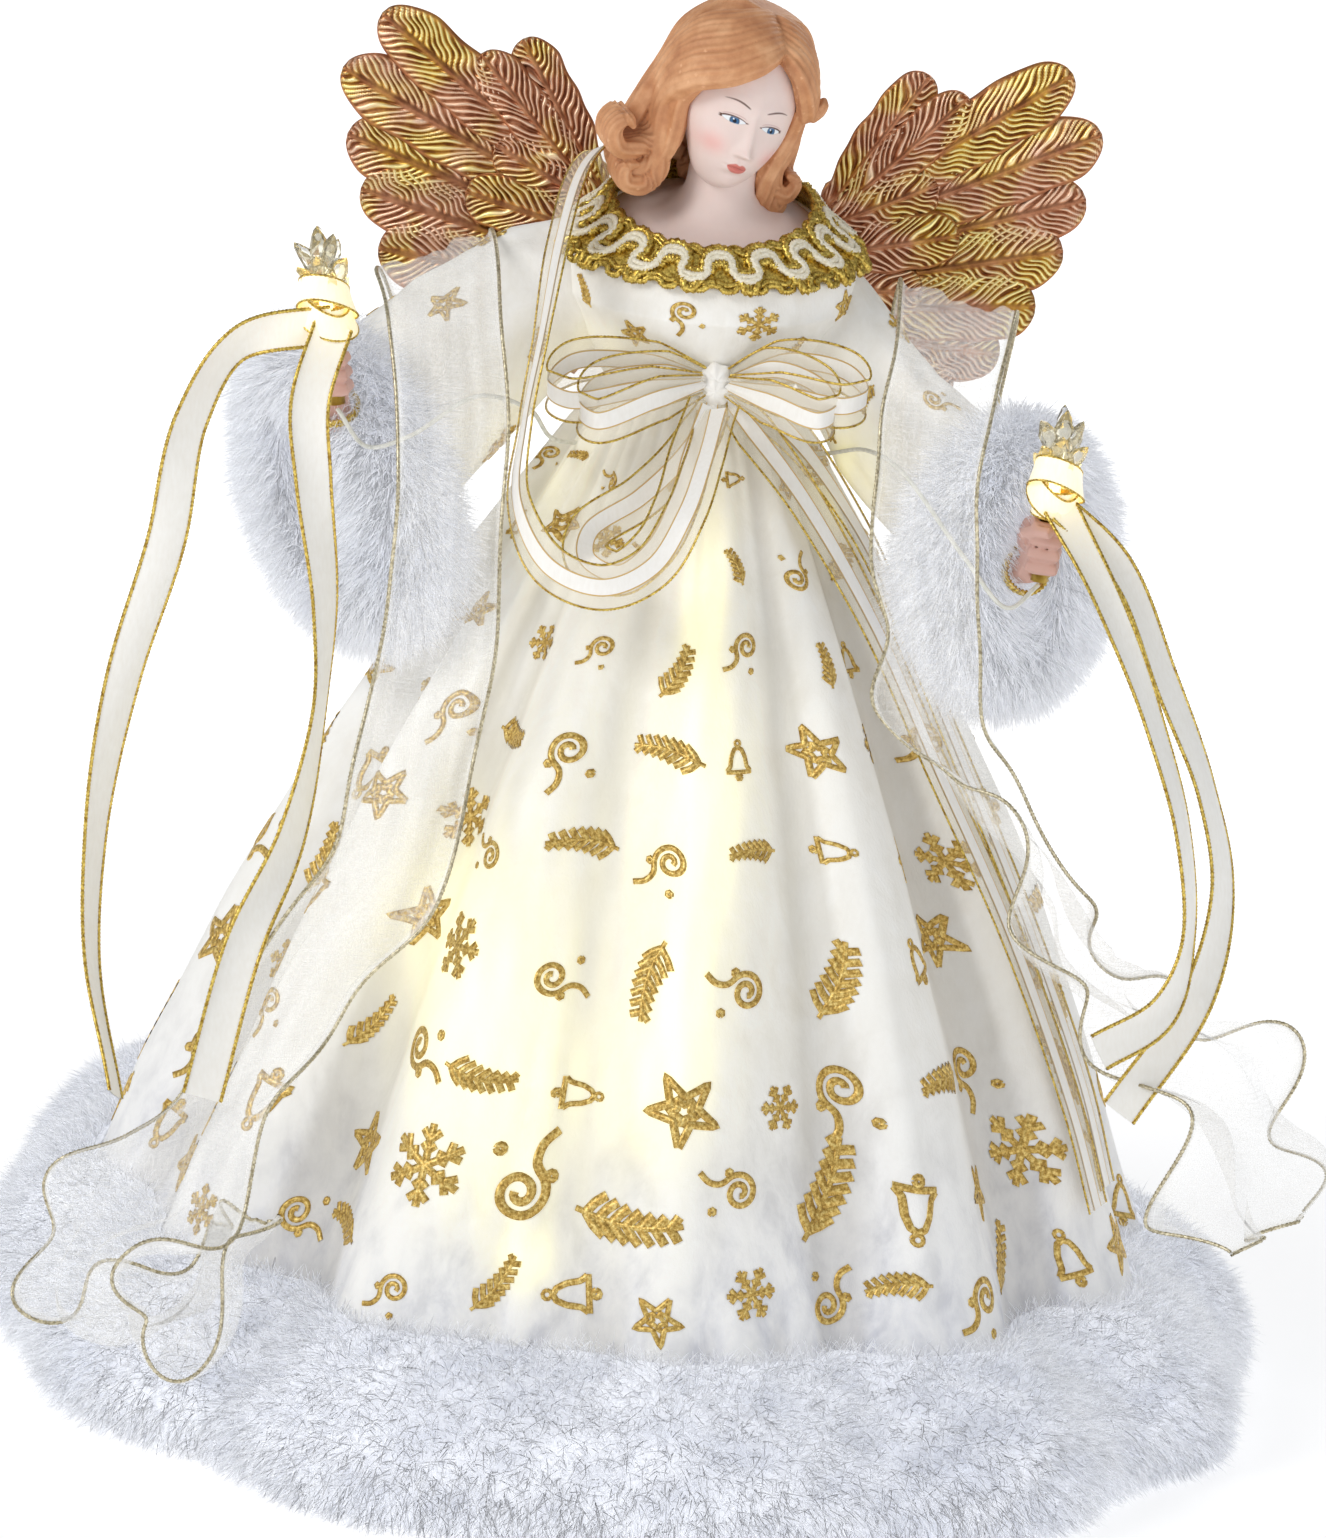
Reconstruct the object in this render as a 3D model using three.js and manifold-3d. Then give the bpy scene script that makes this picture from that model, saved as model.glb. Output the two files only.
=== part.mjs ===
import * as THREE from "three";
import { mergeVertices } from "three/addons/utils/BufferGeometryUtils.js";
import Module from "manifold-3d";

const wasm = await Module();
wasm.setup();

// Axes: +Z is up, -Y is the front. The figure's own right side is at -X.
// Places along the figure are given in shares of one drawing unit, a third of its height.
const figureHeight = 300;
const figureUnit = figureHeight / 3;

// Clearances
const gap = 0.3;
const restGap = 0.6;
const runningGap = 0.08;

// Cone stand and post, mm
const coneBaseRadius = 78;
const coneTopRadius = 15;
const coneWall = 2;
const coneFlange = 5;
const postRadius = 4;
const postBelowTop = 12;
const postInHead = 24;

// Gown, mm
const clothThickness = 0.8;
const waistAboveCone = 7;
const hemHeight = 4;
const foldDepth = 8;
const hemLift = 13;

// Fur, mm
const hemFurThickness = 17;
const hemFurTuck = 6;
const cuffFurThickness = 12.5;
const cuffFurReach = 12;
const cuffFurTuck = 6;

// Trim, mm
const braidThickness = 1.4;
const braidCordRadius = 0.9;
const bowRibbonWidth = 9.5;
const handRibbonWidth = 8;
const ribbonThickness = 0.5;
const knotRadius = 4.4;
const organzaThickness = 0.4;
const wristCordRadius = 0.7;

// Arms and hands, mm
const armWireRadius = 1.2;
const wristRadius = 3.6;
const forearmRadius = 4.4;
const fingerRadius = 1.5;
const fingerPitch = 3.1;
const palmRadius = 4.4;
const wristCordFromFist = 10.9;

// Candles, mm
const stemRadius = 1.9;
const stemBelowFist = 8;
const cupRadius = 3.3;
const cupHeight = 5;
const cupAboveFist = 7.5;
const cupBore = 1.9;
const crystalRadius = 3.6;
const crystalHeight = 19;
const candleLedRadius = 1.4;
const candleLedLength = 7;
const leadRadius = 0.5;

// Light string, mm
const lightWireRadius = 0.6;
const stringLedRadius = 1.5;
const stringLedLength = 4;

// Wings, mm
const featherThickness = 3;
const wingTabThickness = 3;
const screwRadius = 1.5;
const screwHeadRadius = 2.8;
const screwHeadHeight = 1.6;

// Hair, mm
const hairThickness = 3.4;

// Battery box for three AA cells, mm
const cellRadius = 7.1;
const cellLength = 49;
const cellNubRadius = 2.6;
const cellNubLength = 1.4;
const cellPitch = 14.8;
const boxWall = 1.8;
const boxBottom = 8;
const boxFront = 26;
const springRoom = 5.5;
const springRadius = 2.6;
const springWire = 0.4;
const springTurns = 3;
const contactThickness = 0.4;
const doorThickness = 2;
const doorPinRadius = 1;
const doorBarrelRadius = 1.8;
const lugThickness = 3;
const sliderTravel = 3;
const sliderLength = 5;
const sliderWidth = 2.6;
const sliderStem = 1.8;
const sliderDrop = 1.6;
const sliderPlate = 1;

// Counts of facets
const gownSides = 62;
const bodiceSides = 28;
const sleeveSides = 15;
const coneSides = 24;
const roundSides = 8;
const cordSides = 4;
const leadSteps = 16;
const springSides = 5;
const wristCordSteps = 16;
const bandSides = 12;
const springStepsPerTurn = 8;
const wireStepsPerTurn = 14;
const pinSides = 16;

// Heights and half sizes of the figure, in shares of the drawing unit
const waistHeightShare = 2.22;
const hemRadiusShare = 1.28;
const neckHeightShare = 2.575;
const neckTiltShare = 0.07;
const headHalfWidthShare = 0.132;
const headHalfDepthShare = 0.152;
const headHalfHeightShare = 0.176;
const wingDepthShare = 0.33;
const wingPlateHalfWidthShare = 0.21;
const wingPlateLowShare = 2.35;
const wingPlateHighShare = 2.51;
const wingPlateBackShare = 0.28;
const screwInCoreShare = 0.1;
const screwPlaceShare = 0.12;

// Sizes that follow from them
const waistHeight = waistHeightShare * figureUnit;
const coneHeight = waistHeight - waistAboveCone;
const hemRadius = hemRadiusShare * figureUnit;
const neckHeight = neckHeightShare * figureUnit;
const neckTilt = neckTiltShare * figureUnit;
const headHalfWidth = headHalfWidthShare * figureUnit;
const headHalfDepth = headHalfDepthShare * figureUnit;
const headHalfHeight = headHalfHeightShare * figureUnit;
const wingDepthPlace = wingDepthShare * figureUnit;
const wingPlateHalfWidth = wingPlateHalfWidthShare * figureUnit;
const wingPlateLow = wingPlateLowShare * figureUnit;
const wingPlateHigh = wingPlateHighShare * figureUnit;
const wingPlateBack = wingPlateBackShare * figureUnit;
const screwInCore = screwInCoreShare * figureUnit;
const screwPlace = screwPlaceShare * figureUnit;

// Outline and place tables, in shares
const skirtRowShares = [0, 0.12, 0.42, 0.86, 1];
const flareShare = 0.07;
const foldEaseShare = 0.82;
// Each fold: middle angle and width as shares of a turn, depth as a share of foldDepth.
const foldShares = [
  [-0.315, 0.028, 0.8], [-0.355, 0.022, -1.3], [-0.395, 0.025, 0.7], [-0.435, 0.022, -0.8],
  [-0.475, 0.025, 0.8], [0.485, 0.022, -0.8], [0.445, 0.025, 0.7], [0.4, 0.024, -0.9],
  [0.36, 0.025, 0.7], [0.315, 0.024, -0.8], [0.27, 0.025, 0.7], [0.23, 0.024, -0.7],
  [0.185, 0.025, 0.8], [0.14, 0.024, -0.8], [0.1, 0.025, 0.8], [0.06, 0.022, -0.8],
  [0.02, 0.025, 0.7], [-0.02, 0.022, -0.8], [-0.06, 0.025, 0.9], [-0.1, 0.022, -1.1],
  [-0.14, 0.026, 0.6], [-0.18, 0.024, -0.5], [-0.225, 0.028, 0.5], [-0.27, 0.022, -0.4],
];
const liftAngleShare = 0.4;
const liftWidthShare = 0.14;

// Bodice sections: height share, half width, half depth and middle in depth.
const bodiceShares = [
  [0, 0.2, 0.17, 0],
  [0.3, 0.27, 0.22, -0.02],
  [0.6, 0.325, 0.247, -0.03],
  [0.86, 0.33, 0.235, -0.025],
  [1, 0.25, 0.215, -0.02],
  [1.14, 0.205, 0.185, -0.02],
];
const bodiceRowShares = [0, 0.3, 0.6, 0.86, 1];
const coreRowShares = [0, 0.3, 0.6];
const bustRowShares = [0.86, 1];
const springSeatShare = 0.6;
const collarRowShares = [0.86, 1, 1.12];
const collarWaves = 16;
const collarStepsPerWave = 4;
const collarWaveShare = 0.07;
const collarMarginShare = 0.03;

// Neck sections above the shoulder plate: place, half width and half depth.
const neckShares = [
  [0.01, -0.03, 2.63, 0.13, 0.12],
  [0.015, -0.035, 2.68, 0.088, 0.09],
  [0.025, -0.04, 2.76, 0.08, 0.086],
];
const headShares = [0.03, -0.04, 2.845];
const headTipShares = { forward: 0.35, sideways: 0.24 };

// Sleeve rings: place, direction out of the sleeve, sideways lean of its height, half height and half width.
const sleeveShares = {
  right: [
    [[-0.22, 0.01, 2.455], [-0.85, -0.1, -0.5], -0.3, 0.14, 0.115],
    [[-0.35, -0.04, 2.39], [-0.8, -0.3, -0.52], -0.4, 0.165, 0.12],
    [[-0.52, -0.11, 2.25], [-0.72, -0.4, -0.56], -0.45, 0.2, 0.125],
    [[-0.65, -0.18, 2.1], [-0.66, -0.6, -0.42], -0.45, 0.22, 0.13],
    [[-0.75, -0.26, 1.97], [-0.6, -0.75, -0.2], -0.45, 0.255, 0.15],
  ],
  left: [
    [[0.22, 0.01, 2.43], [0.75, -0.1, -0.65], 0.1, 0.13, 0.11],
    [[0.32, -0.03, 2.32], [0.62, -0.35, -0.7], 0.2, 0.13, 0.115],
    [[0.43, -0.09, 2.18], [0.65, -0.45, -0.6], 0.05, 0.15, 0.12],
    [[0.595, -0.18, 2.05], [0.6, -0.65, -0.4], -0.1, 0.19, 0.12],
    [[0.725, -0.27, 1.93], [0.5, -0.85, -0.15], -0.2, 0.235, 0.12],
  ],
};
const cuffBackShare = 0.82;

// Rolls of fur, as shares of the fur's thickness, of the height from hem to top, of the reach and of the tuck.
const hemRollShares = {
  topOut: 0.35,
  topRise: 0.06,
  highOut: 0.95,
  highAt: 0.8,
  lowOut: 0.85,
  lowAt: 0.38,
  footOut: 0.9,
  underOut: 0.5,
};
const cuffRollShares = {
  backOut: 0.45,
  midAt: 0.4,
  midOut: 0.9,
  frontReach: 0.55,
  frontOut: 0.8,
  lipOut: 0.3,
  lipTuck: 0.6,
  deepReach: 0.5,
  rootTuck: 0.8,
};

// Arms: the wire from the middle of the back to the forearm, the forearm to the fist, and the candle's top.
const armShares = {
  right: {
    wire: [
      [0, 0.07, 2.39], [-0.2, 0.04, 2.4], [-0.36, -0.03, 2.35], [-0.54, -0.1, 2.2], [-0.68, -0.19, 2.08],
    ],
    forearm: [[-0.67, -0.18, 2.09], [-0.735, -0.27, 2.07], [-0.76, -0.38, 2.12], [-0.775, -0.455, 2.21]],
    fist: [-0.775, -0.48, 2.26],
    top: [-0.825, -0.5, 2.54],
  },
  left: {
    wire: [[0, 0.07, 2.39], [0.2, 0.04, 2.38], [0.33, -0.02, 2.3], [0.45, -0.08, 2.15], [0.59, -0.18, 2.03]],
    forearm: [[0.58, -0.17, 2.04], [0.65, -0.26, 1.96], [0.72, -0.37, 1.935], [0.76, -0.455, 1.97]],
    fist: [0.77, -0.48, 2.014],
    top: [0.785, -0.52, 2.3],
  },
};

// Fist and forearm, in shares of the radii they are built on and of the pitch of the fingers
const forearmTaperShare = 1.4;
const wristSwellShare = 1.12;
const palmShares = { back: 0.35, depth: 0.7, height: 1.9 };
const fingerRowShares = [-1.5, -0.5, 0.5, 1.5];
const fingerArcShares = [0.3, 0.45, 0.6, 0.75, 0.9, 1.05];
const thumbShares = { rootAcross: 0.7, rootBack: 0.6, bend: 1.35, rise: 1.4 };

// Head, as shares of its half sizes: the middle's three places, then half width, depth and height.
const skullShares = [0, 0.12, 0.12, 1, 1, 0.88];
const jawShares = [0, -0.3, -0.45, 0.72, 0.62, 0.62];
const faceCutShares = [0.06, -1.05, -0.35, 0.9, 1.1, 1.05];
const hairCapShares = [0, 0.2, 0.2, 1, 1, 0.86];
const hairLockShares = [
  [-1.05, 0.1, -0.25, 0.62, 0.7, 0.62],
  [1.05, 0.1, -0.25, 0.55, 0.7, 0.6],
  [-1.1, 0.3, -0.8, 0.6, 0.62, 0.34],
  [0.95, 0.3, -0.8, 0.5, 0.6, 0.34],
  [0, 0.75, -0.45, 1.1, 0.6, 0.75],
];

// Crystal sections: height share and width share.
const crystalShares = [[0, 0.55], [0.2, 1], [0.5, 0.85], [0.8, 0.55], [1, 0.12]];

// Thin leads from the top of the cone, out through the gown, to each candle.
const leadShares = {
  right: [
    [-0.19, -0.06, 2.08], [-0.3, -0.2, 2.1], [-0.36, -0.36, 2.19], [-0.47, -0.46, 2.22],
    [-0.6, -0.5, 2.13], [-0.69, -0.5, 2.1],
  ],
  left: [
    [0.19, -0.04, 2.08], [0.3, -0.12, 2.11], [0.38, -0.28, 2.15], [0.46, -0.44, 2.13],
    [0.6, -0.54, 1.98], [0.7, -0.53, 1.88],
  ],
};

// Wing feathers: root, tip, half width and depth step, for the left wing.
const featherShares = [
  [[0.3, 2.6], [0.78, 2.94], 0.07, 0],
  [[0.31, 2.55], [0.86, 2.81], 0.075, 0.35],
  [[0.31, 2.49], [0.84, 2.66], 0.075, 0.7],
  [[0.31, 2.43], [0.8, 2.54], 0.075, 0.35],
  [[0.3, 2.37], [0.75, 2.41], 0.075, 0],
  [[0.29, 2.32], [0.68, 2.29], 0.07, 0.35],
  [[0.28, 2.28], [0.58, 2.2], 0.055, 0],
  [[0.27, 2.25], [0.48, 2.05], 0.045, 0.35],
  [[0.26, 2.6], [0.46, 2.91], 0.055, -0.4],
  [[0.27, 2.58], [0.55, 2.87], 0.055, -0.7],
  [[0.24, 2.55], [0.5, 2.67], 0.06, -1],
  [[0.24, 2.49], [0.56, 2.56], 0.06, -1.2],
  [[0.23, 2.42], [0.49, 2.42], 0.06, -1],
];
const featherWidthShares = [0.5, 1, 0.85, 0.15];
const featherLengthShares = [0, 0.4, 0.82, 1];
const featherTipShare = 0.4;
// The boss at a wing's root: reach and half width by the tab's thickness, half height by the plate's height.
const bossShares = { reach: 3, width: 3, height: 1.7 };

// Bow and ribbons. Places on the gown: angle as a share of a turn, and height.
const bowLoopShares = {
  right: [
    [0.01, -0.275, 2.265], [-0.12, -0.35, 2.25], [-0.27, -0.39, 2.22], [-0.32, -0.35, 2.24],
    [-0.27, -0.305, 2.29], [-0.12, -0.28, 2.3], [0.01, -0.25, 2.275],
  ],
  left: [
    [0.07, -0.275, 2.265], [0.2, -0.35, 2.265], [0.32, -0.39, 2.26], [0.365, -0.35, 2.28],
    [0.32, -0.305, 2.32], [0.2, -0.28, 2.33], [0.07, -0.25, 2.275],
  ],
};
// How far a loop's face has turned from the front to the back at each of its places.
const loopTurnShares = [0, 0, 0.15, 0.5, 0.85, 1, 1];
const knotShares = [0.04, -0.252, 2.26];
const knotDepthShare = 0.75;
const hangingLoopShares = [
  [0.03, -0.285, 2.19], [-0.02, -0.36, 2.11], [-0.1, -0.43, 2.03], [-0.2, -0.5, 1.96], [-0.2, -0.55, 1.91],
  [-0.13, -0.58, 1.89], [-0.06, -0.56, 1.95], [-0.02, -0.5, 2.04], [0, -0.45, 2.1],
];
const shoulderShares = [
  [-0.2, 0.22, 2.62], [-0.24, 0.1, 2.715], [-0.29, -0.08, 2.685], [-0.32, -0.28, 2.56], [-0.34, -0.42, 2.36],
  [-0.35, -0.5, 2.18], [-0.34, -0.55, 2.02], [-0.27, -0.6, 1.93],
];
// Ways the ribbons face: the hanging loop, the strap at each of its places, the tails, the hand ribbons.
const hangingFacingShares = [0.1, -1, 0.1];
const shoulderFacingShares = [
  [-0.3, 0.2, 1], [-0.3, -0.2, 0.7], [-0.3, -0.6, 0.4], [-0.3, -1, 0.1], [-0.3, -1, -0.2], [-0.3, -1, -0.5],
  [-0.3, -1, -0.8], [-0.3, -1, -1.1],
];
const tailRiseShare = 0.3;
const handFacingShares = { sway: 0.25, step: 1.3, rise: 0.15 };
const gatherShare = 0.45;
const gatherEaseShare = 4;
const bowTailShares = [
  [
    [-0.18, 2.16], [-0.135, 2.02], [-0.097, 1.77], [-0.09, 1.48], [-0.082, 1.15], [-0.075, 0.77],
    [-0.073, 0.56],
  ],
  [
    [-0.13, 2.17], [-0.075, 1.98], [-0.064, 1.77], [-0.064, 1.48], [-0.061, 1.15], [-0.058, 0.8],
    [-0.058, 0.58],
  ],
];
const handTailShares = {
  right: [
    [
      [-0.8, -0.55, 2.32], [-0.81, -0.6, 2.2], [-0.79, -0.61, 2.03], [-0.74, -0.62, 1.77],
      [-0.73, -0.66, 1.56], [-0.77, -0.76, 1.3], [-0.845, -0.88, 1.09], [-0.9, -1, 0.78],
    ],
    [
      [-0.87, -0.5, 2.33], [-0.98, -0.54, 2.3], [-1.06, -0.57, 2.14], [-1.09, -0.6, 1.88],
      [-1.16, -0.6, 1.57], [-1.2, -0.62, 1.23], [-1.19, -0.68, 0.96], [-1.1, -0.84, 0.72],
    ],
  ],
  left: [
    [
      [0.83, -0.5, 2.09], [0.93, -0.53, 1.98], [1.05, -0.55, 1.76], [1.17, -0.56, 1.53],
      [1.22, -0.58, 1.33], [1.18, -0.66, 1.1], [1.03, -0.78, 0.86],
    ],
    [
      [0.8, -0.56, 2.09], [0.9, -0.63, 1.93], [1.02, -0.64, 1.7], [1.12, -0.66, 1.46],
      [1.15, -0.68, 1.24], [1.1, -0.74, 1.08], [0.97, -0.82, 1],
    ],
  ],
};

// Organza drapes over the arms: outer edge and inner edge, station by station.
const drapeShares = {
  right: [
    [[-0.66, 0.11, 2.24], [-0.46, 0.12, 2.3]],
    [[-0.7, 0, 2.375], [-0.48, 0.03, 2.495]],
    [[-0.71, -0.22, 2.425], [-0.46, -0.18, 2.505]],
    [[-0.67, -0.44, 2.37], [-0.43, -0.38, 2.38]],
    [[-0.63, -0.58, 2.16], [-0.4, -0.52, 2.12]],
    [[-0.61, -0.63, 1.9], [-0.38, -0.58, 1.84]],
    [[-0.62, -0.66, 1.6], [-0.37, -0.7, 1.52]],
    [[-0.66, -0.72, 1.34], [-0.46, -0.82, 1.22]],
    [[-0.76, -0.8, 1.1], [-0.6, -0.92, 0.98]],
    [[-0.9, -0.86, 0.84], [-0.7, -1.02, 0.74]],
    [[-1.06, -0.94, 0.66], [-0.8, -1.14, 0.56]],
    [[-1.2, -0.98, 0.54], [-0.96, -1.26, 0.46]],
  ],
  left: [
    [[0.66, 0.08, 2.12], [0.4, 0.09, 2.22]],
    [[0.68, -0.04, 2.38], [0.42, -0.02, 2.48]],
    [[0.67, -0.28, 2.46], [0.42, -0.24, 2.44]],
    [[0.64, -0.5, 2.32], [0.41, -0.42, 2.26]],
    [[0.62, -0.6, 2.06], [0.4, -0.5, 2.02]],
    [[0.66, -0.62, 1.76], [0.43, -0.54, 1.78]],
    [[0.78, -0.58, 1.5], [0.54, -0.57, 1.56]],
    [[0.92, -0.5, 1.26], [0.68, -0.62, 1.42]],
    [[1.04, -0.44, 1.06], [0.78, -0.64, 1.22]],
    [[1.2, -0.4, 0.98], [0.9, -0.66, 1.02]],
    [[1.4, -0.36, 0.9], [1.06, -0.76, 0.86]],
    [[1.5, -0.4, 0.74], [1.18, -0.84, 0.7]],
    [[1.46, -0.56, 0.6], [1.26, -0.88, 0.58]],
  ],
};
const drapeColumns = 4;
const drapeRippleShare = 0.025;
const rippleStartShare = 0.2;
const rippleStepShare = 2.4;

// Light string: height of the wire each time it passes the front, bottom to top.
const wirePassShares = [0.5, 1.0, 1.42, 1.78, 2.04];
const wireEndTurnShares = { first: 0.62, last: 0.2 };
const wireEndRiseShare = 0.4;
// Lamps: pass number and turn share from the front.
const lampShares = [[0, -0.03], [1, 0.015], [1, -0.07], [2, 0.02], [3, 0.02]];

// Helpers: places
const turn = 2 * Math.PI;
const front = -turn / 4;
const lerp = THREE.MathUtils.lerp;
const upward = new THREE.Vector3(0, 0, 1);
const forward = new THREE.Vector3(0, -1, 0);
const vector = (x, y, z) => new THREE.Vector3(x, y, z);
const place = (shares) => vector(...shares).multiplyScalar(figureUnit);
const places = (table) => table.map(place);
const curve = (table, endless = false) => new THREE.CatmullRomCurve3(table, endless, "centripetal");
const nearAngle = (angle) => Math.atan2(Math.sin(angle), Math.cos(angle));

function fromTable(table, share) {
  let row = 1;
  while (row < table.length - 1 && share > table[row][0]) {
    row += 1;
  }
  const [low, high] = [table[row - 1], table[row]];
  const part = (share - low[0]) / (high[0] - low[0]);
  return low.map((value, column) => lerp(value, high[column], part));
}

// Helpers: closed bodies
function bodyFrom(corners, faces) {
  const geometry = new THREE.BufferGeometry();
  const flat = corners.flatMap((corner) => corner.toArray());
  geometry.setAttribute("position", new THREE.Float32BufferAttribute(flat, 3));
  let volume = 0;
  for (const [a, b, c] of faces) {
    volume += corners[a].dot(vector(0, 0, 0).crossVectors(corners[b], corners[c]));
  }
  const turned = volume < 0 ? faces.map(([a, b, c]) => [a, c, b]) : faces;
  geometry.setIndex(turned.flat());
  return geometry;
}

// Rings of the same count joined one to the next. An endless row closes on itself; others get end caps.
// In a thin body the far side starts at a row or a step, and is split along the near side's diagonals.
function ringBody(rings, endless = false, farSide = {}) {
  const { row: farRow = Infinity, step: farStep = Infinity } = farSide;
  const count = rings[0].length;
  const corners = rings.flat();
  const faces = [];
  const rows = endless ? rings.length : rings.length - 1;
  for (let row = 0; row < rows; row += 1) {
    const here = row * count;
    const above = ((row + 1) % rings.length) * count;
    for (let step = 0; step < count; step += 1) {
      const after = (step + 1) % count;
      faces.push(...splitQuad(
        [here + step, here + after, above + after, above + step],
        row >= farRow || step >= farStep,
      ));
    }
  }
  if (!endless) {
    const last = (rings.length - 1) * count;
    const low = corners.push(middleOf(rings[0])) - 1;
    const high = corners.push(middleOf(rings[rings.length - 1])) - 1;
    for (let step = 0; step < count; step += 1) {
      const after = (step + 1) % count;
      faces.push([low, after, step]);
      faces.push([high, last + step, last + after]);
    }
  }
  return bodyFrom(corners, faces);
}

function splitQuad([a, b, c, d], turned) {
  return turned ? [[a, b, d], [b, c, d]] : [[a, b, c], [a, c, d]];
}

function middleOf(ring) {
  const sum = ring.reduce((total, corner) => total.add(corner), vector(0, 0, 0));
  return sum.divideScalar(ring.length);
}

function ring(count, make) {
  return Array.from({ length: count }, (unused, step) => make((turn * step) / count));
}

function solidOf(geometry) {
  const bare = geometry.clone();
  bare.deleteAttribute("normal");
  bare.deleteAttribute("uv");
  const merged = mergeVertices(bare, 1e-4);
  return new wasm.Manifold(new wasm.Mesh({
    numProp: 3,
    vertProperties: merged.attributes.position.array,
    triVerts: new Uint32Array(merged.index.array),
  }));
}

function geometryOf(solid) {
  const mesh = solid.getMesh();
  const geometry = new THREE.BufferGeometry();
  geometry.setAttribute("position", new THREE.BufferAttribute(mesh.vertProperties, 3));
  geometry.setIndex(new THREE.BufferAttribute(mesh.triVerts, 1));
  return geometry;
}

function join(...bodies) {
  return geometryOf(bodies.map(solidOf).reduce((whole, body) => whole.add(body)));
}

function cut(body, ...tools) {
  return geometryOf(tools.map(solidOf).reduce((whole, tool) => whole.subtract(tool), solidOf(body)));
}

// The largest piece of a body that was cut, without its crumbs.
function mainPiece(body) {
  const pieces = solidOf(body).decompose();
  return geometryOf(pieces.reduce((best, piece) => (piece.volume() > best.volume() ? piece : best)));
}

function overlap(body, other) {
  return geometryOf(solidOf(body).intersect(solidOf(other)));
}

function block(low, high) {
  const size = high.clone().sub(low);
  const middle = low.clone().add(high).divideScalar(2);
  return new THREE.BoxGeometry(size.x, size.y, size.z).translate(middle.x, middle.y, middle.z);
}

function rod(from, to, radius, sides = roundSides) {
  return tube([from, to], radius, sides, 1);
}

// A round bar along a smooth path. The radius may be a function of the share of the length.
function tube(path, radius, sides, steps, endless = false) {
  const line = path.length === 2 ? new THREE.LineCurve3(...path) : curve(path, endless);
  const frames = line.computeFrenetFrames(steps, endless);
  const rings = [];
  for (let step = 0; step < (endless ? steps : steps + 1); step += 1) {
    const size = typeof radius === "function" ? radius(step / steps) : radius;
    const centre = line.getPointAt(step / steps);
    rings.push(ring(sides, (angle) => centre.clone()
      .addScaledVector(frames.normals[step], size * Math.cos(angle))
      .addScaledVector(frames.binormals[step], size * Math.sin(angle))));
  }
  return ringBody(rings, endless);
}

// A round bar through given places, its section turned by a known outward direction at each place.
function guidedTube(path, outward, radius, sides, endless = false) {
  const count = path.length;
  const near = (step) => path[endless ? (step + count) % count : Math.max(0, Math.min(count - 1, step))];
  const rings = path.map((centre, step) => {
    const along = near(step + 1).clone().sub(near(step - 1)).normalize();
    const out = outward(centre).addScaledVector(along, -outward(centre).dot(along)).normalize();
    const across = vector(0, 0, 0).crossVectors(along, out);
    return ring(sides, (angle) => centre.clone()
      .addScaledVector(out, radius * Math.cos(angle))
      .addScaledVector(across, radius * Math.sin(angle)));
  });
  return ringBody(rings, endless);
}

// The least clear distance between passes of a wound bar, measured between places over half a turn apart.
function leastPassGap(path, radius, stepsPerTurn) {
  let least = Infinity;
  path.forEach((spot, step) => {
    for (const other of path.slice(step + Math.ceil(stepsPerTurn / 2))) {
      least = Math.min(least, spot.distanceTo(other));
    }
  });
  return least - 2 * radius;
}

const fromAxis = (spot) => vector(spot.x, spot.y, 0).normalize();

// A flat strip along a path, its broad side turned to the facing direction at each place.
function strip(path, facings, width, thickness, steps, endless = false) {
  const line = curve(path, endless);
  const faced = curve(facings, endless);
  const rings = [];
  for (let step = 0; step < (endless ? steps : steps + 1); step += 1) {
    const along = line.getTangent(step / steps);
    const across = vector(0, 0, 0).crossVectors(along, faced.getPoint(step / steps)).normalize();
    const out = vector(0, 0, 0).crossVectors(across, along).normalize();
    const centre = line.getPoint(step / steps);
    const size = typeof width === "function" ? width(step / steps) : width;
    rings.push([[-1, -1], [1, -1], [1, 1], [-1, 1]].map(([side, face]) => centre.clone()
      .addScaledVector(across, (side * size) / 2)
      .addScaledVector(out, (face * thickness) / 2)));
  }
  return ringBody(rings, endless, { step: 2 });
}

function ball(centre, halfX, halfY, halfZ, across, down) {
  return new THREE.SphereGeometry(1, across, down).scale(halfX, halfY, halfZ).translate(...centre.toArray());
}

// A surface given by place(angle, share), moved out along its own normal.
function offsetPlace(surface, angle, share, offset) {
  const small = 1e-3;
  const here = surface(angle, share);
  const round = surface(angle + small, share).sub(surface(angle - small, share));
  const along = surface(angle, share + small).sub(surface(angle, share - small));
  const normal = vector(0, 0, 0).crossVectors(round, along).normalize();
  return here.addScaledVector(normal, offset * surface.turned);
}

function surfaceRings(surface, shares, sides, offset) {
  return shares.map((share) => ring(sides, (angle) => offsetPlace(surface, angle, share, offset)));
}

function shellOf(surface, shares, sides, inner, outer) {
  const outside = surfaceRings(surface, shares, sides, outer);
  const inside = surfaceRings(surface, shares, sides, inner);
  return ringBody([...outside, ...inside.reverse()], true, { row: shares.length });
}

function filled(surface, shares, sides, offset) {
  return ringBody(surfaceRings(surface, shares, sides, offset));
}

// Gown surface below the waist
function liftAt(angle) {
  const away = nearAngle(angle - liftAngleShare * turn) / (liftWidthShare * turn);
  return hemLift * Math.exp(-away * away);
}

function foldAt(angle, share) {
  let depth = 0;
  for (const [angleShare, widthShare, depthShare] of foldShares) {
    const away = nearAngle(angle - angleShare * turn) / (widthShare * turn);
    depth += depthShare * Math.exp(-away * away);
  }
  return foldDepth * depth * Math.sin((Math.min(share, 1) * foldEaseShare * turn) / 2);
}

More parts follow.
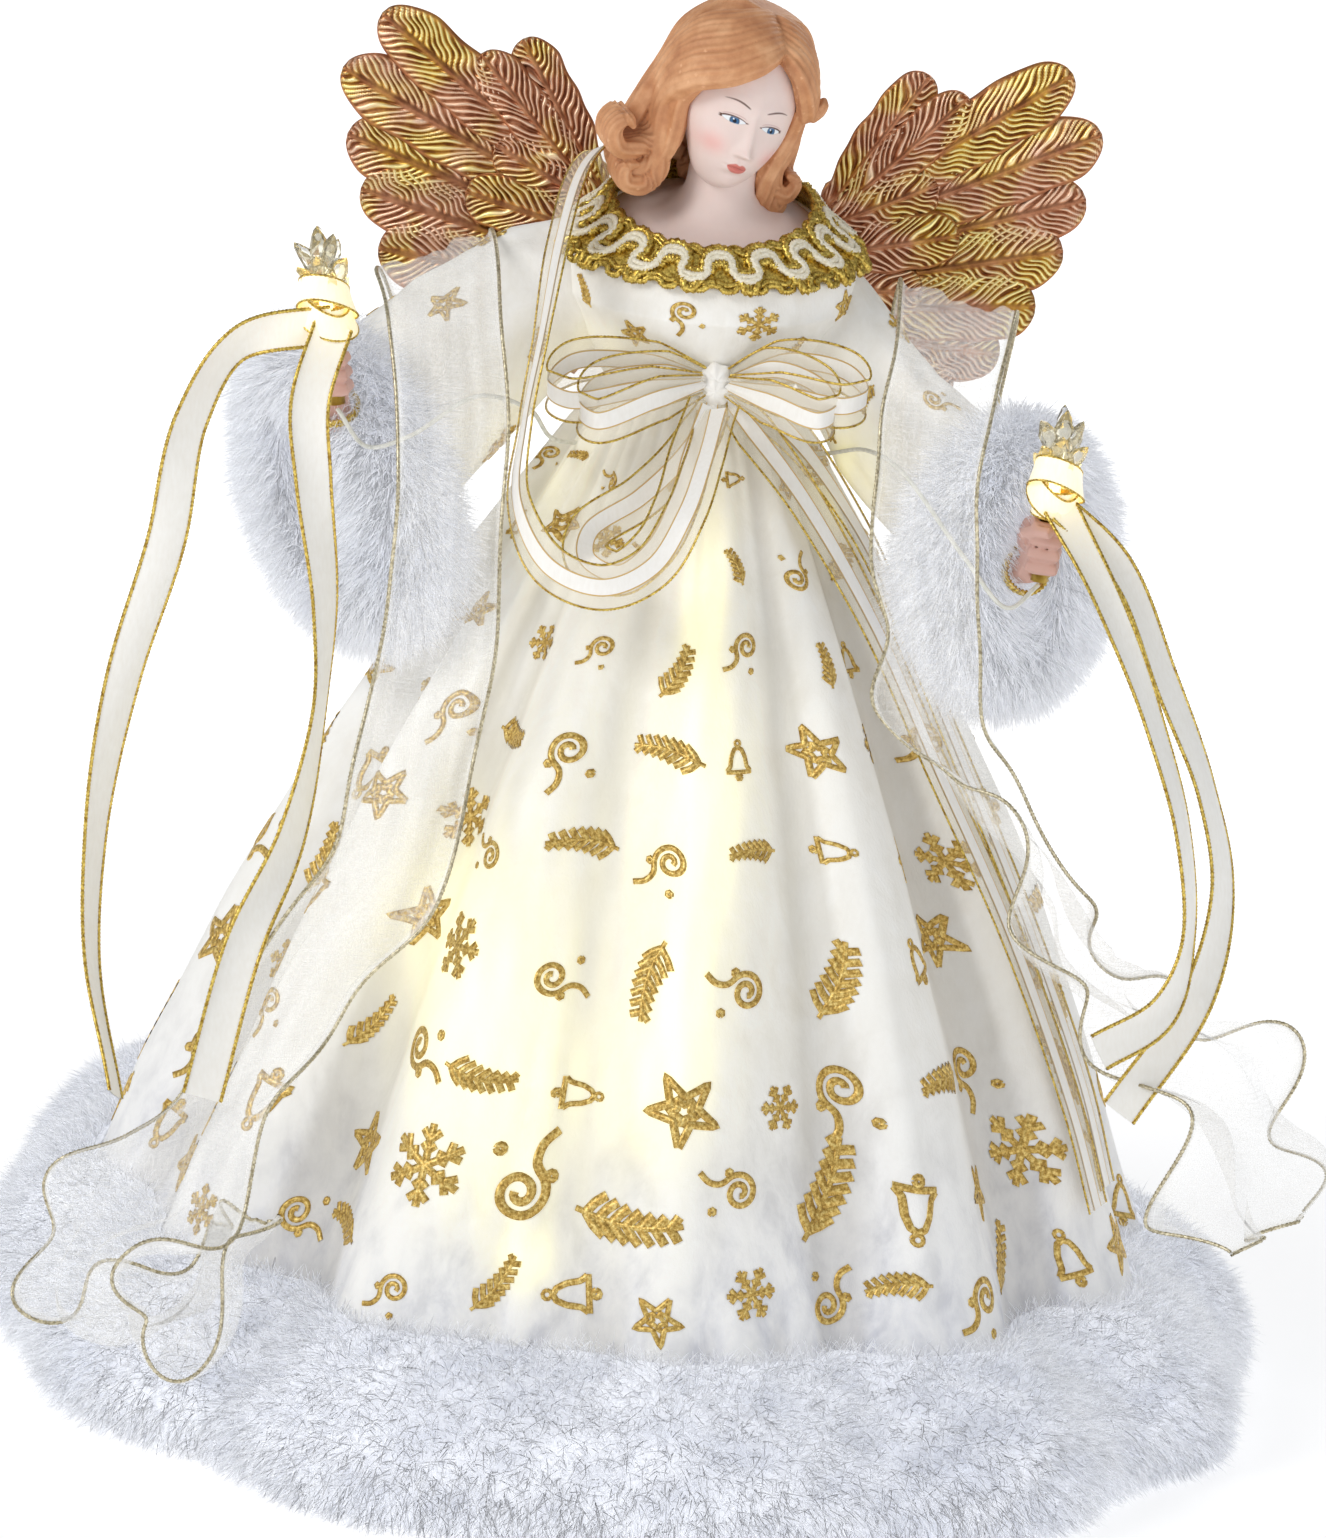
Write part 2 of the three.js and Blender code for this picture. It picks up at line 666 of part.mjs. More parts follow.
function skirtPlace(angle, share) {
  const flare = share + flareShare * Math.sin((share * turn) / 2);
  const [, waistWidthShare, waistDepthShare] = bodiceShares[0];
  const fold = foldAt(angle, share);
  const across = lerp(waistWidthShare * figureUnit, hemRadius, flare) + fold;
  const deep = lerp(waistDepthShare * figureUnit, hemRadius, flare) + fold;
  const height = lerp(waistHeight - gap, hemHeight + liftAt(angle), share);
  return vector(across * Math.cos(angle), deep * Math.sin(angle), height);
}
skirtPlace.turned = -1;

// A place on the gown at an angle and height, held clear of the folds to each side.
function onGown(angle, height, clear, halfWidth) {
  const share = (waistHeight - gap - height) / (waistHeight - gap - hemHeight - liftAt(angle));
  const here = skirtPlace(angle, share);
  const radius = Math.hypot(here.x, here.y);
  let widest = radius;
  for (const side of [-1, -0.5, 0.5, 1]) {
    const near = skirtPlace(angle + (side * halfWidth) / radius, share);
    widest = Math.max(widest, Math.hypot(near.x, near.y));
  }
  return here.multiply(vector((widest + clear) / radius, (widest + clear) / radius, 1));
}

// Bodice surface above the waist
function bodicePlace(angle, share) {
  const [, widthShare, depthShare, middleShare] = fromTable(bodiceShares, share);
  const top = neckHeight + neckTilt * Math.sin(angle);
  return vector(
    widthShare * figureUnit * Math.cos(angle),
    middleShare * figureUnit + depthShare * figureUnit * Math.sin(angle),
    lerp(waistHeight, top, share),
  );
}
bodicePlace.turned = 1;

// Sleeve surface from the shoulder to the mouth
function sleeveSurface(name) {
  const table = sleeveShares[name];
  const last = table.length - 1;
  const surface = (angle, share) => {
    const row = Math.max(0, Math.min(Math.floor(share * last), last - 1));
    const part = share * last - row;
    const mix = (pick) => lerp(pick(table[row]), pick(table[row + 1]), part);
    const centre = place([0, 1, 2].map((axis) => mix((entry) => entry[0][axis])));
    const out = vector(...[0, 1, 2].map((axis) => mix((entry) => entry[1][axis]))).normalize();
    const high = vector(mix((entry) => entry[2]), 0, 1);
    high.addScaledVector(out, -high.dot(out)).normalize();
    const wide = vector(0, 0, 0).crossVectors(out, high);
    return centre
      .addScaledVector(high, mix((entry) => entry[3]) * figureUnit * Math.sin(angle))
      .addScaledVector(wide, mix((entry) => entry[4]) * figureUnit * Math.cos(angle));
  };
  surface.turned = -1;
  surface.rows = table.map((entry, row) => row / last);
  surface.mouth = vector(...table[last][1]).normalize();
  return surface;
}

// Cone surface
const coneRadiusAt = (height) => lerp(coneBaseRadius, coneTopRadius, height / coneHeight);

function turnedProfile(profile, sides) {
  return ringBody(profile.map(([radius, height]) => ring(sides, (angle) => (
    vector(radius * Math.cos(angle), radius * Math.sin(angle), height)))), true);
}

// Stand
function coneBody() {
  const flangeInner = coneBaseRadius - coneWall - coneFlange;
  const plateLow = coneHeight - coneWall;
  return turnedProfile([
    [coneBaseRadius, 0],
    [coneTopRadius, coneHeight],
    [postRadius + gap, coneHeight],
    [postRadius + gap, plateLow],
    [coneRadiusAt(plateLow) - coneWall, plateLow],
    [coneRadiusAt(coneWall) - coneWall, coneWall],
    [flangeInner, coneWall],
    [flangeInner, 0],
  ], coneSides);
}

const postLow = coneHeight - postBelowTop;
const postHigh = neckHeight + postInHead;
const postFrom = vector(0, 0, postLow);
const postTo = vector(0, 0, neckHeight + postInHead / 4);

function postHole() {
  return rod(vector(0, 0, postLow), vector(0, 0, postHigh), postRadius + gap);
}

// Arms
const wirePath = [...places(armShares.right.wire).reverse(), ...places(armShares.left.wire).slice(1)];

function armWire(grow = 0) {
  const ends = [
    wirePath[0].clone().sub(wirePath[1]).setLength(grow).add(wirePath[0]),
    wirePath[wirePath.length - 1].clone().sub(wirePath[wirePath.length - 2]).setLength(grow)
      .add(wirePath[wirePath.length - 1]),
  ];
  const path = grow ? [ends[0], ...wirePath.slice(1, -1), ends[1]] : wirePath;
  return tube(path, armWireRadius + grow, 6, 24);
}

// A frame at the fist: the candle's axis, the way to the palm and the way across.
function fistFrame(name) {
  const { fist, top, forearm } = armShares[name];
  const centre = place(fist);
  const axis = place(top).sub(centre).normalize();
  const wrist = place(forearm[forearm.length - 1]);
  const back = wrist.sub(centre);
  back.addScaledVector(axis, -back.dot(axis)).normalize();
  const across = vector(0, 0, 0).crossVectors(back, axis);
  return new THREE.Matrix4().makeBasis(across, back, axis).setPosition(centre);
}

function forearmPath(name) {
  return [...places(armShares[name].forearm), place(armShares[name].fist)];
}

function forearm(name, grow = 0) {
  const size = (share) => lerp(forearmRadius, wristRadius, Math.min(1, share * forearmTaperShare)) + grow;
  return tube(forearmPath(name), size, 7, 5);
}

const holdRadius = stemRadius + gap + fingerRadius;

function palm(name, grow = 0) {
  return ball(
    vector(0, holdRadius + palmRadius * palmShares.back, 0),
    palmRadius + grow,
    palmRadius * palmShares.depth + grow,
    fingerPitch * palmShares.height + grow,
    8,
    5,
  ).applyMatrix4(fistFrame(name));
}

function hand(name) {
  const frame = fistFrame(name);
  const fingers = fingerRowShares.map((row) => {
    const height = row * fingerPitch;
    const arc = fingerArcShares.map((share) => {
      const angle = turn * share;
      return vector(holdRadius * Math.cos(angle), holdRadius * Math.sin(angle), height);
    });
    return tube(arc, fingerRadius, 5, 3).applyMatrix4(frame);
  });
  const thumb = tube([
    vector(-palmRadius * thumbShares.rootAcross, palmRadius * thumbShares.rootBack, 0),
    vector(-holdRadius * thumbShares.bend, 0, fingerPitch),
    vector(-fingerRadius, -holdRadius * thumbShares.bend, fingerPitch * thumbShares.rise),
  ], fingerRadius, 5, 3).applyMatrix4(frame);
  const whole = join(forearm(name), palm(name), thumb, ...fingers);
  return mainPiece(cut(whole, candleStem(name, gap), armWire(gap)));
}

// Candles
function candleStem(name, grow = 0) {
  return rod(vector(0, 0, -stemBelowFist), vector(0, 0, cupAboveFist + gap + grow), stemRadius + grow)
    .applyMatrix4(fistFrame(name));
}

function candleSocket(name) {
  const frame = fistFrame(name);
  const cup = rod(vector(0, 0, cupAboveFist), vector(0, 0, cupAboveFist + cupHeight), cupRadius)
    .applyMatrix4(frame);
  const bore = rod(
    vector(0, 0, cupAboveFist + cupHeight - candleLedLength / 2),
    vector(0, 0, cupAboveFist + 2 * cupHeight),
    cupBore,
  ).applyMatrix4(frame);
  return cut(join(candleStem(name), cup), bore);
}

function candleLed(name, grow = 0) {
  const low = cupAboveFist + cupHeight - candleLedLength / 2 + gap;
  return rod(vector(0, 0, low - grow), vector(0, 0, low + candleLedLength + grow), candleLedRadius + grow)
    .applyMatrix4(fistFrame(name));
}

function crystal(name) {
  const low = cupAboveFist + cupHeight + gap;
  const rings = crystalShares.map(([heightShare, widthShare], row) => ring(6, (angle) => {
    const turned = angle + (row * turn) / 12;
    const radius = crystalRadius * widthShare;
    return vector(radius * Math.cos(turned), radius * Math.sin(turned), low + heightShare * crystalHeight);
  }));
  return cut(ringBody(rings).applyMatrix4(fistFrame(name)), candleLed(name, gap));
}

function candleLead(name, grow = 0) {
  const low = vector(0, 0, -stemBelowFist - leadRadius - restGap).applyMatrix4(fistFrame(name));
  return tube([...places(leadShares[name]), low], leadRadius + grow, cordSides, leadSteps);
}

function wristCord(name) {
  const path = curve(forearmPath(name));
  const at = 1 - wristCordFromFist / path.getLength();
  const centre = path.getPointAt(at);
  const along = path.getTangentAt(at);
  const across = vector(0, 0, 0).crossVectors(along, upward).normalize();
  const over = vector(0, 0, 0).crossVectors(along, across);
  const size = wristRadius * wristSwellShare + wristCordRadius + restGap;
  const loop = ring(wristCordSteps, (angle) => centre.clone()
    .addScaledVector(across, size * Math.cos(angle))
    .addScaledVector(over, size * Math.sin(angle)));
  return tube(loop, wristCordRadius, cordSides, wristCordSteps, true);
}

// Body pieces
function bodiceEnvelope(offset) {
  return filled(bodicePlace, bodiceRowShares, bodiceSides, offset);
}

function wingScrewHoles(grow) {
  return [-1, 1].map((side) => wingScrewShank(side, grow));
}

function wingScrewShank(side, grow = 0) {
  const height = (wingPlateLow + wingPlateHigh) / 2;
  const deep = wingPlateBack + gap + wingTabThickness;
  return rod(
    vector(side * screwPlace, screwInCore - grow, height),
    vector(side * screwPlace, deep + grow, height),
    screwRadius + grow,
    8,
  );
}

function torsoCore() {
  const offset = -clothThickness - gap;
  const rings = surfaceRings(bodicePlace, coreRowShares, bodiceSides, offset);
  const foot = ring(bodiceSides, (angle) => vector(
    (coneTopRadius - gap) * Math.cos(angle),
    (coneTopRadius - gap) * Math.sin(angle),
    coneHeight + gap,
  ));
  return cut(ringBody([foot, ...rings]), postHole(), armWire(gap), ...wingScrewHoles(gap));
}

function headMatrix() {
  return new THREE.Matrix4()
    .makeRotationFromEuler(new THREE.Euler(headTipShares.forward, headTipShares.sideways, 0))
    .setPosition(place(headShares));
}

// An egg shape in the head's own frame, from shares of the head's half sizes.
function headEgg([x, y, z, wide, deep, high], grow, across, down) {
  return ball(
    vector(x * headHalfWidth, y * headHalfDepth, z * headHalfHeight),
    wide * headHalfWidth + grow,
    deep * headHalfDepth + grow,
    high * headHalfHeight + grow,
    across,
    down,
  );
}

function headShape(grow = 0) {
  return join(headEgg(skullShares, grow, 10, 6), headEgg(jawShares, grow, 8, 6)).applyMatrix4(headMatrix());
}

function bustPlate(offset, grow = 0) {
  const [coreTopShare] = coreRowShares.slice(-1);
  const low = ring(bodiceSides, (angle) => offsetPlace(bodicePlace, angle, coreTopShare, offset)
    .addScaledVector(upward, gap));
  const rings = surfaceRings(bodicePlace, bustRowShares, bodiceSides, offset);
  const neck = neckShares.map(([x, y, z, wide, deep]) => ring(bodiceSides, (angle) => place([
    x + (wide + grow / figureUnit) * Math.cos(angle),
    y + (deep + grow / figureUnit) * Math.sin(angle),
    z,
  ])));
  return ringBody([low, ...rings, ...neck]);
}

function headBust() {
  const whole = join(bustPlate(-clothThickness - gap), headShape());
  const bore = rod(vector(0, 0, postLow), postTo.clone().addScaledVector(upward, gap), postRadius + gap);
  return cut(whole, bore, armWire(gap), ...wingScrewHoles(gap));
}

function hair() {
  const locks = hairLockShares.map((shares) => headEgg(shares, 0, 8, 5));
  const whole = join(headEgg(hairCapShares, hairThickness, 10, 6), ...locks);
  const placed = cut(whole, headEgg(faceCutShares, 0, 8, 6)).applyMatrix4(headMatrix());
  return mainPiece(cut(placed, headShape(gap), bustPlate(gap, restGap), bodiceCollarZone()));
}

function bodice() {
  const shell = shellOf(bodicePlace, bodiceRowShares, bodiceSides, -clothThickness, 0);
  return cut(shell, armWire(gap), ...wingScrewHoles(gap));
}

function skirt() {
  const shell = shellOf(skirtPlace, skirtRowShares, gownSides, -clothThickness, 0);
  return cut(shell, candleLead("right", gap), candleLead("left", gap));
}

// The fur follows the skirt's last two rows, then bulges out, meets the table and tucks under the hem.
function furHem() {
  const [topShare] = skirtRowShares.slice(-2);
  const roll = hemRollShares;
  const section = (angle) => {
    const top = offsetPlace(skirtPlace, angle, topShare, restGap);
    const low = offsetPlace(skirtPlace, angle, 1, restGap);
    const shelf = skirtPlace(angle, 1).z - clothThickness;
    const out = vector(Math.cos(angle), Math.sin(angle), 0);
    const lift = liftAt(angle);
    const at = (from, away, height) => vector(from.x, from.y, height).addScaledVector(out, away);
    return [
      top,
      at(top, hemFurThickness * roll.topOut, top.z + hemFurThickness * roll.topRise),
      at(top, hemFurThickness * roll.highOut, lerp(low.z, top.z, roll.highAt)),
      at(low, hemFurThickness * roll.lowOut, lerp(low.z, top.z, roll.lowAt)),
      at(low, hemFurThickness * roll.footOut, lift + hemHeight),
      at(low, hemFurThickness * roll.underOut, lift),
      at(low, -hemFurTuck, lift),
      at(low, -hemFurTuck, shelf),
      at(low, restGap, shelf),
    ];
  };
  const columns = ring(gownSides, section);
  const rings = columns[0].map((spot, row) => columns.map((column) => column[row]));
  return ringBody(rings.reverse(), true);
}

function sleeve(name) {
  const surface = sleeveSurface(name);
  const shell = shellOf(surface, surface.rows, sleeveSides, -clothThickness, 0);
  return cut(shell, bodiceEnvelope(gap), bodiceCollarZone());
}

function bodiceCollarZone() {
  const shares = [collarRowShares[0] - collarMarginShare, 1, collarRowShares[2] + collarMarginShare];
  return shellOf(bodicePlace, shares, bodiceSides, -gap, 3 * restGap + braidThickness + 2 * braidCordRadius);
}

function furCuff(name) {
  const surface = sleeveSurface(name);
  const roll = cuffRollShares;
  const back = cuffBackShare;
  const thick = cuffFurThickness;
  const reach = cuffFurReach;
  const tuck = cuffFurTuck;
  const section = (angle) => {
    const at = (share, along, offset) => offsetPlace(surface, angle, share, offset)
      .addScaledVector(surface.mouth, along);
    return [
      at(back, 0, gap),
      at(back, 0, thick * roll.backOut),
      at(lerp(back, 1, roll.midAt), 0, thick * roll.midOut),
      at(1, 0, thick),
      at(1, reach * roll.frontReach, thick * roll.frontOut),
      at(1, reach, thick * roll.lipOut),
      at(1, reach, -tuck * roll.lipTuck),
      at(1, reach * roll.deepReach, -tuck),
      at(1, restGap, -tuck * roll.rootTuck),
      at(1, restGap, gap),
      at(1, 0, gap),
    ];
  };
  return cut(
    ringBody(ring(sleeveSides, section), true),
    forearm(name, restGap),
    wristSpace(name),
    palm(name, restGap),
    candleLead(name, restGap),
  );
}

// Room for the wrist cord in the fur
function wristSpace(name) {
  const size = wristRadius * wristSwellShare + 2 * wristCordRadius + 2 * restGap;
  return tube(forearmPath(name).slice(2), size, 10, 4);
}

// Wings
function feather([rootX, rootZ], [tipX, tipZ], halfWidth, step, side) {
  const depth = wingDepthPlace + step * featherThickness;
  const root = vector(side * rootX * figureUnit, depth, rootZ * figureUnit);
  const tip = vector(side * tipX * figureUnit, depth + featherThickness, tipZ * figureUnit);
  const along = tip.clone().sub(root);
  const across = vector(0, 0, 0).crossVectors(along, forward).normalize();
  const rings = featherLengthShares.map((share, row) => {
    const centre = root.clone().addScaledVector(along, share);
    const wide = halfWidth * figureUnit * featherWidthShares[row];
    const deep = (featherThickness / 2) * lerp(1, featherTipShare, share);
    return ring(4, (angle) => centre.clone()
      .addScaledVector(across, wide * Math.cos(angle))
      .addScaledVector(forward, deep * Math.sin(angle)));
  });
  return ringBody(rings);
}

function wing(side) {
  const feathers = featherShares.map(([root, tip, halfWidth, step]) => (
    feather(root, tip, halfWidth, step, side)));
  const tabLow = wingPlateBack + gap;
  const outer = wingPlateHalfWidth + bossShares.reach * wingTabThickness;
  const inner = gap;
  const tab = block(
    vector(Math.min(side * inner, side * outer), tabLow, wingPlateLow),
    vector(Math.max(side * inner, side * outer), tabLow + wingTabThickness, wingPlateHigh),
  );
  const boss = ball(
    vector(side * outer, wingDepthPlace, (wingPlateLow + wingPlateHigh) / 2),
    wingTabThickness * bossShares.width,
    featherThickness,
    (wingPlateHigh - wingPlateLow) * bossShares.height,
    8,
    6,
  );
  const whole = join(...feathers, boss, tab);
  const keepOut = block(
    vector(-wingPlateHalfWidth - gap, 0, wingPlateLow - figureUnit),
    vector(wingPlateHalfWidth + gap, tabLow, wingPlateHigh + figureUnit),
  );
  return mainPiece(cut(whole, keepOut, wingScrewShank(side, gap)));
}

function wingPlate() {
  const body = block(
    vector(-wingPlateHalfWidth, 0, wingPlateLow),
    vector(wingPlateHalfWidth, wingPlateBack, wingPlateHigh),
  );
  return cut(body, bodiceEnvelope(gap), bodiceCollarZone(), ...wingScrewHoles(gap));
}

function wingScrew(side) {
  const height = (wingPlateLow + wingPlateHigh) / 2;
  const under = wingPlateBack + 2 * gap + wingTabThickness;
  const head = rod(
    vector(side * screwPlace, under, height),
    vector(side * screwPlace, under + screwHeadHeight, height),
    screwHeadRadius,
  );
  const neck = rod(
    vector(side * screwPlace, screwInCore, height),
    vector(side * screwPlace, under + gap, height),
    screwRadius,
    8,
  );
  return join(head, neck);
}

// Trim
function collarBraid() {
  return shellOf(bodicePlace, collarRowShares, bodiceSides, restGap, restGap + braidThickness);
}

function collarCord() {
  const steps = collarWaves * collarStepsPerWave;
  const middle = (collarRowShares[0] + collarRowShares[collarRowShares.length - 1]) / 2;
  const away = 2 * restGap + braidThickness + braidCordRadius;
  const path = Array.from({ length: steps }, (unused, step) => {
    const angle = (turn * step) / steps;
    const share = middle + collarWaveShare * Math.sin(collarWaves * angle);
    return offsetPlace(bodicePlace, angle, share, away);
  });
  return guidedTube(path, () => upward.clone(), braidCordRadius, cordSides, true);
}

// The bow's ribbons are gathered where the knot holds them.
const heldWidth = (away) => bowRibbonWidth * Math.min(1, gatherShare + gatherEaseShare * away);

function bowLoop(name, side) {
  const path = places(bowLoopShares[name]);
  const facings = loopTurnShares.map((share) => vector(
    side * Math.sin((share * turn) / 2),
    -Math.cos((share * turn) / 2),
    0,
  ));
  const width = (share) => heldWidth(Math.min(share, 1 - share));
  return mainPiece(cut(strip(path, facings, width, ribbonThickness, 16), knotShape(gap)));
}

function knotShape(grow = 0) {
  const deep = knotRadius * knotDepthShare;
  return ball(place(knotShares), knotRadius + grow, deep + grow, knotRadius + grow, 8, 6);
}

function bowKnot() {
  return cut(knotShape(), bodiceEnvelope(gap));
}

function hangingLoop() {
  const path = places([knotShares, ...hangingLoopShares]);
  return mainPiece(cut(
    strip(path, path.map(() => vector(...hangingFacingShares)), heldWidth, ribbonThickness, 16),
    knotShape(gap),
  ));
}

function shoulderRibbon() {
  const path = places(shoulderShares);
  const facings = shoulderFacingShares.map((shares) => vector(...shares));
  return strip(path, facings, bowRibbonWidth, ribbonThickness, 14);
}

function bowTail(table, layer) {
  const clear = layer * (restGap + ribbonThickness) + (layer - 1) * restGap;
  const path = table.map(([angleShare, heightShare], row) => onGown(
    angleShare * turn,
    heightShare * figureUnit,
    clear + (table.length - 1 - row) * restGap,
    bowRibbonWidth / 2,
  ));
  const facings = table.map(([angleShare]) => (
    vector(Math.cos(angleShare * turn), Math.sin(angleShare * turn), tailRiseShare)));
  return mainPiece(cut(
    strip([place(knotShares), ...path], [forward.clone(), ...facings], heldWidth, ribbonThickness, 16),
    knotShape(gap),
  ));
}

// One ribbon at each hand: a band round the candle's cup and two hanging tails.
function handRibbon(name) {
  const frame = fistFrame(name);
  const bandRadius = cupRadius + restGap + ribbonThickness / 2;
  const middle = cupAboveFist + cupHeight / 2;
  const loop = ring(bandSides, (angle) => (
    vector(bandRadius * Math.cos(angle), bandRadius * Math.sin(angle), middle).applyMatrix4(frame)));
  const facings = ring(bandSides, (angle) => (
    vector(Math.cos(angle), Math.sin(angle), 0).transformDirection(frame)));
  const band = strip(loop, facings, cupHeight, ribbonThickness, bandSides, true);
  const start = vector(0, -bandRadius, middle).applyMatrix4(frame);
  const tails = handTailShares[name].map((table) => {
    const path = [start, ...places(table).slice(1)];
    const { sway, step, rise } = handFacingShares;
    const facing = path.map((spot, row) => vector(sway * Math.sin(row * step), -1, rise));
    return strip(path, facing, handRibbonWidth, ribbonThickness, 14);
  });
  const cupSpace = rod(
    vector(0, 0, -stemBelowFist),
    vector(0, 0, cupAboveFist + cupHeight + crystalHeight),
    cupRadius + gap,
  ).applyMatrix4(frame);
  return join(band, ...tails.map((tail) => mainPiece(cut(tail, cupSpace))));
}

// Organza hung over an arm: a thin sheet through the stations, with small ripples across it.
function drape(name) {
  const table = drapeShares[name];
  const outer = curve(table.map(([edge]) => place(edge)));
  const inner = curve(table.map(([, edge]) => place(edge)));
  const rows = 2 * (table.length - 1);
  const grid = Array.from({ length: rows + 1 }, (unusedRow, row) => (
    Array.from({ length: drapeColumns + 1 }, (unusedColumn, column) => {
      const from = outer.getPoint(row / rows);
      const to = inner.getPoint(row / rows);
      const grown = Math.min(1, row / rows + rippleStartShare);
      const ripple = drapeRippleShare * figureUnit * grown * Math.sin(column * rippleStepShare);
      return from.lerp(to, column / drapeColumns).addScaledVector(forward, ripple);
    })));
  return sheetBody(grid, organzaThickness);
}

function sheetBody(grid, thickness) {
  const rows = grid.length;
  const columns = grid[0].length;
  const within = (step, count) => Math.max(0, Math.min(count - 1, step));
  const near = (row, column) => grid[within(row, rows)][within(column, columns)];
  const moved = (row, column, away) => {
    const down = near(row + 1, column).clone().sub(near(row - 1, column));
    const across = near(row, column + 1).clone().sub(near(row, column - 1));
    return grid[row][column].clone().addScaledVector(down.cross(across).normalize(), away);
  };
  const rings = grid.map((line, row) => [
    ...line.map((spot, column) => moved(row, column, thickness / 2)),
    ...line.map((spot, column) => moved(row, columns - 1 - column, -thickness / 2)),
  ]);
  return stackedStrips(rings, columns);
}

// Like ringBody, but the end caps are strips between the two faces.
function stackedStrips(rings, columns) {
  const count = rings[0].length;
  const corners = rings.flat();
  const faces = [];
  for (let row = 0; row < rings.length - 1; row += 1) {
    for (let step = 0; step < count; step += 1) {
      const after = (step + 1) % count;
      const here = row * count;
      faces.push(...splitQuad(
        [here + step, here + after, here + count + after, here + count + step],
        step >= columns,
      ));
    }
  }
  const last = (rings.length - 1) * count;
  for (let column = 0; column < columns - 1; column += 1) {
    const over = count - 1 - column;
    faces.push([column + 1, column, over], [column + 1, over, over - 1]);
    faces.push([last + column, last + column + 1, last + over]);
    faces.push([last + column + 1, last + over - 1, last + over]);
  }
  return bodyFrom(corners, faces);
}

// Light string wound round the cone
function wirePlace(turns, away) {
  const last = wirePassShares.length - 1;
  const pass = Math.max(0, Math.min(last - 1e-6, turns));
  const low = Math.floor(pass);
  const rise = (wirePassShares[1] - wirePassShares[0]) * wireEndRiseShare;
  const passShare = lerp(wirePassShares[low], wirePassShares[low + 1], pass - low);
  const height = (passShare + (turns - pass) * rise) * figureUnit;
  const radius = coneRadiusAt(height) / Math.cos(turn / (2 * wireStepsPerTurn)) + away;
  const angle = front + turns * turn;
  return vector(radius * Math.cos(angle), radius * Math.sin(angle), height);
}

const wireFirst = -wireEndTurnShares.first;
const wireLast = wirePassShares.length - 1 + wireEndTurnShares.last;
const wireSteps = Math.round((wireLast - wireFirst) * wireStepsPerTurn);
const wireSpots = Array.from({ length: wireSteps + 1 }, (unused, step) => (
  wirePlace(lerp(wireFirst, wireLast, step / wireSteps), lightWireRadius + restGap)));

function lightWire() {
  return guidedTube(wireSpots, fromAxis, lightWireRadius, cordSides);
}

function stringLamp([pass, share]) {
  const at = ((pass + share - wireFirst) / (wireLast - wireFirst)) * wireSteps;
  const [low, high] = [wireSpots[Math.floor(at)], wireSpots[Math.ceil(at)]];
  const ahead = high.clone().sub(low).normalize();
  const middle = low.clone().lerp(high, at - Math.floor(at));
  middle.addScaledVector(fromAxis(middle), lightWireRadius + gap + stringLedRadius);
  return rod(
    middle.clone().addScaledVector(ahead, -stringLedLength / 2),
    middle.clone().addScaledVector(ahead, stringLedLength / 2),
    stringLedRadius,
    8,
  );
}

// Battery box: the cells stand side by side, and the door faces the hollow of the cone.
const cellMiddle = boxFront + boxWall / 2 + cellPitch / 2;
const boxBack = cellMiddle + cellPitch / 2 + boxWall;
const boxHalfWidth = 1.5 * cellPitch + boxWall;
const cellLow = boxBottom + boxWall + springRoom;
const cellHigh = cellLow + cellLength + cellNubLength;
const boxTop = cellHigh + 2 * gap + contactThickness + boxWall;
const doorBack = boxFront - gap;
const doorFront = doorBack - doorThickness;
const doorHalfWidth = boxHalfWidth;
const hingeHeight = boxTop + doorBarrelRadius + gap;
const hingeDepth = doorBack - doorBarrelRadius;
const sliderDepth = boxFront + boxWall + sliderStem;
const cellPlaces = [-1, 0, 1].map((column) => column * cellPitch);
const lugInner = doorHalfWidth - lugThickness;

function batteryBox() {
  const shell = block(vector(-boxHalfWidth, boxFront, boxBottom), vector(boxHalfWidth, boxBack, boxTop));
  const inside = block(
    vector(-boxHalfWidth + boxWall, boxFront - boxWall, boxBottom + boxWall),
    vector(boxHalfWidth - boxWall, boxBack - boxWall, boxTop - boxWall),
  );
  const back = block(
    vector(-boxHalfWidth / 2, boxBack - boxWall / 2, boxBottom),
    vector(boxHalfWidth / 2, coneBaseRadius, boxTop),
  );
  const coneSpace = ringBody([0, coneHeight / 2].map((height) => ring(coneSides, (angle) => {
    const radius = coneRadiusAt(height) - coneWall - restGap;
    return vector(radius * Math.cos(angle), radius * Math.sin(angle), height);
  })));
  const mount = overlap(back, coneSpace);
  const lugs = [-1, 1].map((side) => {
    const [near, far] = [side * lugInner, side * doorHalfWidth];
    const eye = rod(
      vector(near, hingeDepth, hingeHeight),
      vector(far, hingeDepth, hingeHeight),
      doorBarrelRadius,
    );
    const arm = block(
      vector(Math.min(near, far), hingeDepth, boxTop - gap),
      vector(Math.max(near, far), boxFront + boxWall, hingeHeight),
    );
    return join(eye, arm);
  });
  const eyeHole = rod(
    vector(-boxHalfWidth - gap, hingeDepth, hingeHeight),
    vector(boxHalfWidth + gap, hingeDepth, hingeHeight),
    doorPinRadius + runningGap,
    pinSides,
  );
  const slotHalf = (sliderStem + sliderTravel) / 2 + gap;
  const slot = block(
    vector(-slotHalf, sliderDepth - sliderStem / 2 - gap, boxBottom - gap),
    vector(slotHalf, sliderDepth + sliderStem / 2 + gap, boxBottom + 2 * boxWall),
  );
  return cut(join(shell, mount, ...lugs), inside, eyeHole, slot);
}

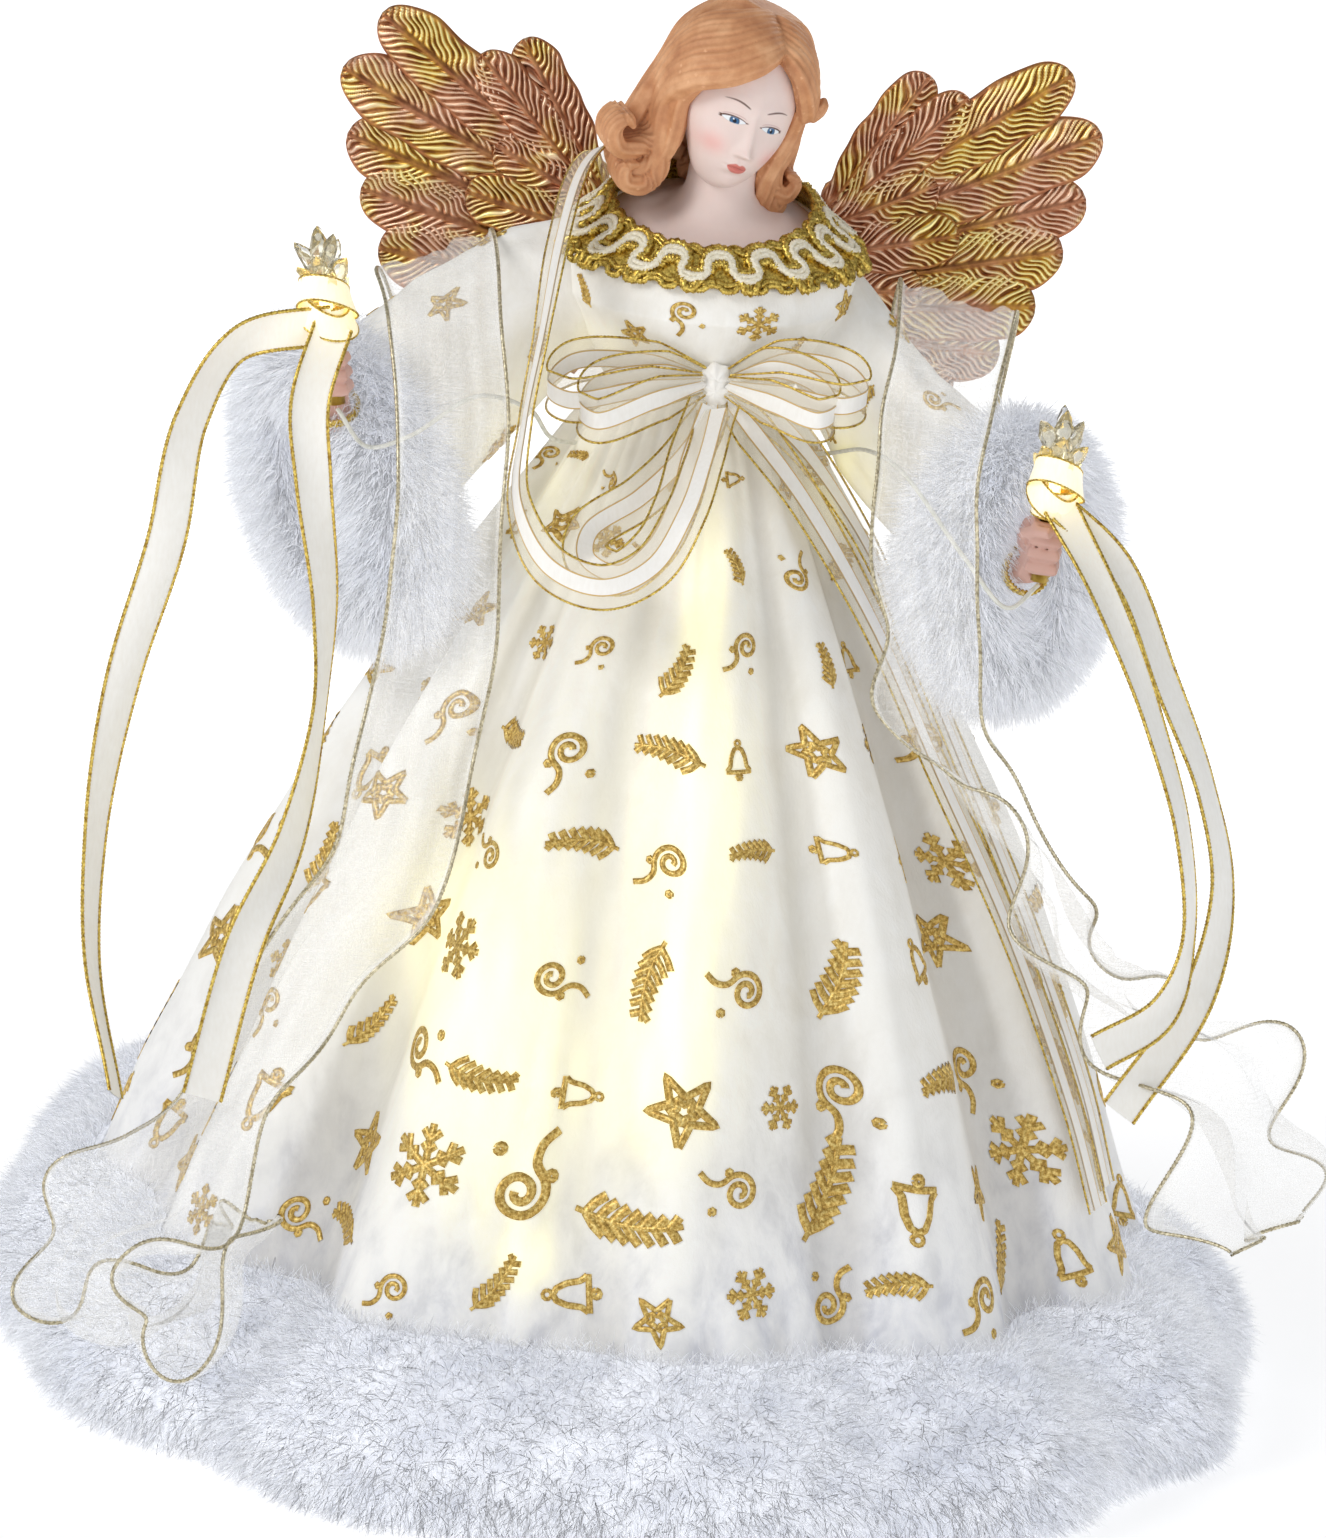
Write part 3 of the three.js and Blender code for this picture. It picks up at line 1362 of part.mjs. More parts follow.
function batteryDoor() {
  const leaf = block(
    vector(-doorHalfWidth, doorFront, boxBottom),
    vector(doorHalfWidth, doorBack, boxTop - doorBarrelRadius),
  );
  const neck = block(
    vector(-lugInner + gap, doorFront, boxTop - 2 * doorBarrelRadius),
    vector(lugInner - gap, doorBack - gap, hingeHeight),
  );
  const barrel = rod(
    vector(-lugInner + gap, hingeDepth, hingeHeight),
    vector(lugInner - gap, hingeDepth, hingeHeight),
    doorBarrelRadius - gap,
  );
  const pin = rod(
    vector(-doorHalfWidth, hingeDepth, hingeHeight),
    vector(doorHalfWidth, hingeDepth, hingeHeight),
    doorPinRadius,
    pinSides,
  );
  return join(leaf, neck, barrel, pin);
}

function switchSlider() {
  const low = boxBottom - gap;
  const centre = -sliderTravel / 2;
  const knob = block(
    vector(centre - sliderLength / 2, sliderDepth - sliderWidth / 2, low - sliderDrop),
    vector(centre + sliderLength / 2, sliderDepth + sliderWidth / 2, low),
  );
  const stem = block(
    vector(centre - sliderStem / 2, sliderDepth - sliderStem / 2, low - gap),
    vector(centre + sliderStem / 2, sliderDepth + sliderStem / 2, boxBottom + boxWall + 2 * gap),
  );
  const plateLow = boxBottom + boxWall + gap;
  const plate = block(
    vector(centre - sliderLength / 2, sliderDepth - sliderWidth / 2, plateLow),
    vector(centre + sliderLength / 2, sliderDepth + sliderWidth / 2, plateLow + sliderPlate),
  );
  return join(knob, stem, plate);
}

function cell(x) {
  const body = rod(vector(x, cellMiddle, cellLow), vector(x, cellMiddle, cellLow + cellLength), cellRadius);
  const nub = rod(
    vector(x, cellMiddle, cellLow + cellLength - gap),
    vector(x, cellMiddle, cellLow + cellLength + cellNubLength),
    cellNubRadius,
  );
  return join(body, nub);
}

function springPath(x, low) {
  const high = cellLow - gap;
  const steps = springTurns * springStepsPerTurn;
  const rise = high - low - contactThickness - 2 * springWire;
  return Array.from({ length: steps + 1 }, (unused, step) => {
    const angle = (turn * step) / springStepsPerTurn;
    return vector(
      x + springRadius * Math.cos(angle),
      cellMiddle + springRadius * Math.sin(angle),
      low + contactThickness + springSeatShare * springWire + (rise * step) / steps,
    );
  });
}

function contactSpring(x) {
  const low = boxBottom + boxWall + gap;
  const path = springPath(x, low);
  const plate = block(
    vector(x - springRadius - springWire, cellMiddle - springRadius - springWire, low),
    vector(x + springRadius + springWire, cellMiddle + springRadius + springWire, low + contactThickness),
  );
  return join(plate, tube(path, springWire, springSides, path.length - 1));
}

function contactPlate() {
  const low = cellHigh + gap;
  return block(
    vector(-cellPitch - cellRadius, cellMiddle - cellNubRadius, low),
    vector(cellPitch + cellRadius, cellMiddle + cellNubRadius, low + contactThickness),
  );
}

// Materials
const surface = (colour, roughness, metalness = 0) => () => (
  new THREE.MeshStandardMaterial({ color: colour, roughness, metalness }));
const looks = {
  card: surface(0xe9e6dd, 0.9),
  wood: surface(0xcaa877, 0.7),
  foam: surface(0xf0efea, 0.9),
  skin: surface(0xf0d8d0, 0.6),
  hair: surface(0xc98a55, 0.65),
  velvet: surface(0xf4f1e6, 0.8),
  fur: surface(0xf3f5f9, 1),
  handSkin: surface(0xd0a39c, 0.6),
  steel: surface(0xb9bcc0, 0.35, 0.9),
  wing: surface(0xb07a2c, 0.35, 0.8),
  gold: surface(0xc9a22e, 0.35, 0.8),
  cream: surface(0xf2e6bd, 0.6),
  ribbon: surface(0xefe3c8, 0.45),
  satin: surface(0xf6f5f2, 0.4),
  organza: surface(0xe9e8e6, 0.5),
  acrylic: surface(0xf7efd2, 0.08),
  warmLamp: surface(0xffe08a, 0.3),
  wire: surface(0xe8e8e2, 0.4),
  boxPlastic: surface(0xe4e3df, 0.6),
  cellLabel: surface(0x3c6c8c, 0.4, 0.3),
};

// Assembly
const figure = new THREE.Group();

function add(name, geometry, look) {
  const bare = geometry.clone();
  bare.computeVertexNormals();
  const mesh = new THREE.Mesh(bare, look());
  mesh.name = name;
  figure.add(mesh);
}

add("cone_body", coneBody(), looks.card);
add("neck_post", rod(postFrom, postTo, postRadius), looks.wood);
add("torso_core", torsoCore(), looks.foam);
add("head_bust", headBust(), looks.skin);
add("hair", hair(), looks.hair);
add("bodice", bodice(), looks.velvet);
add("skirt", skirt(), looks.velvet);
add("fur_hem", furHem(), looks.fur);
add("arm_wire", armWire(), looks.steel);
for (const [name, side] of [["right", -1], ["left", 1]]) {
  add(`${name}_sleeve`, sleeve(name), looks.velvet);
  add(`${name}_fur_cuff`, furCuff(name), looks.fur);
  add(`${name}_hand`, hand(name), looks.handSkin);
  add(`${name}_wing`, wing(side), looks.wing);
  add(`${name}_wing_screw`, wingScrew(side), looks.steel);
  add(`${name}_bow_loop`, bowLoop(name, side), looks.ribbon);
  add(`${name}_hand_ribbon`, handRibbon(name), looks.satin);
  add(`${name}_drape`, drape(name), looks.organza);
  add(`${name}_candle_socket`, candleSocket(name), looks.gold);
  add(`${name}_crystal`, crystal(name), looks.acrylic);
  add(`${name}_candle_led`, candleLed(name), looks.warmLamp);
  add(`${name}_candle_lead`, candleLead(name), looks.wire);
  add(`${name}_wrist_cord`, wristCord(name), looks.gold);
}
add("wing_plate", wingPlate(), looks.boxPlastic);
add("collar_braid", collarBraid(), looks.gold);
add("collar_cord", collarCord(), looks.cream);
add("bow_knot", bowKnot(), looks.ribbon);
add("bow_hanging_loop", hangingLoop(), looks.ribbon);
add("shoulder_ribbon", shoulderRibbon(), looks.ribbon);
bowTailShares.forEach((table, row) => {
  add(`bow_tail_${row + 1}`, bowTail(table, bowTailShares.length - row), looks.ribbon);
});
add("light_wire", lightWire(), looks.wire);
lampShares.forEach((spot, row) => add(`string_led_${row + 1}`, stringLamp(spot), looks.warmLamp));
add("battery_box", batteryBox(), looks.boxPlastic);
add("battery_door", batteryDoor(), looks.boxPlastic);
add("switch_slider", switchSlider(), looks.boxPlastic);
cellPlaces.forEach((x, row) => {
  add(`battery_${row + 1}`, cell(x), looks.cellLabel);
  add(`contact_spring_${row + 1}`, contactSpring(x), looks.steel);
});
add("contact_plate", contactPlate(), looks.steel);

// The origin is the middle of the footprint, on the table.
const bounds = new THREE.Box3().setFromObject(figure, true);
const centre = bounds.getCenter(vector(0, 0, 0));
figure.position.set(-centre.x, -centre.y, -bounds.min.z);

const springGap = leastPassGap(springPath(0, boxBottom + boxWall + gap), springWire, springStepsPerTurn);
const wireGap = leastPassGap(wireSpots, lightWireRadius, wireStepsPerTurn);
console.log(`least gap between passes, contact springs: ${springGap.toFixed(2)} mm`);
console.log(`least gap between passes, light wire: ${wireGap.toFixed(2)} mm`);

export default figure;
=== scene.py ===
import math
from functools import partial

import bpy
import numpy as np
from mathutils import Euler, Matrix, Vector


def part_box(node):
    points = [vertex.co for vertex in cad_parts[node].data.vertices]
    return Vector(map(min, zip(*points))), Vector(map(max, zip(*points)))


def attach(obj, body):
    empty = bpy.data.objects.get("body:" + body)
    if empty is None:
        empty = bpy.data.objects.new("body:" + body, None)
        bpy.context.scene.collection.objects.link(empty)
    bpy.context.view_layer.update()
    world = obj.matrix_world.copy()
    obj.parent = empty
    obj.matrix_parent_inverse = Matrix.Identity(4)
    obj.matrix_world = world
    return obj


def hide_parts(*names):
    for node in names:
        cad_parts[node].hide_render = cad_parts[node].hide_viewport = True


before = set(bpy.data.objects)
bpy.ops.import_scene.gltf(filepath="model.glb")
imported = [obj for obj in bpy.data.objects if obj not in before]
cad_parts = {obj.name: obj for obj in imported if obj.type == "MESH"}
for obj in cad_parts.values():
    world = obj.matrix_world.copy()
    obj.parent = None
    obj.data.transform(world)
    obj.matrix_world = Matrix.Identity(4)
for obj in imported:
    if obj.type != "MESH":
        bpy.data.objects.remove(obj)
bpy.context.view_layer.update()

# Axes: +Z is up, -Y is the front. The figure's own right side is at -X. Metres; the tables are in drawing units.
MM, UNIT, TURN = 0.001, 0.1, 2 * math.pi
GAP, REST, CLOTH, RIBBON_THICK, STRAND_DEPTH = 0.3 * MM, 0.6 * MM, 0.8 * MM, 0.2 * MM, 0.28
SIDES = ("right", "left")
many = 1.0
cone_low, cone_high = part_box("cone_body")
AXIS = np.array([(cone_low.x + cone_high.x) / 2, (cone_low.y + cone_high.y) / 2, 0.0])
WAIST, HEM_HEIGHT, HEM_RADIUS, FOLD, LIFT = 0.2217, 0.004, 0.128, 0.008, 0.013
BODICE_LOW, COLLAR_HEIGHT, COLLAR_TILT = 0.222, 0.2575, 0.007
FUR_HEM, FUR_CUFF, CUFF_REACH = 0.017, 0.0125, 0.012
BOW_RIBBON, HAND_RIBBON = 0.0095, 0.008

# Folds of the skirt: middle and half width in turns, depth
FOLDS = np.array([
    [-0.315, 0.028, 0.8], [-0.355, 0.022, -1.3], [-0.395, 0.025, 0.7], [-0.435, 0.022, -0.8],
    [-0.475, 0.025, 0.8], [0.485, 0.022, -0.8], [0.445, 0.025, 0.7], [0.4, 0.024, -0.9],
    [0.36, 0.025, 0.7], [0.315, 0.024, -0.8], [0.27, 0.025, 0.7], [0.23, 0.024, -0.7],
    [0.185, 0.025, 0.8], [0.14, 0.024, -0.8], [0.1, 0.025, 0.8], [0.06, 0.022, -0.8],
    [0.02, 0.025, 0.7], [-0.02, 0.022, -0.8], [-0.06, 0.025, 0.9], [-0.1, 0.022, -1.1],
    [-0.14, 0.026, 0.6], [-0.18, 0.024, -0.5], [-0.225, 0.028, 0.5], [-0.27, 0.022, -0.4],
])
# Bodice, from the waist up: share of its height, half width, half depth and how far its middle is set back
BODICE = np.array([
    [0, 0.2, 0.17, 0], [0.3, 0.27, 0.22, -0.02], [0.6, 0.325, 0.247, -0.03],
    [0.86, 0.33, 0.235, -0.025], [1, 0.25, 0.215, -0.02], [1.14, 0.205, 0.185, -0.02],
])
# Sleeves, from the shoulder to the mouth: middle, way out, lean, half height and half breadth
SLEEVES = {
    "right": [
        [[-0.22, 0.01, 2.455], [-0.85, -0.1, -0.5], -0.3, 0.14, 0.115],
        [[-0.35, -0.04, 2.39], [-0.8, -0.3, -0.52], -0.4, 0.165, 0.12],
        [[-0.52, -0.11, 2.25], [-0.72, -0.4, -0.56], -0.45, 0.2, 0.125],
        [[-0.65, -0.18, 2.1], [-0.66, -0.6, -0.42], -0.45, 0.22, 0.13],
        [[-0.75, -0.26, 1.97], [-0.6, -0.75, -0.2], -0.45, 0.255, 0.15],
    ],
    "left": [
        [[0.22, 0.01, 2.43], [0.75, -0.1, -0.65], 0.1, 0.13, 0.11],
        [[0.32, -0.03, 2.32], [0.62, -0.35, -0.7], 0.2, 0.13, 0.115],
        [[0.43, -0.09, 2.18], [0.65, -0.45, -0.6], 0.05, 0.15, 0.12],
        [[0.595, -0.18, 2.05], [0.6, -0.65, -0.4], -0.1, 0.19, 0.12],
        [[0.725, -0.27, 1.93], [0.5, -0.85, -0.15], -0.2, 0.235, 0.12],
    ],
}
ARMS = {
    "right": {
        "forearm": [[-0.67, -0.18, 2.09], [-0.735, -0.27, 2.07], [-0.76, -0.38, 2.12], [-0.775, -0.455, 2.21]],
        "fist": [-0.775, -0.48, 2.26], "top": [-0.825, -0.5, 2.54],
    },
    "left": {
        "forearm": [[0.58, -0.17, 2.04], [0.65, -0.26, 1.96], [0.72, -0.37, 1.935], [0.76, -0.455, 1.97]],
        "fist": [0.77, -0.48, 2.014], "top": [0.785, -0.52, 2.3],
    },
}
LEADS = {
    "right": [[-0.19, -0.06, 2.08], [-0.3, -0.2, 2.1], [-0.36, -0.36, 2.19], [-0.47, -0.46, 2.22],
              [-0.6, -0.5, 2.13], [-0.69, -0.5, 2.1]],
    "left": [[0.19, -0.04, 2.08], [0.3, -0.12, 2.11], [0.38, -0.28, 2.15], [0.46, -0.44, 2.13],
             [0.6, -0.54, 1.98], [0.7, -0.53, 1.88]],
}
# Feathers: root and tip by distance from the middle and height, half width and layer
FEATHERS = [
    [[0.3, 2.6], [0.78, 2.94], 0.07, 0], [[0.31, 2.55], [0.86, 2.81], 0.075, 0.35],
    [[0.31, 2.49], [0.84, 2.66], 0.075, 0.7], [[0.31, 2.43], [0.8, 2.54], 0.075, 0.35],
    [[0.3, 2.37], [0.75, 2.41], 0.075, 0], [[0.29, 2.32], [0.68, 2.29], 0.07, 0.35],
    [[0.28, 2.28], [0.58, 2.2], 0.055, 0], [[0.27, 2.25], [0.48, 2.05], 0.045, 0.35],
    [[0.26, 2.6], [0.46, 2.91], 0.055, -0.4], [[0.27, 2.58], [0.55, 2.87], 0.055, -0.7],
    [[0.24, 2.55], [0.5, 2.67], 0.06, -1], [[0.24, 2.49], [0.56, 2.56], 0.06, -1.2],
    [[0.23, 2.42], [0.49, 2.42], 0.06, -1],
]
KNOT = [0.04, -0.252, 2.26]
BOW_LOOPS = {
    "right": [[0.01, -0.275, 2.265], [-0.12, -0.35, 2.25], [-0.27, -0.39, 2.22], [-0.32, -0.35, 2.24],
              [-0.27, -0.305, 2.29], [-0.12, -0.28, 2.3], [0.01, -0.25, 2.275]],
    "left": [[0.07, -0.275, 2.265], [0.2, -0.35, 2.265], [0.32, -0.39, 2.26], [0.365, -0.35, 2.28],
             [0.32, -0.305, 2.32], [0.2, -0.28, 2.33], [0.07, -0.25, 2.275]],
}
LOOP_TURNS = [0, 0, 0.15, 0.5, 0.85, 1, 1]
HANGING_LOOP = [
    [0.03, -0.285, 2.19], [-0.02, -0.36, 2.11], [-0.1, -0.43, 2.03], [-0.2, -0.5, 1.96], [-0.2, -0.55, 1.91],
    [-0.13, -0.58, 1.89], [-0.06, -0.56, 1.95], [-0.02, -0.5, 2.04], [0, -0.42, 2.13], [0.03, -0.31, 2.22],
]
SHOULDER = [
    [-0.2, 0.22, 2.62], [-0.24, 0.1, 2.715], [-0.29, -0.08, 2.685], [-0.32, -0.28, 2.56], [-0.34, -0.42, 2.36],
    [-0.36, -0.5, 2.18], [-0.36, -0.55, 2.02], [-0.28, -0.62, 1.9], [-0.16, -0.65, 1.87], [-0.06, -0.63, 1.92],
    [0, -0.58, 2.03], [0.03, -0.48, 2.13], [0.05, -0.33, 2.22],
]
SHOULDER_TURNS = [0, 0.1, 0.35, 0.7, 1.05, 1.15, 0.9, 0.3, 0, 0, 0.1, 0.1, 0]
# Tails of the bow: turn round the gown and height
BOW_TAILS = [
    [[-0.18, 2.16], [-0.135, 2.02], [-0.097, 1.77], [-0.09, 1.48], [-0.082, 1.15], [-0.075, 0.77], [-0.073, 0.56]],
    [[-0.13, 2.17], [-0.075, 1.98], [-0.064, 1.77], [-0.064, 1.48], [-0.061, 1.15], [-0.058, 0.8], [-0.058, 0.58]],
]
HAND_TAILS = {
    "right": [
        [[-0.8, -0.55, 2.32], [-0.81, -0.6, 2.2], [-0.79, -0.61, 2.03], [-0.74, -0.62, 1.77], [-0.73, -0.66, 1.56],
         [-0.77, -0.76, 1.3], [-0.845, -0.88, 1.09], [-0.9, -1, 0.78]],
        [[-0.87, -0.5, 2.33], [-0.98, -0.54, 2.3], [-1.06, -0.57, 2.14], [-1.09, -0.6, 1.88], [-1.16, -0.6, 1.57],
         [-1.2, -0.62, 1.23], [-1.19, -0.68, 0.96], [-1.1, -0.84, 0.72]],
    ],
    "left": [
        [[0.83, -0.5, 2.09], [0.93, -0.53, 1.98], [1.05, -0.55, 1.76], [1.17, -0.56, 1.53], [1.22, -0.58, 1.33],
         [1.18, -0.66, 1.1], [1.03, -0.78, 0.86]],
        [[0.8, -0.56, 2.09], [0.9, -0.63, 1.93], [1.02, -0.64, 1.7], [1.12, -0.66, 1.46], [1.15, -0.68, 1.24],
         [1.1, -0.74, 1.08], [0.97, -0.82, 1]],
    ],
}
# How far each ribbon is turned from facing the front at each of its places, in radians
HAND_TURNS = {
    "right": [[0.2, 0.2, 0.5, 1.0, 1.35, 0.9, 0.3, 0.1], [1.2, 1.0, 0.7, 0.3, 0.6, 1.1, 1.3, 1.35]],
    "left": [[1.0, 0.9, 0.9, 1.05, 0.9, 0.45, 0.2], [0.5, 0.8, 1.05, 1.15, 1.2, 0.7, 0.35]],
}
# Drapes: places along the outer and the inner edge, from behind the arm to the lower end
DRAPES = {
    "right": [
        [[-0.66, 0.11, 2.24], [-0.46, 0.12, 2.3]], [[-0.7, 0, 2.375], [-0.48, 0.03, 2.495]],
        [[-0.71, -0.22, 2.425], [-0.46, -0.18, 2.505]], [[-0.67, -0.44, 2.37], [-0.43, -0.38, 2.38]],
        [[-0.63, -0.58, 2.16], [-0.4, -0.52, 2.12]], [[-0.61, -0.63, 1.9], [-0.38, -0.58, 1.84]],
        [[-0.62, -0.66, 1.6], [-0.37, -0.7, 1.52]], [[-0.66, -0.72, 1.34], [-0.46, -0.82, 1.22]],
        [[-0.76, -0.8, 1.1], [-0.6, -0.92, 0.98]], [[-0.9, -0.86, 0.84], [-0.7, -1.02, 0.74]],
        [[-1.06, -0.94, 0.66], [-0.8, -1.14, 0.56]], [[-1.2, -0.98, 0.54], [-0.96, -1.26, 0.46]],
        [[-1.22, -1.02, 0.38], [-0.96, -1.26, 0.36]], [[-1.12, -1.06, 0.3], [-0.86, -1.22, 0.34]],
        [[-0.98, -1.02, 0.38], [-0.78, -1.12, 0.46]], [[-0.88, -0.94, 0.5], [-0.76, -1.0, 0.56]],
    ],
    "left": [
        [[0.66, 0.08, 2.12], [0.4, 0.09, 2.22]], [[0.68, -0.04, 2.38], [0.42, -0.02, 2.48]],
        [[0.67, -0.28, 2.46], [0.42, -0.24, 2.44]], [[0.64, -0.5, 2.32], [0.41, -0.42, 2.26]],
        [[0.62, -0.6, 2.06], [0.4, -0.5, 2.02]], [[0.66, -0.62, 1.76], [0.43, -0.54, 1.78]],
        [[0.78, -0.58, 1.5], [0.54, -0.57, 1.56]], [[0.92, -0.5, 1.26], [0.68, -0.62, 1.42]],
        [[1.04, -0.44, 1.06], [0.78, -0.64, 1.22]], [[1.2, -0.4, 0.98], [0.9, -0.66, 1.02]],
        [[1.4, -0.36, 0.9], [1.06, -0.76, 0.86]], [[1.5, -0.4, 0.74], [1.18, -0.84, 0.7]],
        [[1.46, -0.56, 0.6], [1.26, -0.88, 0.58]],
    ],
}


# Helpers: numbers
def place(shares):
    return np.asarray(shares, float) * UNIT + AXIS


def unit(v):
    return v / np.maximum(np.linalg.norm(v, axis=-1, keepdims=True), 1e-12)


def near_angle(angle):
    return np.arctan2(np.sin(angle), np.cos(angle))


def smooth_step(x, low, high):
    t = np.clip((x - low) / (high - low), 0, 1)
    return t * t * (3 - 2 * t)


def bump(x, middle, width):
    return np.exp(-((x - middle) / width) ** 2)


def curve(points, count, even=True, endless=False):
    """Points along the smooth line through the given ones, by the centripetal rule."""
    p = np.asarray(points, float)
    if endless:
        p = np.vstack([p[-1:], p, p[:2]])
    else:
        p = np.vstack([2 * p[0] - p[1], p, 2 * p[-1] - p[-2]])
    spans = len(p) - 3
    fine = 40 * spans if even else count - 1
    t = np.linspace(0, spans, fine + 1)
    row = np.minimum(t.astype(int), spans - 1)
    w = (t - row)[:, None]
    a, b, c, d = p[row], p[row + 1], p[row + 2], p[row + 3]
    d0, d1, d2 = (np.maximum(np.linalg.norm(x - y, axis=1, keepdims=True), 1e-9) ** 0.5
                  for x, y in ((b, a), (c, b), (d, c)))
    m1 = ((b - a) / d0 - (c - a) / (d0 + d1) + (c - b) / d1) * d1
    m2 = ((c - b) / d1 - (d - b) / (d1 + d2) + (d - c) / d2) * d1
    line = b + m1 * w + (-3 * b + 3 * c - 2 * m1 - m2) * w**2 + (2 * b - 2 * c + m1 + m2) * w**3
    if not even:
        return line
    along = np.concatenate([[0], np.cumsum(np.linalg.norm(np.diff(line, axis=0), axis=1))])
    at = np.linspace(0, along[-1], count)
    return np.stack([np.interp(at, along, line[:, k]) for k in range(line.shape[1])], axis=1)


def length_of(path):
    return float(np.linalg.norm(np.diff(path, axis=0), axis=1).sum())


def directions(path, endless=False):
    if endless:
        return unit(np.roll(path, -1, 0) - np.roll(path, 1, 0))
    return unit(np.gradient(path, axis=0))


def carried_frames(path, start=(0.1, -1, 0.3)):
    """An across direction at each point, carried along the line without twisting."""
    along = directions(path)
    across = np.zeros_like(path)
    last = np.asarray(start, float)
    for row, way in enumerate(along):
        last = last - way * (last @ way)
        last = last / max(np.linalg.norm(last), 1e-9)
        across[row] = last
    return along, across, np.cross(along, across)


def normals_of(grid, closed=False):
    """Directions out of a grid of points, by the differences of its rows and columns."""
    down = np.gradient(grid, axis=0)
    if closed:
        across = np.roll(grid, -1, 1) - np.roll(grid, 1, 1)
    else:
        across = np.gradient(grid, axis=1)
    return unit(np.cross(across, down))


# Helpers: meshes
def link(name, data):
    made = bpy.data.objects.new(name, data)
    bpy.context.scene.collection.objects.link(made)
    return made


class Shape:
    """Gathers points and faces, with number columns kept for each point, then makes one object."""

    def __init__(self):
        self.points, self.quads, self.tris, self.values, self.total = [], [], [], {}, 0
        self.normals = None

    def note(self, count, values):
        for key in set(self.values) | set(values):
            rows = self.values.setdefault(key, [])
            have = sum(len(r) for r in rows)
            if have < self.total:
                rows.append(np.zeros(self.total - have))
            value = values.get(key, 0.0)
            rows.append(np.broadcast_to(np.asarray(value, float), (count,)).astype(float))

    def add(self, points, quads=None, tris=None, **values):
        points = np.asarray(points, float).reshape(-1, 3)
        self.note(len(points), {k: np.ravel(v) if np.ndim(v) else v for k, v in values.items()})
        self.points.append(points)
        if quads is not None:
            self.quads.append(np.asarray(quads) + self.total)
        if tris is not None:
            self.tris.append(np.asarray(tris) + self.total)
        self.total += len(points)

    def grid(self, grid, wrap_rows=False, wrap_columns=False, flip=False, **values):
        rows, columns = grid.shape[:2]
        r = np.arange(rows if wrap_rows else rows - 1)
        c = np.arange(columns if wrap_columns else columns - 1)
        r, c = np.meshgrid(r, c, indexing="ij")
        r2, c2 = (r + 1) % rows, (c + 1) % columns
        quads = np.stack([r * columns + c, r * columns + c2, r2 * columns + c2, r2 * columns + c], -1).reshape(-1, 4)
        self.add(grid, quads[:, ::-1] if flip else quads, **values)

    def cap(self, ring, middle, turned=False):
        """A fan of faces from a ring of points to one in the middle."""
        step, count = np.arange(len(ring)), len(ring)
        tris = np.stack([step, (step + 1) % count, np.full(count, count)], 1)
        self.add(np.vstack([ring, middle[None]]), tris=tris[:, ::-1] if turned else tris)

    def object(self, name, material, slot, body="figure", replaces=(), smooth=True):
        mesh = bpy.data.meshes.new(name)
        points = np.concatenate(self.points)
        quads = np.concatenate(self.quads).ravel() if self.quads else np.zeros(0, int)
        tris = np.concatenate(self.tris).ravel() if self.tris else np.zeros(0, int)
        starts = np.concatenate([np.arange(0, len(quads), 4), len(quads) + np.arange(0, len(tris), 3)])
        mesh.vertices.add(len(points))
        mesh.vertices.foreach_set("co", points.astype(np.float32).ravel())
        mesh.loops.add(len(quads) + len(tris))
        mesh.loops.foreach_set("vertex_index", np.concatenate([quads, tris]).astype(np.int32))
        mesh.polygons.add(len(starts))
        mesh.polygons.foreach_set("loop_start", starts.astype(np.int32))
        mesh.update(calc_edges=True)
        mesh.validate()
        if smooth:
            mesh.polygons.foreach_set("use_smooth", np.ones(len(mesh.polygons), bool))
        for key, rows in self.values.items():
            data = np.concatenate(rows)
            data = np.concatenate([data, np.zeros(self.total - len(data))])
            mesh.attributes.new(key, "FLOAT", "POINT").data.foreach_set("value", data.astype(np.float32))
        if self.normals is not None:
            mesh.normals_split_custom_set_from_vertices(self.normals.astype(np.float32))
        mesh.materials.append(material)
        made = link(name, mesh)
        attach(made, body)
        if replaces:
            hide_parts(*replaces)
        return made


def softened(made, voxel, factor, rounds):
    """Joins a piece's parts by a fine remesh and smooths it."""
    remesh = made.modifiers.new("joined", "REMESH")
    remesh.mode, remesh.voxel_size, remesh.use_smooth_shade = "VOXEL", voxel, True
    smooth = made.modifiers.new("soft", "SMOOTH")
    smooth.factor, smooth.iterations = factor, rounds


def paint_node(name, look):
    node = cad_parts[name]
    node.data.materials.clear()
    node.data.materials.append(look)
    return node


def add_tube(shape, path, radius, sides=8, capped=False, lobes=0, twist=0.0, start=(0.1, -1, 0.3)):
    """A round or lobed bar along a path. twist is in turns over its length."""
    _, across, over = carried_frames(path, start)
    share = np.linspace(0, 1, len(path))[:, None]
    angle = np.arange(sides)[None] * TURN / sides
    size = radius * (1 + STRAND_DEPTH * np.cos(lobes * (angle + TURN * twist * share))) if lobes else radius
    offset = across[:, None] * (size * np.cos(angle))[..., None] + over[:, None] * (size * np.sin(angle))[..., None]
    grid = path[:, None] + offset
    shape.grid(grid, wrap_columns=True, flip=True)
    if capped:
        shape.cap(grid[0], grid[0].mean(0), turned=True)
        shape.cap(grid[-1], grid[-1].mean(0))


def twisted_edge(shape, path, radius, pitch=1.6 * MM):
    """A thin two-strand twisted cord along a path."""
    long = length_of(path)
    count = max(8, int(long / (pitch / 5)))
    line = curve(path, count) if len(path) < count else path
    add_tube(shape, line, radius, sides=6, lobes=2, twist=long / pitch)


# Gown surfaces: a place by its angle and its share of the way down the skirt, up the bodice or out along the sleeve
def lift_at(angle):
    return LIFT * bump(near_angle(angle - 0.4 * TURN), 0, 0.14 * TURN)


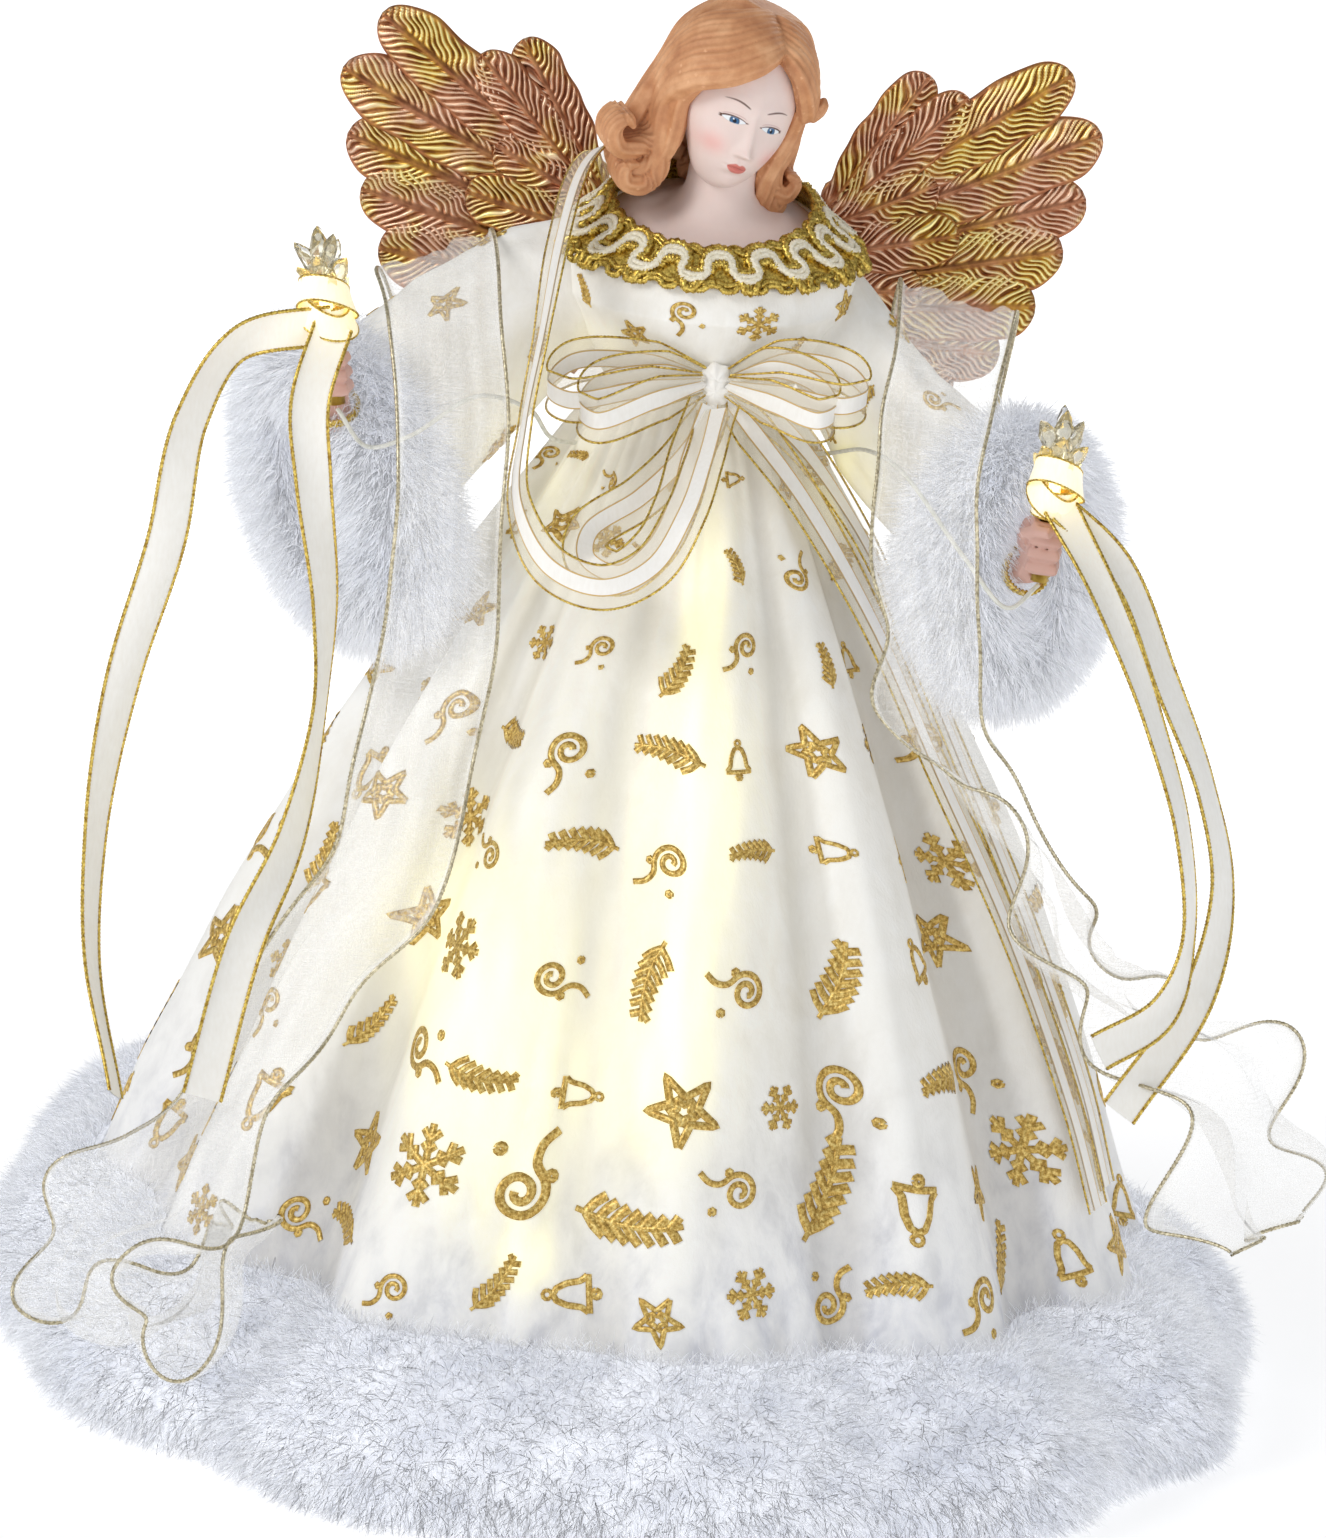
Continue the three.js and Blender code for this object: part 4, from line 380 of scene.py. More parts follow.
def folds_at(angle, share):
    depth = sum(d * bump(near_angle(angle - m * TURN), 0, w * TURN) for m, w, d in FOLDS)
    return FOLD * depth * np.sin(np.minimum(share, 1) * 0.41 * TURN)


# Long soft ridges: middle and half width in turns, depth, height share, half length and drift to the side
ridge_rng = np.random.default_rng(21)
RIDGES = [[ridge_rng.uniform(low, high) for low, high in (
    (-0.5, 0.5), (0.004, 0.011), (-1, 1), (0.15, 0.75), (0.2, 0.45), (-0.02, 0.02))] for row in range(90)]


def small_folds(angle, share):
    """Gathers below the waist, long soft ridges, and the creases where the cloth meets the fur."""
    out = 0.75 * np.exp(-share / 0.16) * np.sin(38 * angle + 1.1 * np.sin(3 * angle))
    out = out + 0.5 * bump(share, 0.3, 0.22) * np.sin(23 * angle + 2 * np.sin(2 * angle) + 2 * share)
    for middle, width, depth, at, long, drift in RIDGES:
        away = near_angle(angle - (middle + drift * (share - at)) * TURN) / (width * TURN)
        out = out + 2.2 * depth * np.exp(-away**2 - ((share - at) / long) ** 2)
    out = out + 1.2 * bump(share, 0.9, 0.09) * np.sin(31 * angle + 3 * np.sin(5 * angle))
    out = out + 0.5 * np.sin(9 * angle + 14 * share) * np.sin(17 * share + 4 * angle) * smooth_step(share, 0.2, 0.6)
    return out * MM * smooth_step(share, -0.02, 0.05)


def lifted(at, angle, share, raise_by, outward):
    """Places of the surface that at() gives, raised along its normal."""
    angle, share = np.broadcast_arrays(np.asarray(angle, float), np.asarray(share, float))
    here = at(angle, share)
    if np.ndim(raise_by) == 0 and raise_by == 0:
        return here
    e = 1e-3
    down, round_it = at(angle, share + e) - at(angle, share - e), at(angle + e, share) - at(angle - e, share)
    return here + outward * unit(np.cross(down, round_it)) * np.asarray(raise_by)[..., None]


def skirt(angle, share, raise_by=0.0, fine=True):
    def at(angle, share):
        flare = share + 0.07 * np.sin(math.pi * share)
        fold = folds_at(angle, share) + (small_folds(angle, share) if fine else 0)
        across, deep = (size * UNIT + (HEM_RADIUS - size * UNIT) * flare + fold for size in BODICE[0, 1:3])
        height = WAIST + (HEM_HEIGHT + lift_at(angle) - WAIST) * share
        return np.stack([across * np.cos(angle), deep * np.sin(angle), height], -1) + AXIS

    return lifted(at, angle, share, raise_by, 1)


def bodice(angle, share, raise_by=0.0, fine=True):
    def at(angle, share):
        wide, deep, middle = (np.interp(share, BODICE[:, 0], BODICE[:, k]) * UNIT for k in (1, 2, 3))
        if fine:
            crease = 0.35 * np.exp(-share / 0.25) * np.sin(30 * angle + np.sin(4 * angle))
            crease += 0.3 * np.sin(6 * angle + 9 * share) * np.sin(8 * share) * (1 - smooth_step(share, 0.7, 0.9))
            wide, deep = wide + crease * MM, deep + crease * MM
        height = BODICE_LOW + (COLLAR_HEIGHT + COLLAR_TILT * np.sin(angle) - BODICE_LOW) * share
        return np.stack([wide * np.cos(angle), middle + deep * np.sin(angle), height], -1) + AXIS

    return lifted(at, angle, share, raise_by, -1)


def sleeve(name, angle, share, raise_by=0.0, fine=True):
    table = np.array([[*centre, *way, *rest] for centre, way, *rest in SLEEVES[name]])
    stations = np.arange(len(table))

    def at(angle, share):
        where = np.clip(share, 0, 1) * stations[-1]
        *spots, lean, tall, broad = (np.interp(where, stations, column) for column in table.T)
        centre = np.stack(spots[:3], -1) * UNIT + AXIS
        out = unit(np.stack(spots[3:], -1))
        high = np.stack([lean, 0 * where, 0 * where + 1], -1)
        high = unit(high - out * (high * out).sum(-1, keepdims=True))
        wide = np.cross(out, high)
        tall, broad = tall * UNIT, broad * UNIT
        if fine:
            crease = 0.5 * np.sin(5 * angle + 11 * share) * np.sin(7 * share + 2 * angle)
            crease = crease + 0.45 * np.sin(9 * angle - 6 * share + 1) * smooth_step(share, 0.1, 0.5)
            tall, broad = tall + crease * MM, broad + crease * MM
        return centre + high * (tall * np.sin(angle))[..., None] + wide * (broad * np.cos(angle))[..., None]

    return lifted(at, angle, share, raise_by, 1)


def mouth_of(name):
    return unit(np.array(SLEEVES[name][-1][1], float))


def share_at(angle, height):
    return (WAIST - height) / (WAIST - HEM_HEIGHT - lift_at(angle))


def on_gown(angle, height, clear, half_width):
    """A place over the folds of the gown, held clear of them to each side."""
    share = share_at(angle, height)
    here = skirt(angle, share) - AXIS
    radius = math.hypot(here[0], here[1])
    sides = angle + np.array([-1, -0.5, 0, 0.5, 1]) * half_width / radius
    near = skirt(sides, share) - AXIS
    widest = np.hypot(near[:, 0], near[:, 1]).max()
    return here * [(widest + clear) / radius, (widest + clear) / radius, 1] + AXIS


# Materials
class Look:
    """A material built from nodes: add() makes a node and sets its inputs by value or by link."""

    def __init__(self, name, **inputs):
        self.material = bpy.data.materials.new(name)
        self.material.use_nodes = True
        self.tree = self.material.node_tree
        self.base = self.tree.nodes["Principled BSDF"]
        self.output = self.tree.nodes["Material Output"]
        self.put(self.base, inputs)

    def put(self, node, inputs):
        for name, value in inputs.items():
            socket = node.inputs[int(name[2:]) if name.startswith("in") else name.replace("_", " ")]
            if isinstance(value, bpy.types.NodeSocket):
                self.tree.links.new(value, socket)
            elif socket.type == "RGBA" and len(value) == 3:
                socket.default_value = (*value, 1)
            else:
                socket.default_value = value

    def add(self, kind, props=None, **inputs):
        node = self.tree.nodes.new("ShaderNode" + kind)
        for name, value in (props or {}).items():
            setattr(node, name, value)
        self.put(node, inputs)
        return node

    def value(self, name):
        return self.add("Attribute", {"attribute_name": name}).outputs["Fac"]

    def where(self, scale=(1, 1, 1)):
        spot = self.add("TexCoord").outputs["Object"]
        return self.add("Mapping", Vector=spot, Scale=scale).outputs[0]

    def noise(self, scale, detail=4, roughness=0.55, stretch=(1, 1, 1), distortion=0.0):
        return self.add("TexNoise", Vector=self.where(stretch), Scale=scale, Detail=detail,
                        Roughness=roughness, Distortion=distortion).outputs["Fac"]

    def ramp(self, value, *stops, ease="LINEAR"):
        """Colours or grey levels along a value."""
        node = self.add("ValToRGB", in0=value)
        node.color_ramp.interpolation = ease
        while len(node.color_ramp.elements) < len(stops):
            node.color_ramp.elements.new(0.5)
        for element, (at, tone) in zip(node.color_ramp.elements, stops):
            element.position = at
            element.color = (*(tone if isinstance(tone, tuple) else (tone,) * 3), 1)
        return node.outputs["Color"]

    def mix(self, share, a, b):
        node = self.add("Mix", {"data_type": "RGBA"}, in0=share)
        self.put(node, {"in6": a, "in7": b})
        return node.outputs[2]

    def math(self, kind, a, b=0.5, clamp=False):
        return self.add("Math", {"operation": kind, "use_clamp": clamp}, in0=a, in1=b).outputs[0]

    def bump(self, height, distance, strength=1.0):
        node = self.add("Bump", Height=height, Distance=distance, Strength=strength)
        self.put(self.base, {"Normal": node.outputs[0]})

    def finish(self, through=0.0, **inputs):
        """through mixes in light that passes from behind, as in thin cloth and fur."""
        self.put(self.base, inputs)
        if through:
            thin = self.add("BsdfTranslucent", Color=inputs["Base_Color"])
            both = self.add("MixShader", in0=through, in1=self.base.outputs[0], in2=thin.outputs[0])
            self.put(self.output, {"Surface": both.outputs[0]})
        return self.material


def rgb(red, green, blue):
    """Colour values out of 255, as linear light."""
    return tuple(((c / 255 + 0.055) / 1.055) ** 2.4 if c > 10 else c / 255 / 12.92 for c in (red, green, blue))


def velvet_look():
    look = Look("velvet", Roughness=0.62, Sheen_Weight=0.55, Sheen_Roughness=0.35)
    crush = look.noise(150, 5, 0.6, (1, 1, 0.5), 0.3)
    nap = look.noise(1300, 3, 0.6, (1, 1, 0.5))
    tone = look.ramp(crush, (0.3, rgb(243, 240, 233)), (0.5, rgb(250, 248, 243)), (0.66, rgb(255, 254, 251)))
    # Toward the hem the crush tones turn blue-grey and stronger: painted blue-grey shade and painted crushed sheen
    # near the floor
    low = look.value("low")
    tone = look.mix(low, tone, look.ramp(crush, (0.32, rgb(208, 210, 221)), (0.47, rgb(236, 237, 243)),
                                         (0.62, rgb(253, 253, 255))))
    tone = look.mix(look.math("MULTIPLY", nap, 0.14), tone, rgb(218, 212, 202))
    # Painted shade in the hollows of the folds and painted highlight on their ridges
    crease = look.value("crease")
    tone = look.mix(look.math("MULTIPLY", crease, 0.42, True), tone, rgb(188, 184, 178))
    tone = look.mix(look.math("MULTIPLY", crease, -0.45, True), tone, rgb(255, 254, 250))
    # Painted lamp light: the cloth turns yellow and glows by emission where the lamps lie behind it
    glow = look.value("glow")
    warm = look.ramp(glow, (0.0, rgb(255, 240, 190)), (0.45, rgb(255, 245, 168)), (1.0, rgb(255, 252, 196)))
    tone = look.mix(look.math("MULTIPLY", glow, 0.9, True), tone, rgb(255, 250, 214))
    look.bump(look.math("ADD", crush, look.math("MULTIPLY", nap, 0.25)), 0.7 * MM, 0.45)
    return look.finish(Base_Color=tone, Emission_Color=warm, Emission_Strength=look.math("MULTIPLY", glow, 0.56),
                       Sheen_Tint=rgb(255, 252, 244))


def fur_look():
    look = Look("fur", Roughness=0.85, Sheen_Weight=0.3, Sheen_Roughness=0.5)
    tip, shade = look.value("tip"), look.value("shade")
    # Painted shade and light: roots a little greyer than the tips, painted blue-grey shade in the hollows between
    # tufts, and emission that brightens the fur, most at the tips
    patch = look.noise(60, 3)
    low = look.mix(patch, rgb(242, 244, 250), rgb(251, 252, 255))
    tone = look.mix(look.math("POWER", tip, 0.7), low, rgb(252, 253, 255))
    tone = look.mix(look.math("MULTIPLY", shade, 0.35), tone, rgb(230, 234, 243))
    lit = look.math("ADD", look.math("MULTIPLY", tip, 0.42), 0.27)
    return look.finish(through=0.5, Base_Color=tone, Emission_Color=rgb(246, 248, 255), Emission_Strength=lit)


def skin_look(name, pale, deep):
    look = Look(name, Roughness=0.5, Specular_IOR_Level=0.35)
    fine = look.noise(420, 4)
    tone = look.mix(look.math("MULTIPLY", fine, 0.35), pale, deep)
    for key, paint in (("blush", rgb(236, 158, 150)), ("lips", rgb(212, 124, 114)), ("line", rgb(88, 52, 40)),
                       ("lid", rgb(196, 160, 156)), ("white", rgb(240, 243, 247)), ("iris", rgb(62, 108, 152)),
                       ("dark", rgb(24, 28, 44)), ("glint", rgb(250, 252, 255))):
        tone = look.mix(look.value(key), tone, paint)
    look.bump(fine, 0.05 * MM, 0.3)
    return look.finish(Base_Color=tone, Subsurface_Weight=0.08, Subsurface_Radius=(0.003, 0.0015, 0.001),
                       Subsurface_Scale=0.5)


def hair_look():
    look = Look("hair", Roughness=0.55, Specular_IOR_Level=0.4)
    patch = look.noise(140, 5, 0.6)
    tone = look.ramp(patch, (0.32, rgb(184, 124, 84)), (0.5, rgb(205, 146, 102)), (0.68, rgb(224, 170, 126)))
    # Painted shade in the grooves of the locks and painted highlight on their ridges, by pointiness
    ridge = look.add("NewGeometry").outputs["Pointiness"]
    tone = look.mix(look.ramp(ridge, (0.4, 0.75), (0.495, 0)), tone, rgb(132, 78, 46))
    tone = look.mix(look.ramp(ridge, (0.505, 0), (0.6, 0.5)), tone, rgb(236, 188, 146))
    look.bump(look.math("ADD", patch, look.noise(700, 2)), 0.12 * MM, 0.3)
    return look.finish(Base_Color=tone)


def wing_look():
    look = Look("wing_gold", Metallic=0.85, Roughness=0.36)
    raised, rim = look.value("raised"), look.value("rim")
    patch = look.noise(260, 5, 0.6)
    # Painted highlight on the raised barbs and painted shade between them, with noise
    lit = look.math("ADD", raised, look.math("MULTIPLY", look.math("SUBTRACT", patch, 0.5), 1.1))
    gold = look.ramp(lit, (0.15, rgb(120, 72, 34)), (0.4, rgb(182, 134, 58)), (0.62, rgb(224, 184, 80)),
                     (0.85, rgb(255, 240, 168)))
    copper = look.ramp(lit, (0.15, rgb(134, 82, 56)), (0.5, rgb(200, 144, 110)), (0.85, rgb(240, 204, 176)))
    tone = look.mix(look.ramp(look.noise(55, 3), (0.44, 0), (0.58, 1)), gold, copper)
    tone = look.mix(look.math("MULTIPLY", rim, look.noise(120)), tone, rgb(176, 112, 76))
    look.bump(look.noise(1400, 3), 0.08 * MM, 0.35)
    return look.finish(Base_Color=tone, Roughness=look.ramp(patch, (0.3, 0.3), (0.7, 0.5)))


def thread_look(name, dark, light, metallic, roughness, scale=1500):
    look = Look(name, Metallic=metallic, Roughness=roughness)
    grain = look.noise(scale, 3, 0.6)
    look.bump(grain, 0.12 * MM, 0.5)
    return look.finish(Base_Color=look.ramp(grain, (0.35, dark), (0.65, light)))


def print_look():
    look = Look("gold_print", Metallic=0.55, Roughness=0.42)
    grain = look.noise(1300, 2, 0.7)
    tone = look.ramp(grain, (0.34, rgb(160, 124, 54)), (0.5, rgb(206, 170, 88)), (0.66, rgb(242, 216, 138)))
    look.bump(grain, 0.15 * MM, 0.6)
    return look.finish(Base_Color=tone)


def ribbon_look(name, sheer):
    """Lanes run along the ribbon by the value 'across', from 0 to 1."""
    look = Look(name, Roughness=0.38, Sheen_Weight=0.3)
    across = look.value("across")
    silk = look.noise(1400, 2, 0.5, (1, 1, 0.3))
    thread = rgb(206, 166, 84)
    if sheer:
        net, satin = rgb(255, 247, 226), rgb(254, 252, 248)
        tone = look.ramp(across, (0.0, thread), (0.03, net), (0.3, thread), (0.33, satin), (0.67, thread),
                         (0.7, net), (0.97, thread), ease="CONSTANT")
        veil = look.ramp(across, (0.0, 1), (0.03, 0.2), (0.3, 1), (0.7, 0.2), (0.97, 1), ease="CONSTANT")
        look.put(look.base, {"Alpha": veil})
    else:
        tone = look.mix(look.noise(200, 2), rgb(250, 248, 243), rgb(255, 254, 250))
    tone = look.mix(look.math("MULTIPLY", silk, 0.3), tone, rgb(214, 204, 184))
    look.bump(silk, 0.06 * MM, 0.4)
    # Painted lamp light: near the candles the ribbons glow by emission
    return look.finish(Base_Color=tone, Emission_Color=rgb(255, 226, 120),
                       Emission_Strength=look.math("MULTIPLY", look.value("glow"), 0.45))


def organza_look():
    # Painted light: a faint emission keeps the sheer cloth bright
    look = Look("organza", Roughness=0.4, Sheen_Weight=0.5, Sheen_Roughness=0.3, Emission_Strength=0.1)
    weave = look.math("MAXIMUM", look.noise(2600, 1, 0.5, (1, 1, 0.12)), look.noise(2600, 1, 0.5, (0.12, 0.12, 1)))
    alpha = look.math("ADD", look.ramp(weave, (0.45, 0.07), (0.7, 0.24)),
                      look.math("MULTIPLY", look.value("hem"), 0.3), True)
    tone = look.ramp(look.noise(90), (0.35, rgb(244, 243, 240)), (0.65, rgb(255, 254, 252)))
    return look.finish(Base_Color=tone, Alpha=alpha, Emission_Color=rgb(255, 253, 246))


def crystal_look():
    look = Look("crystal", Roughness=0.03, Transmission_Weight=0.94, IOR=1.49)
    # Painted lamp light: near their feet the crystals are tinted yellow and glow by emission
    warm = look.value("warm")
    tone = look.mix(warm, rgb(255, 255, 252), rgb(255, 246, 205))
    look.bump(look.noise(500, 3), 0.05 * MM, 0.25)
    return look.finish(Base_Color=tone, Emission_Color=rgb(255, 226, 140),
                       Emission_Strength=look.math("MULTIPLY", warm, 0.12))


def lamp_look():
    look = Look("lamp", Roughness=0.3, Emission_Strength=2.5)
    spot = look.noise(900, 2)
    return look.finish(Base_Color=rgb(255, 236, 170),
                       Emission_Color=look.ramp(spot, (0.3, rgb(255, 214, 120)), (0.7, rgb(255, 244, 200))))


def plain_look(name, light, dark, roughness, metallic=0.0, scale=300, dents=0.05, **more):
    look = Look(name, Roughness=roughness, Metallic=metallic, **more)
    grain = look.noise(scale, 4)
    look.bump(grain, dents * MM, 0.4)
    return look.finish(Base_Color=look.ramp(grain, (0.35, dark), (0.65, light)))


velvet, fur_white, hair_brown, wing_gold = velvet_look(), fur_look(), hair_look(), wing_look()
face_skin = skin_look("porcelain", rgb(237, 218, 211), rgb(223, 198, 191))
hand_skin = skin_look("hand_skin", rgb(216, 176, 164), rgb(198, 150, 138))
gold_thread = thread_look("gold_thread", rgb(146, 108, 28), rgb(248, 220, 116), 0.85, 0.34)
pale_thread = thread_look("pale_gold_thread", rgb(150, 138, 108), rgb(236, 226, 196), 0.7, 0.36)
cream_cord = thread_look("cream_cord", rgb(234, 222, 190), rgb(255, 249, 232), 0.0, 0.6)
gold_print, organza, crystal_clear, lamp_glow = print_look(), organza_look(), crystal_look(), lamp_look()
bow_ribbon, white_satin = ribbon_look("bow_ribbon", True), ribbon_look("white_satin", False)
gold_plate = plain_look("gold_plate", rgb(238, 200, 96), rgb(176, 128, 44), 0.28, 0.95)
steel = plain_look("steel", rgb(196, 198, 200), rgb(150, 152, 156), 0.35, 0.95)
clear_wire = plain_look("lead_insulation", rgb(238, 238, 230), rgb(214, 214, 204), 0.3, scale=500)
card = plain_look("card", rgb(226, 220, 206), rgb(206, 198, 182), 0.9, scale=160, dents=0.15)
foam = plain_look("foam", rgb(240, 238, 232), rgb(222, 219, 210), 0.9, scale=700, dents=0.2)
wood = plain_look("wood", rgb(206, 170, 120), rgb(176, 136, 88), 0.7, scale=120)
box_white = plain_look("box_plastic", rgb(228, 226, 220), rgb(214, 212, 205), 0.5, scale=900)
cell_label = plain_look("cell_label", rgb(72, 118, 150), rgb(48, 88, 120), 0.35, 0.3)

# Velvet gown
# Lamp glow seen through the cloth: across, height, half width, half height and strength, in millimetres.
GLOWS = [
    (6, 176, 5, 26, 0.75), (8, 140, 9, 20, 0.95), (7, 104, 8, 20, 0.9), (2, 86, 12, 12, 0.45), (-37, 108, 15, 19, 0.8),
    (-30, 84, 15, 16, 0.6), (-20, 51, 5.5, 5.5, 0.95), (-26, 64, 14, 12, 0.28), (-22, 96, 40, 60, 0.16),
    (-34, 205, 13, 20, 0.42), (-22, 229, 9, 7, 0.35), (34, 208, 8, 13, 0.6), (-4, 130, 34, 70, 0.14),
]


def glow_at(points):
    x, y, z = ((points[..., k] - AXIS[k]) / MM for k in range(3))
    total = sum(s * np.exp(-((x - a) / w) ** 2 - ((z - h) / t) ** 2) for a, h, w, t, s in GLOWS)
    wave = 0.82 + 0.18 * np.sin(0.9 * x + 3) * np.sin(0.13 * z)
    return np.clip(total * wave, 0, 1.1) * smooth_step(-y, 2, 16)


def area_of(grid):
    a, b = np.diff(grid[:, :-1], axis=0), np.diff(grid[:-1], axis=1)
    return float(np.linalg.norm(np.cross(a, b), axis=-1).sum())


def surface_grid(surface, sides, shares, raise_by=0.0):
    angle = np.arange(sides) * TURN / sides
    return surface(angle[None, :], np.asarray(shares)[:, None], raise_by)


def cloth_piece(name, outside, inside):
    """A cloth shell of two matching grids, closed at both ends."""
    shape = Shape()
    grid = np.concatenate([outside, inside[::-1]])
    glow = glow_at(grid)
    glow[len(outside):] = 0
    # Near the floor this value is 1, for the painted blue-grey shade and crushed sheen toward the hem
    low = 1 - smooth_step(grid[..., 2], 0.03, 0.105)
    # How far each point lies inside or outside its neighbours round the cloth: painted shade in fold hollows, painted
    # highlight on fold ridges
    away = np.linalg.norm(grid - grid.mean(1, keepdims=True), axis=-1)
    reach = max(2, grid.shape[1] // 60)
    around = sum(np.roll(away, k, 1) for k in range(-reach, reach + 1)) / (2 * reach + 1)
    crease = np.clip((around - away) / (1.1 * MM), -1, 1)
    shape.grid(grid, wrap_rows=True, wrap_columns=True, glow=glow, low=low, crease=crease)
    return shape.object(f"{name}_cloth", velvet, "velvet", replaces=[name])


# Cloth: columns and rows of its grid, share at its end, flat size, how it is held, what it rests on
cloth_grids = {}
for name, surface, columns, rows, last, flat, held, under in (
    ("skirt", skirt, 840, 260, 1, (0.81, 0.26), "gathered", "cone_body"),
    ("bodice", bodice, 420, 90, 1.02, (0.2, 0.045), "stretched", "torso_core"),
    *((f"{side}_sleeve", partial(sleeve, side), 220, 110, 1, (0.12, 0.08), "draped", "arm_wire") for side in SIDES),
):
    columns, shares = int(columns * many), np.linspace(0, last, int(rows * many))
    cloth_grids[name] = surface_grid(surface, columns, shares)
    cloth = cloth_piece(name, cloth_grids[name], surface_grid(surface, columns, shares, -CLOTH))
    measured = cloth_grids[name] if name == "skirt" else surface_grid(surface, 200, shares)
    area_of(measured)


# Fur
def fur_strands(shape, roots, ways, long, wide, droop, curl, strand_rng, shade):
    """Flat tapering hairs of three pieces each, bent down and to the side."""
    count = len(roots)
    long = long * strand_rng.uniform(0.65, 1.15, count)[:, None]
    ways = unit(ways + strand_rng.normal(0, curl, (count, 3)))
    side = unit(np.cross(ways, strand_rng.normal(0, 1, (count, 3))))
    bend = unit(np.array([0, 0, -1.0]) + strand_rng.normal(0, 0.5, (count, 3)))
    points, tips = [], []
    for step, t in enumerate((0.0, 0.4, 0.75, 1.0)):
        centre = roots + ways * long * t + bend * long * droop * t * t
        half = side * wide * (1.0, 0.9, 0.6, 0.08)[step] / 2
        points += [centre - half, centre + half]
        tips += [np.full(count, t), np.full(count, t)]
    points = np.stack(points, 1)
    points[..., 2] = np.maximum(points[..., 2], 0.3 * MM)
    tips = np.stack(tips, 1)
    start = (np.arange(count) * 8)[:, None]
    quads = np.concatenate([start + np.array([0, 1, 3, 2]) + 2 * k for k in range(3)])
    shape.add(points, quads=quads, tip=tips, shade=np.repeat(shade, 8))


def scatter(grid, count, strand_rng, weight):
    """Random places over a grid of points, even over its area, with row and column numbers."""
    cells = np.linalg.norm(np.cross(grid[1:, :-1] - grid[:-1, :-1], grid[:-1, 1:] - grid[:-1, :-1]), axis=-1)
    cells = cells * weight[: cells.shape[0], : cells.shape[1]]
    pick = strand_rng.choice(cells.size, count, p=cells.ravel() / cells.sum())
    row, column = np.unravel_index(pick, cells.shape)
    u, v = strand_rng.random((2, count, 1))
    spot = (grid[row, column] * (1 - u) * (1 - v) + grid[row + 1, column] * u * (1 - v)
            + grid[row, column + 1] * (1 - u) * v + grid[row + 1, column + 1] * u * v)
    return spot, row, column


def section_grid(rows, sides, section):
    """A closed body round the gown or the sleeve: smooth lines through each section's places."""
    angle = np.arange(sides) * TURN / sides
    lines = np.stack([section(a) for a in angle], 1)
    spots = np.linspace(0, len(lines) - 1, rows)
    low = np.minimum(spots.astype(int), len(lines) - 2)
    part = (spots - low)[:, None, None]
    back = lines[np.maximum(low - 1, 0)]
    ahead = lines[np.minimum(low + 2, len(lines) - 1)]
    m1, m2 = (lines[low + 1] - back) / 2, (ahead - lines[low]) / 2
    return (lines[low] * (1 + 2 * part) * (1 - part) ** 2 + m1 * part * (1 - part) ** 2
            + lines[low + 1] * part**2 * (3 - 2 * part) + m2 * part**2 * (part - 1))


def hem_section(inset):
    def section(angle):
        top, low = skirt(angle, 0.86, REST), skirt(angle, 1.0, REST, fine=False)
        shelf = float(skirt(angle, 1.0)[2]) - CLOTH
        out = np.array([math.cos(angle), math.sin(angle), 0])
        lift = float(lift_at(angle))
        wave = 1 + 0.05 * math.sin(7 * angle + 1) + 0.035 * math.sin(13 * angle) + 0.02 * math.sin(29 * angle)

        def at(start, away, height):
            return np.array([start[0], start[1], height]) + out * away * wave

        return np.array([
            top, at(top, FUR_HEM * 0.35 - inset, top[2] + FUR_HEM * 0.06 - inset * 0.4),
            at(top, FUR_HEM * 0.95 - inset, low[2] + (top[2] - low[2]) * 0.8 - inset * 0.2),
            at(low, FUR_HEM * 0.85 - inset, low[2] + (top[2] - low[2]) * 0.38),
            at(low, FUR_HEM * 0.9 - inset, lift + HEM_HEIGHT), at(low, FUR_HEM * 0.5, lift + 0.3 * MM),
            at(low, -6 * MM, lift + 0.3 * MM), at(low, -6 * MM, shelf), at(low, REST, shelf),
        ])

    return section


def fur_lumps(grid, normal, size, scale, seed):
    """Soft tufts pushed in and out along the surface."""
    p = grid / scale
    wave = np.zeros(grid.shape[:2])
    lump_rng = np.random.default_rng(seed)
    for row in range(9):
        way = lump_rng.normal(0, 1, 3)
        wave += np.sin(p @ way + lump_rng.uniform(0, 6)) * np.sin(p @ np.roll(way, 1) * 1.3 + lump_rng.uniform(0, 6))
    return grid + normal * (size * wave / 3)[..., None], wave


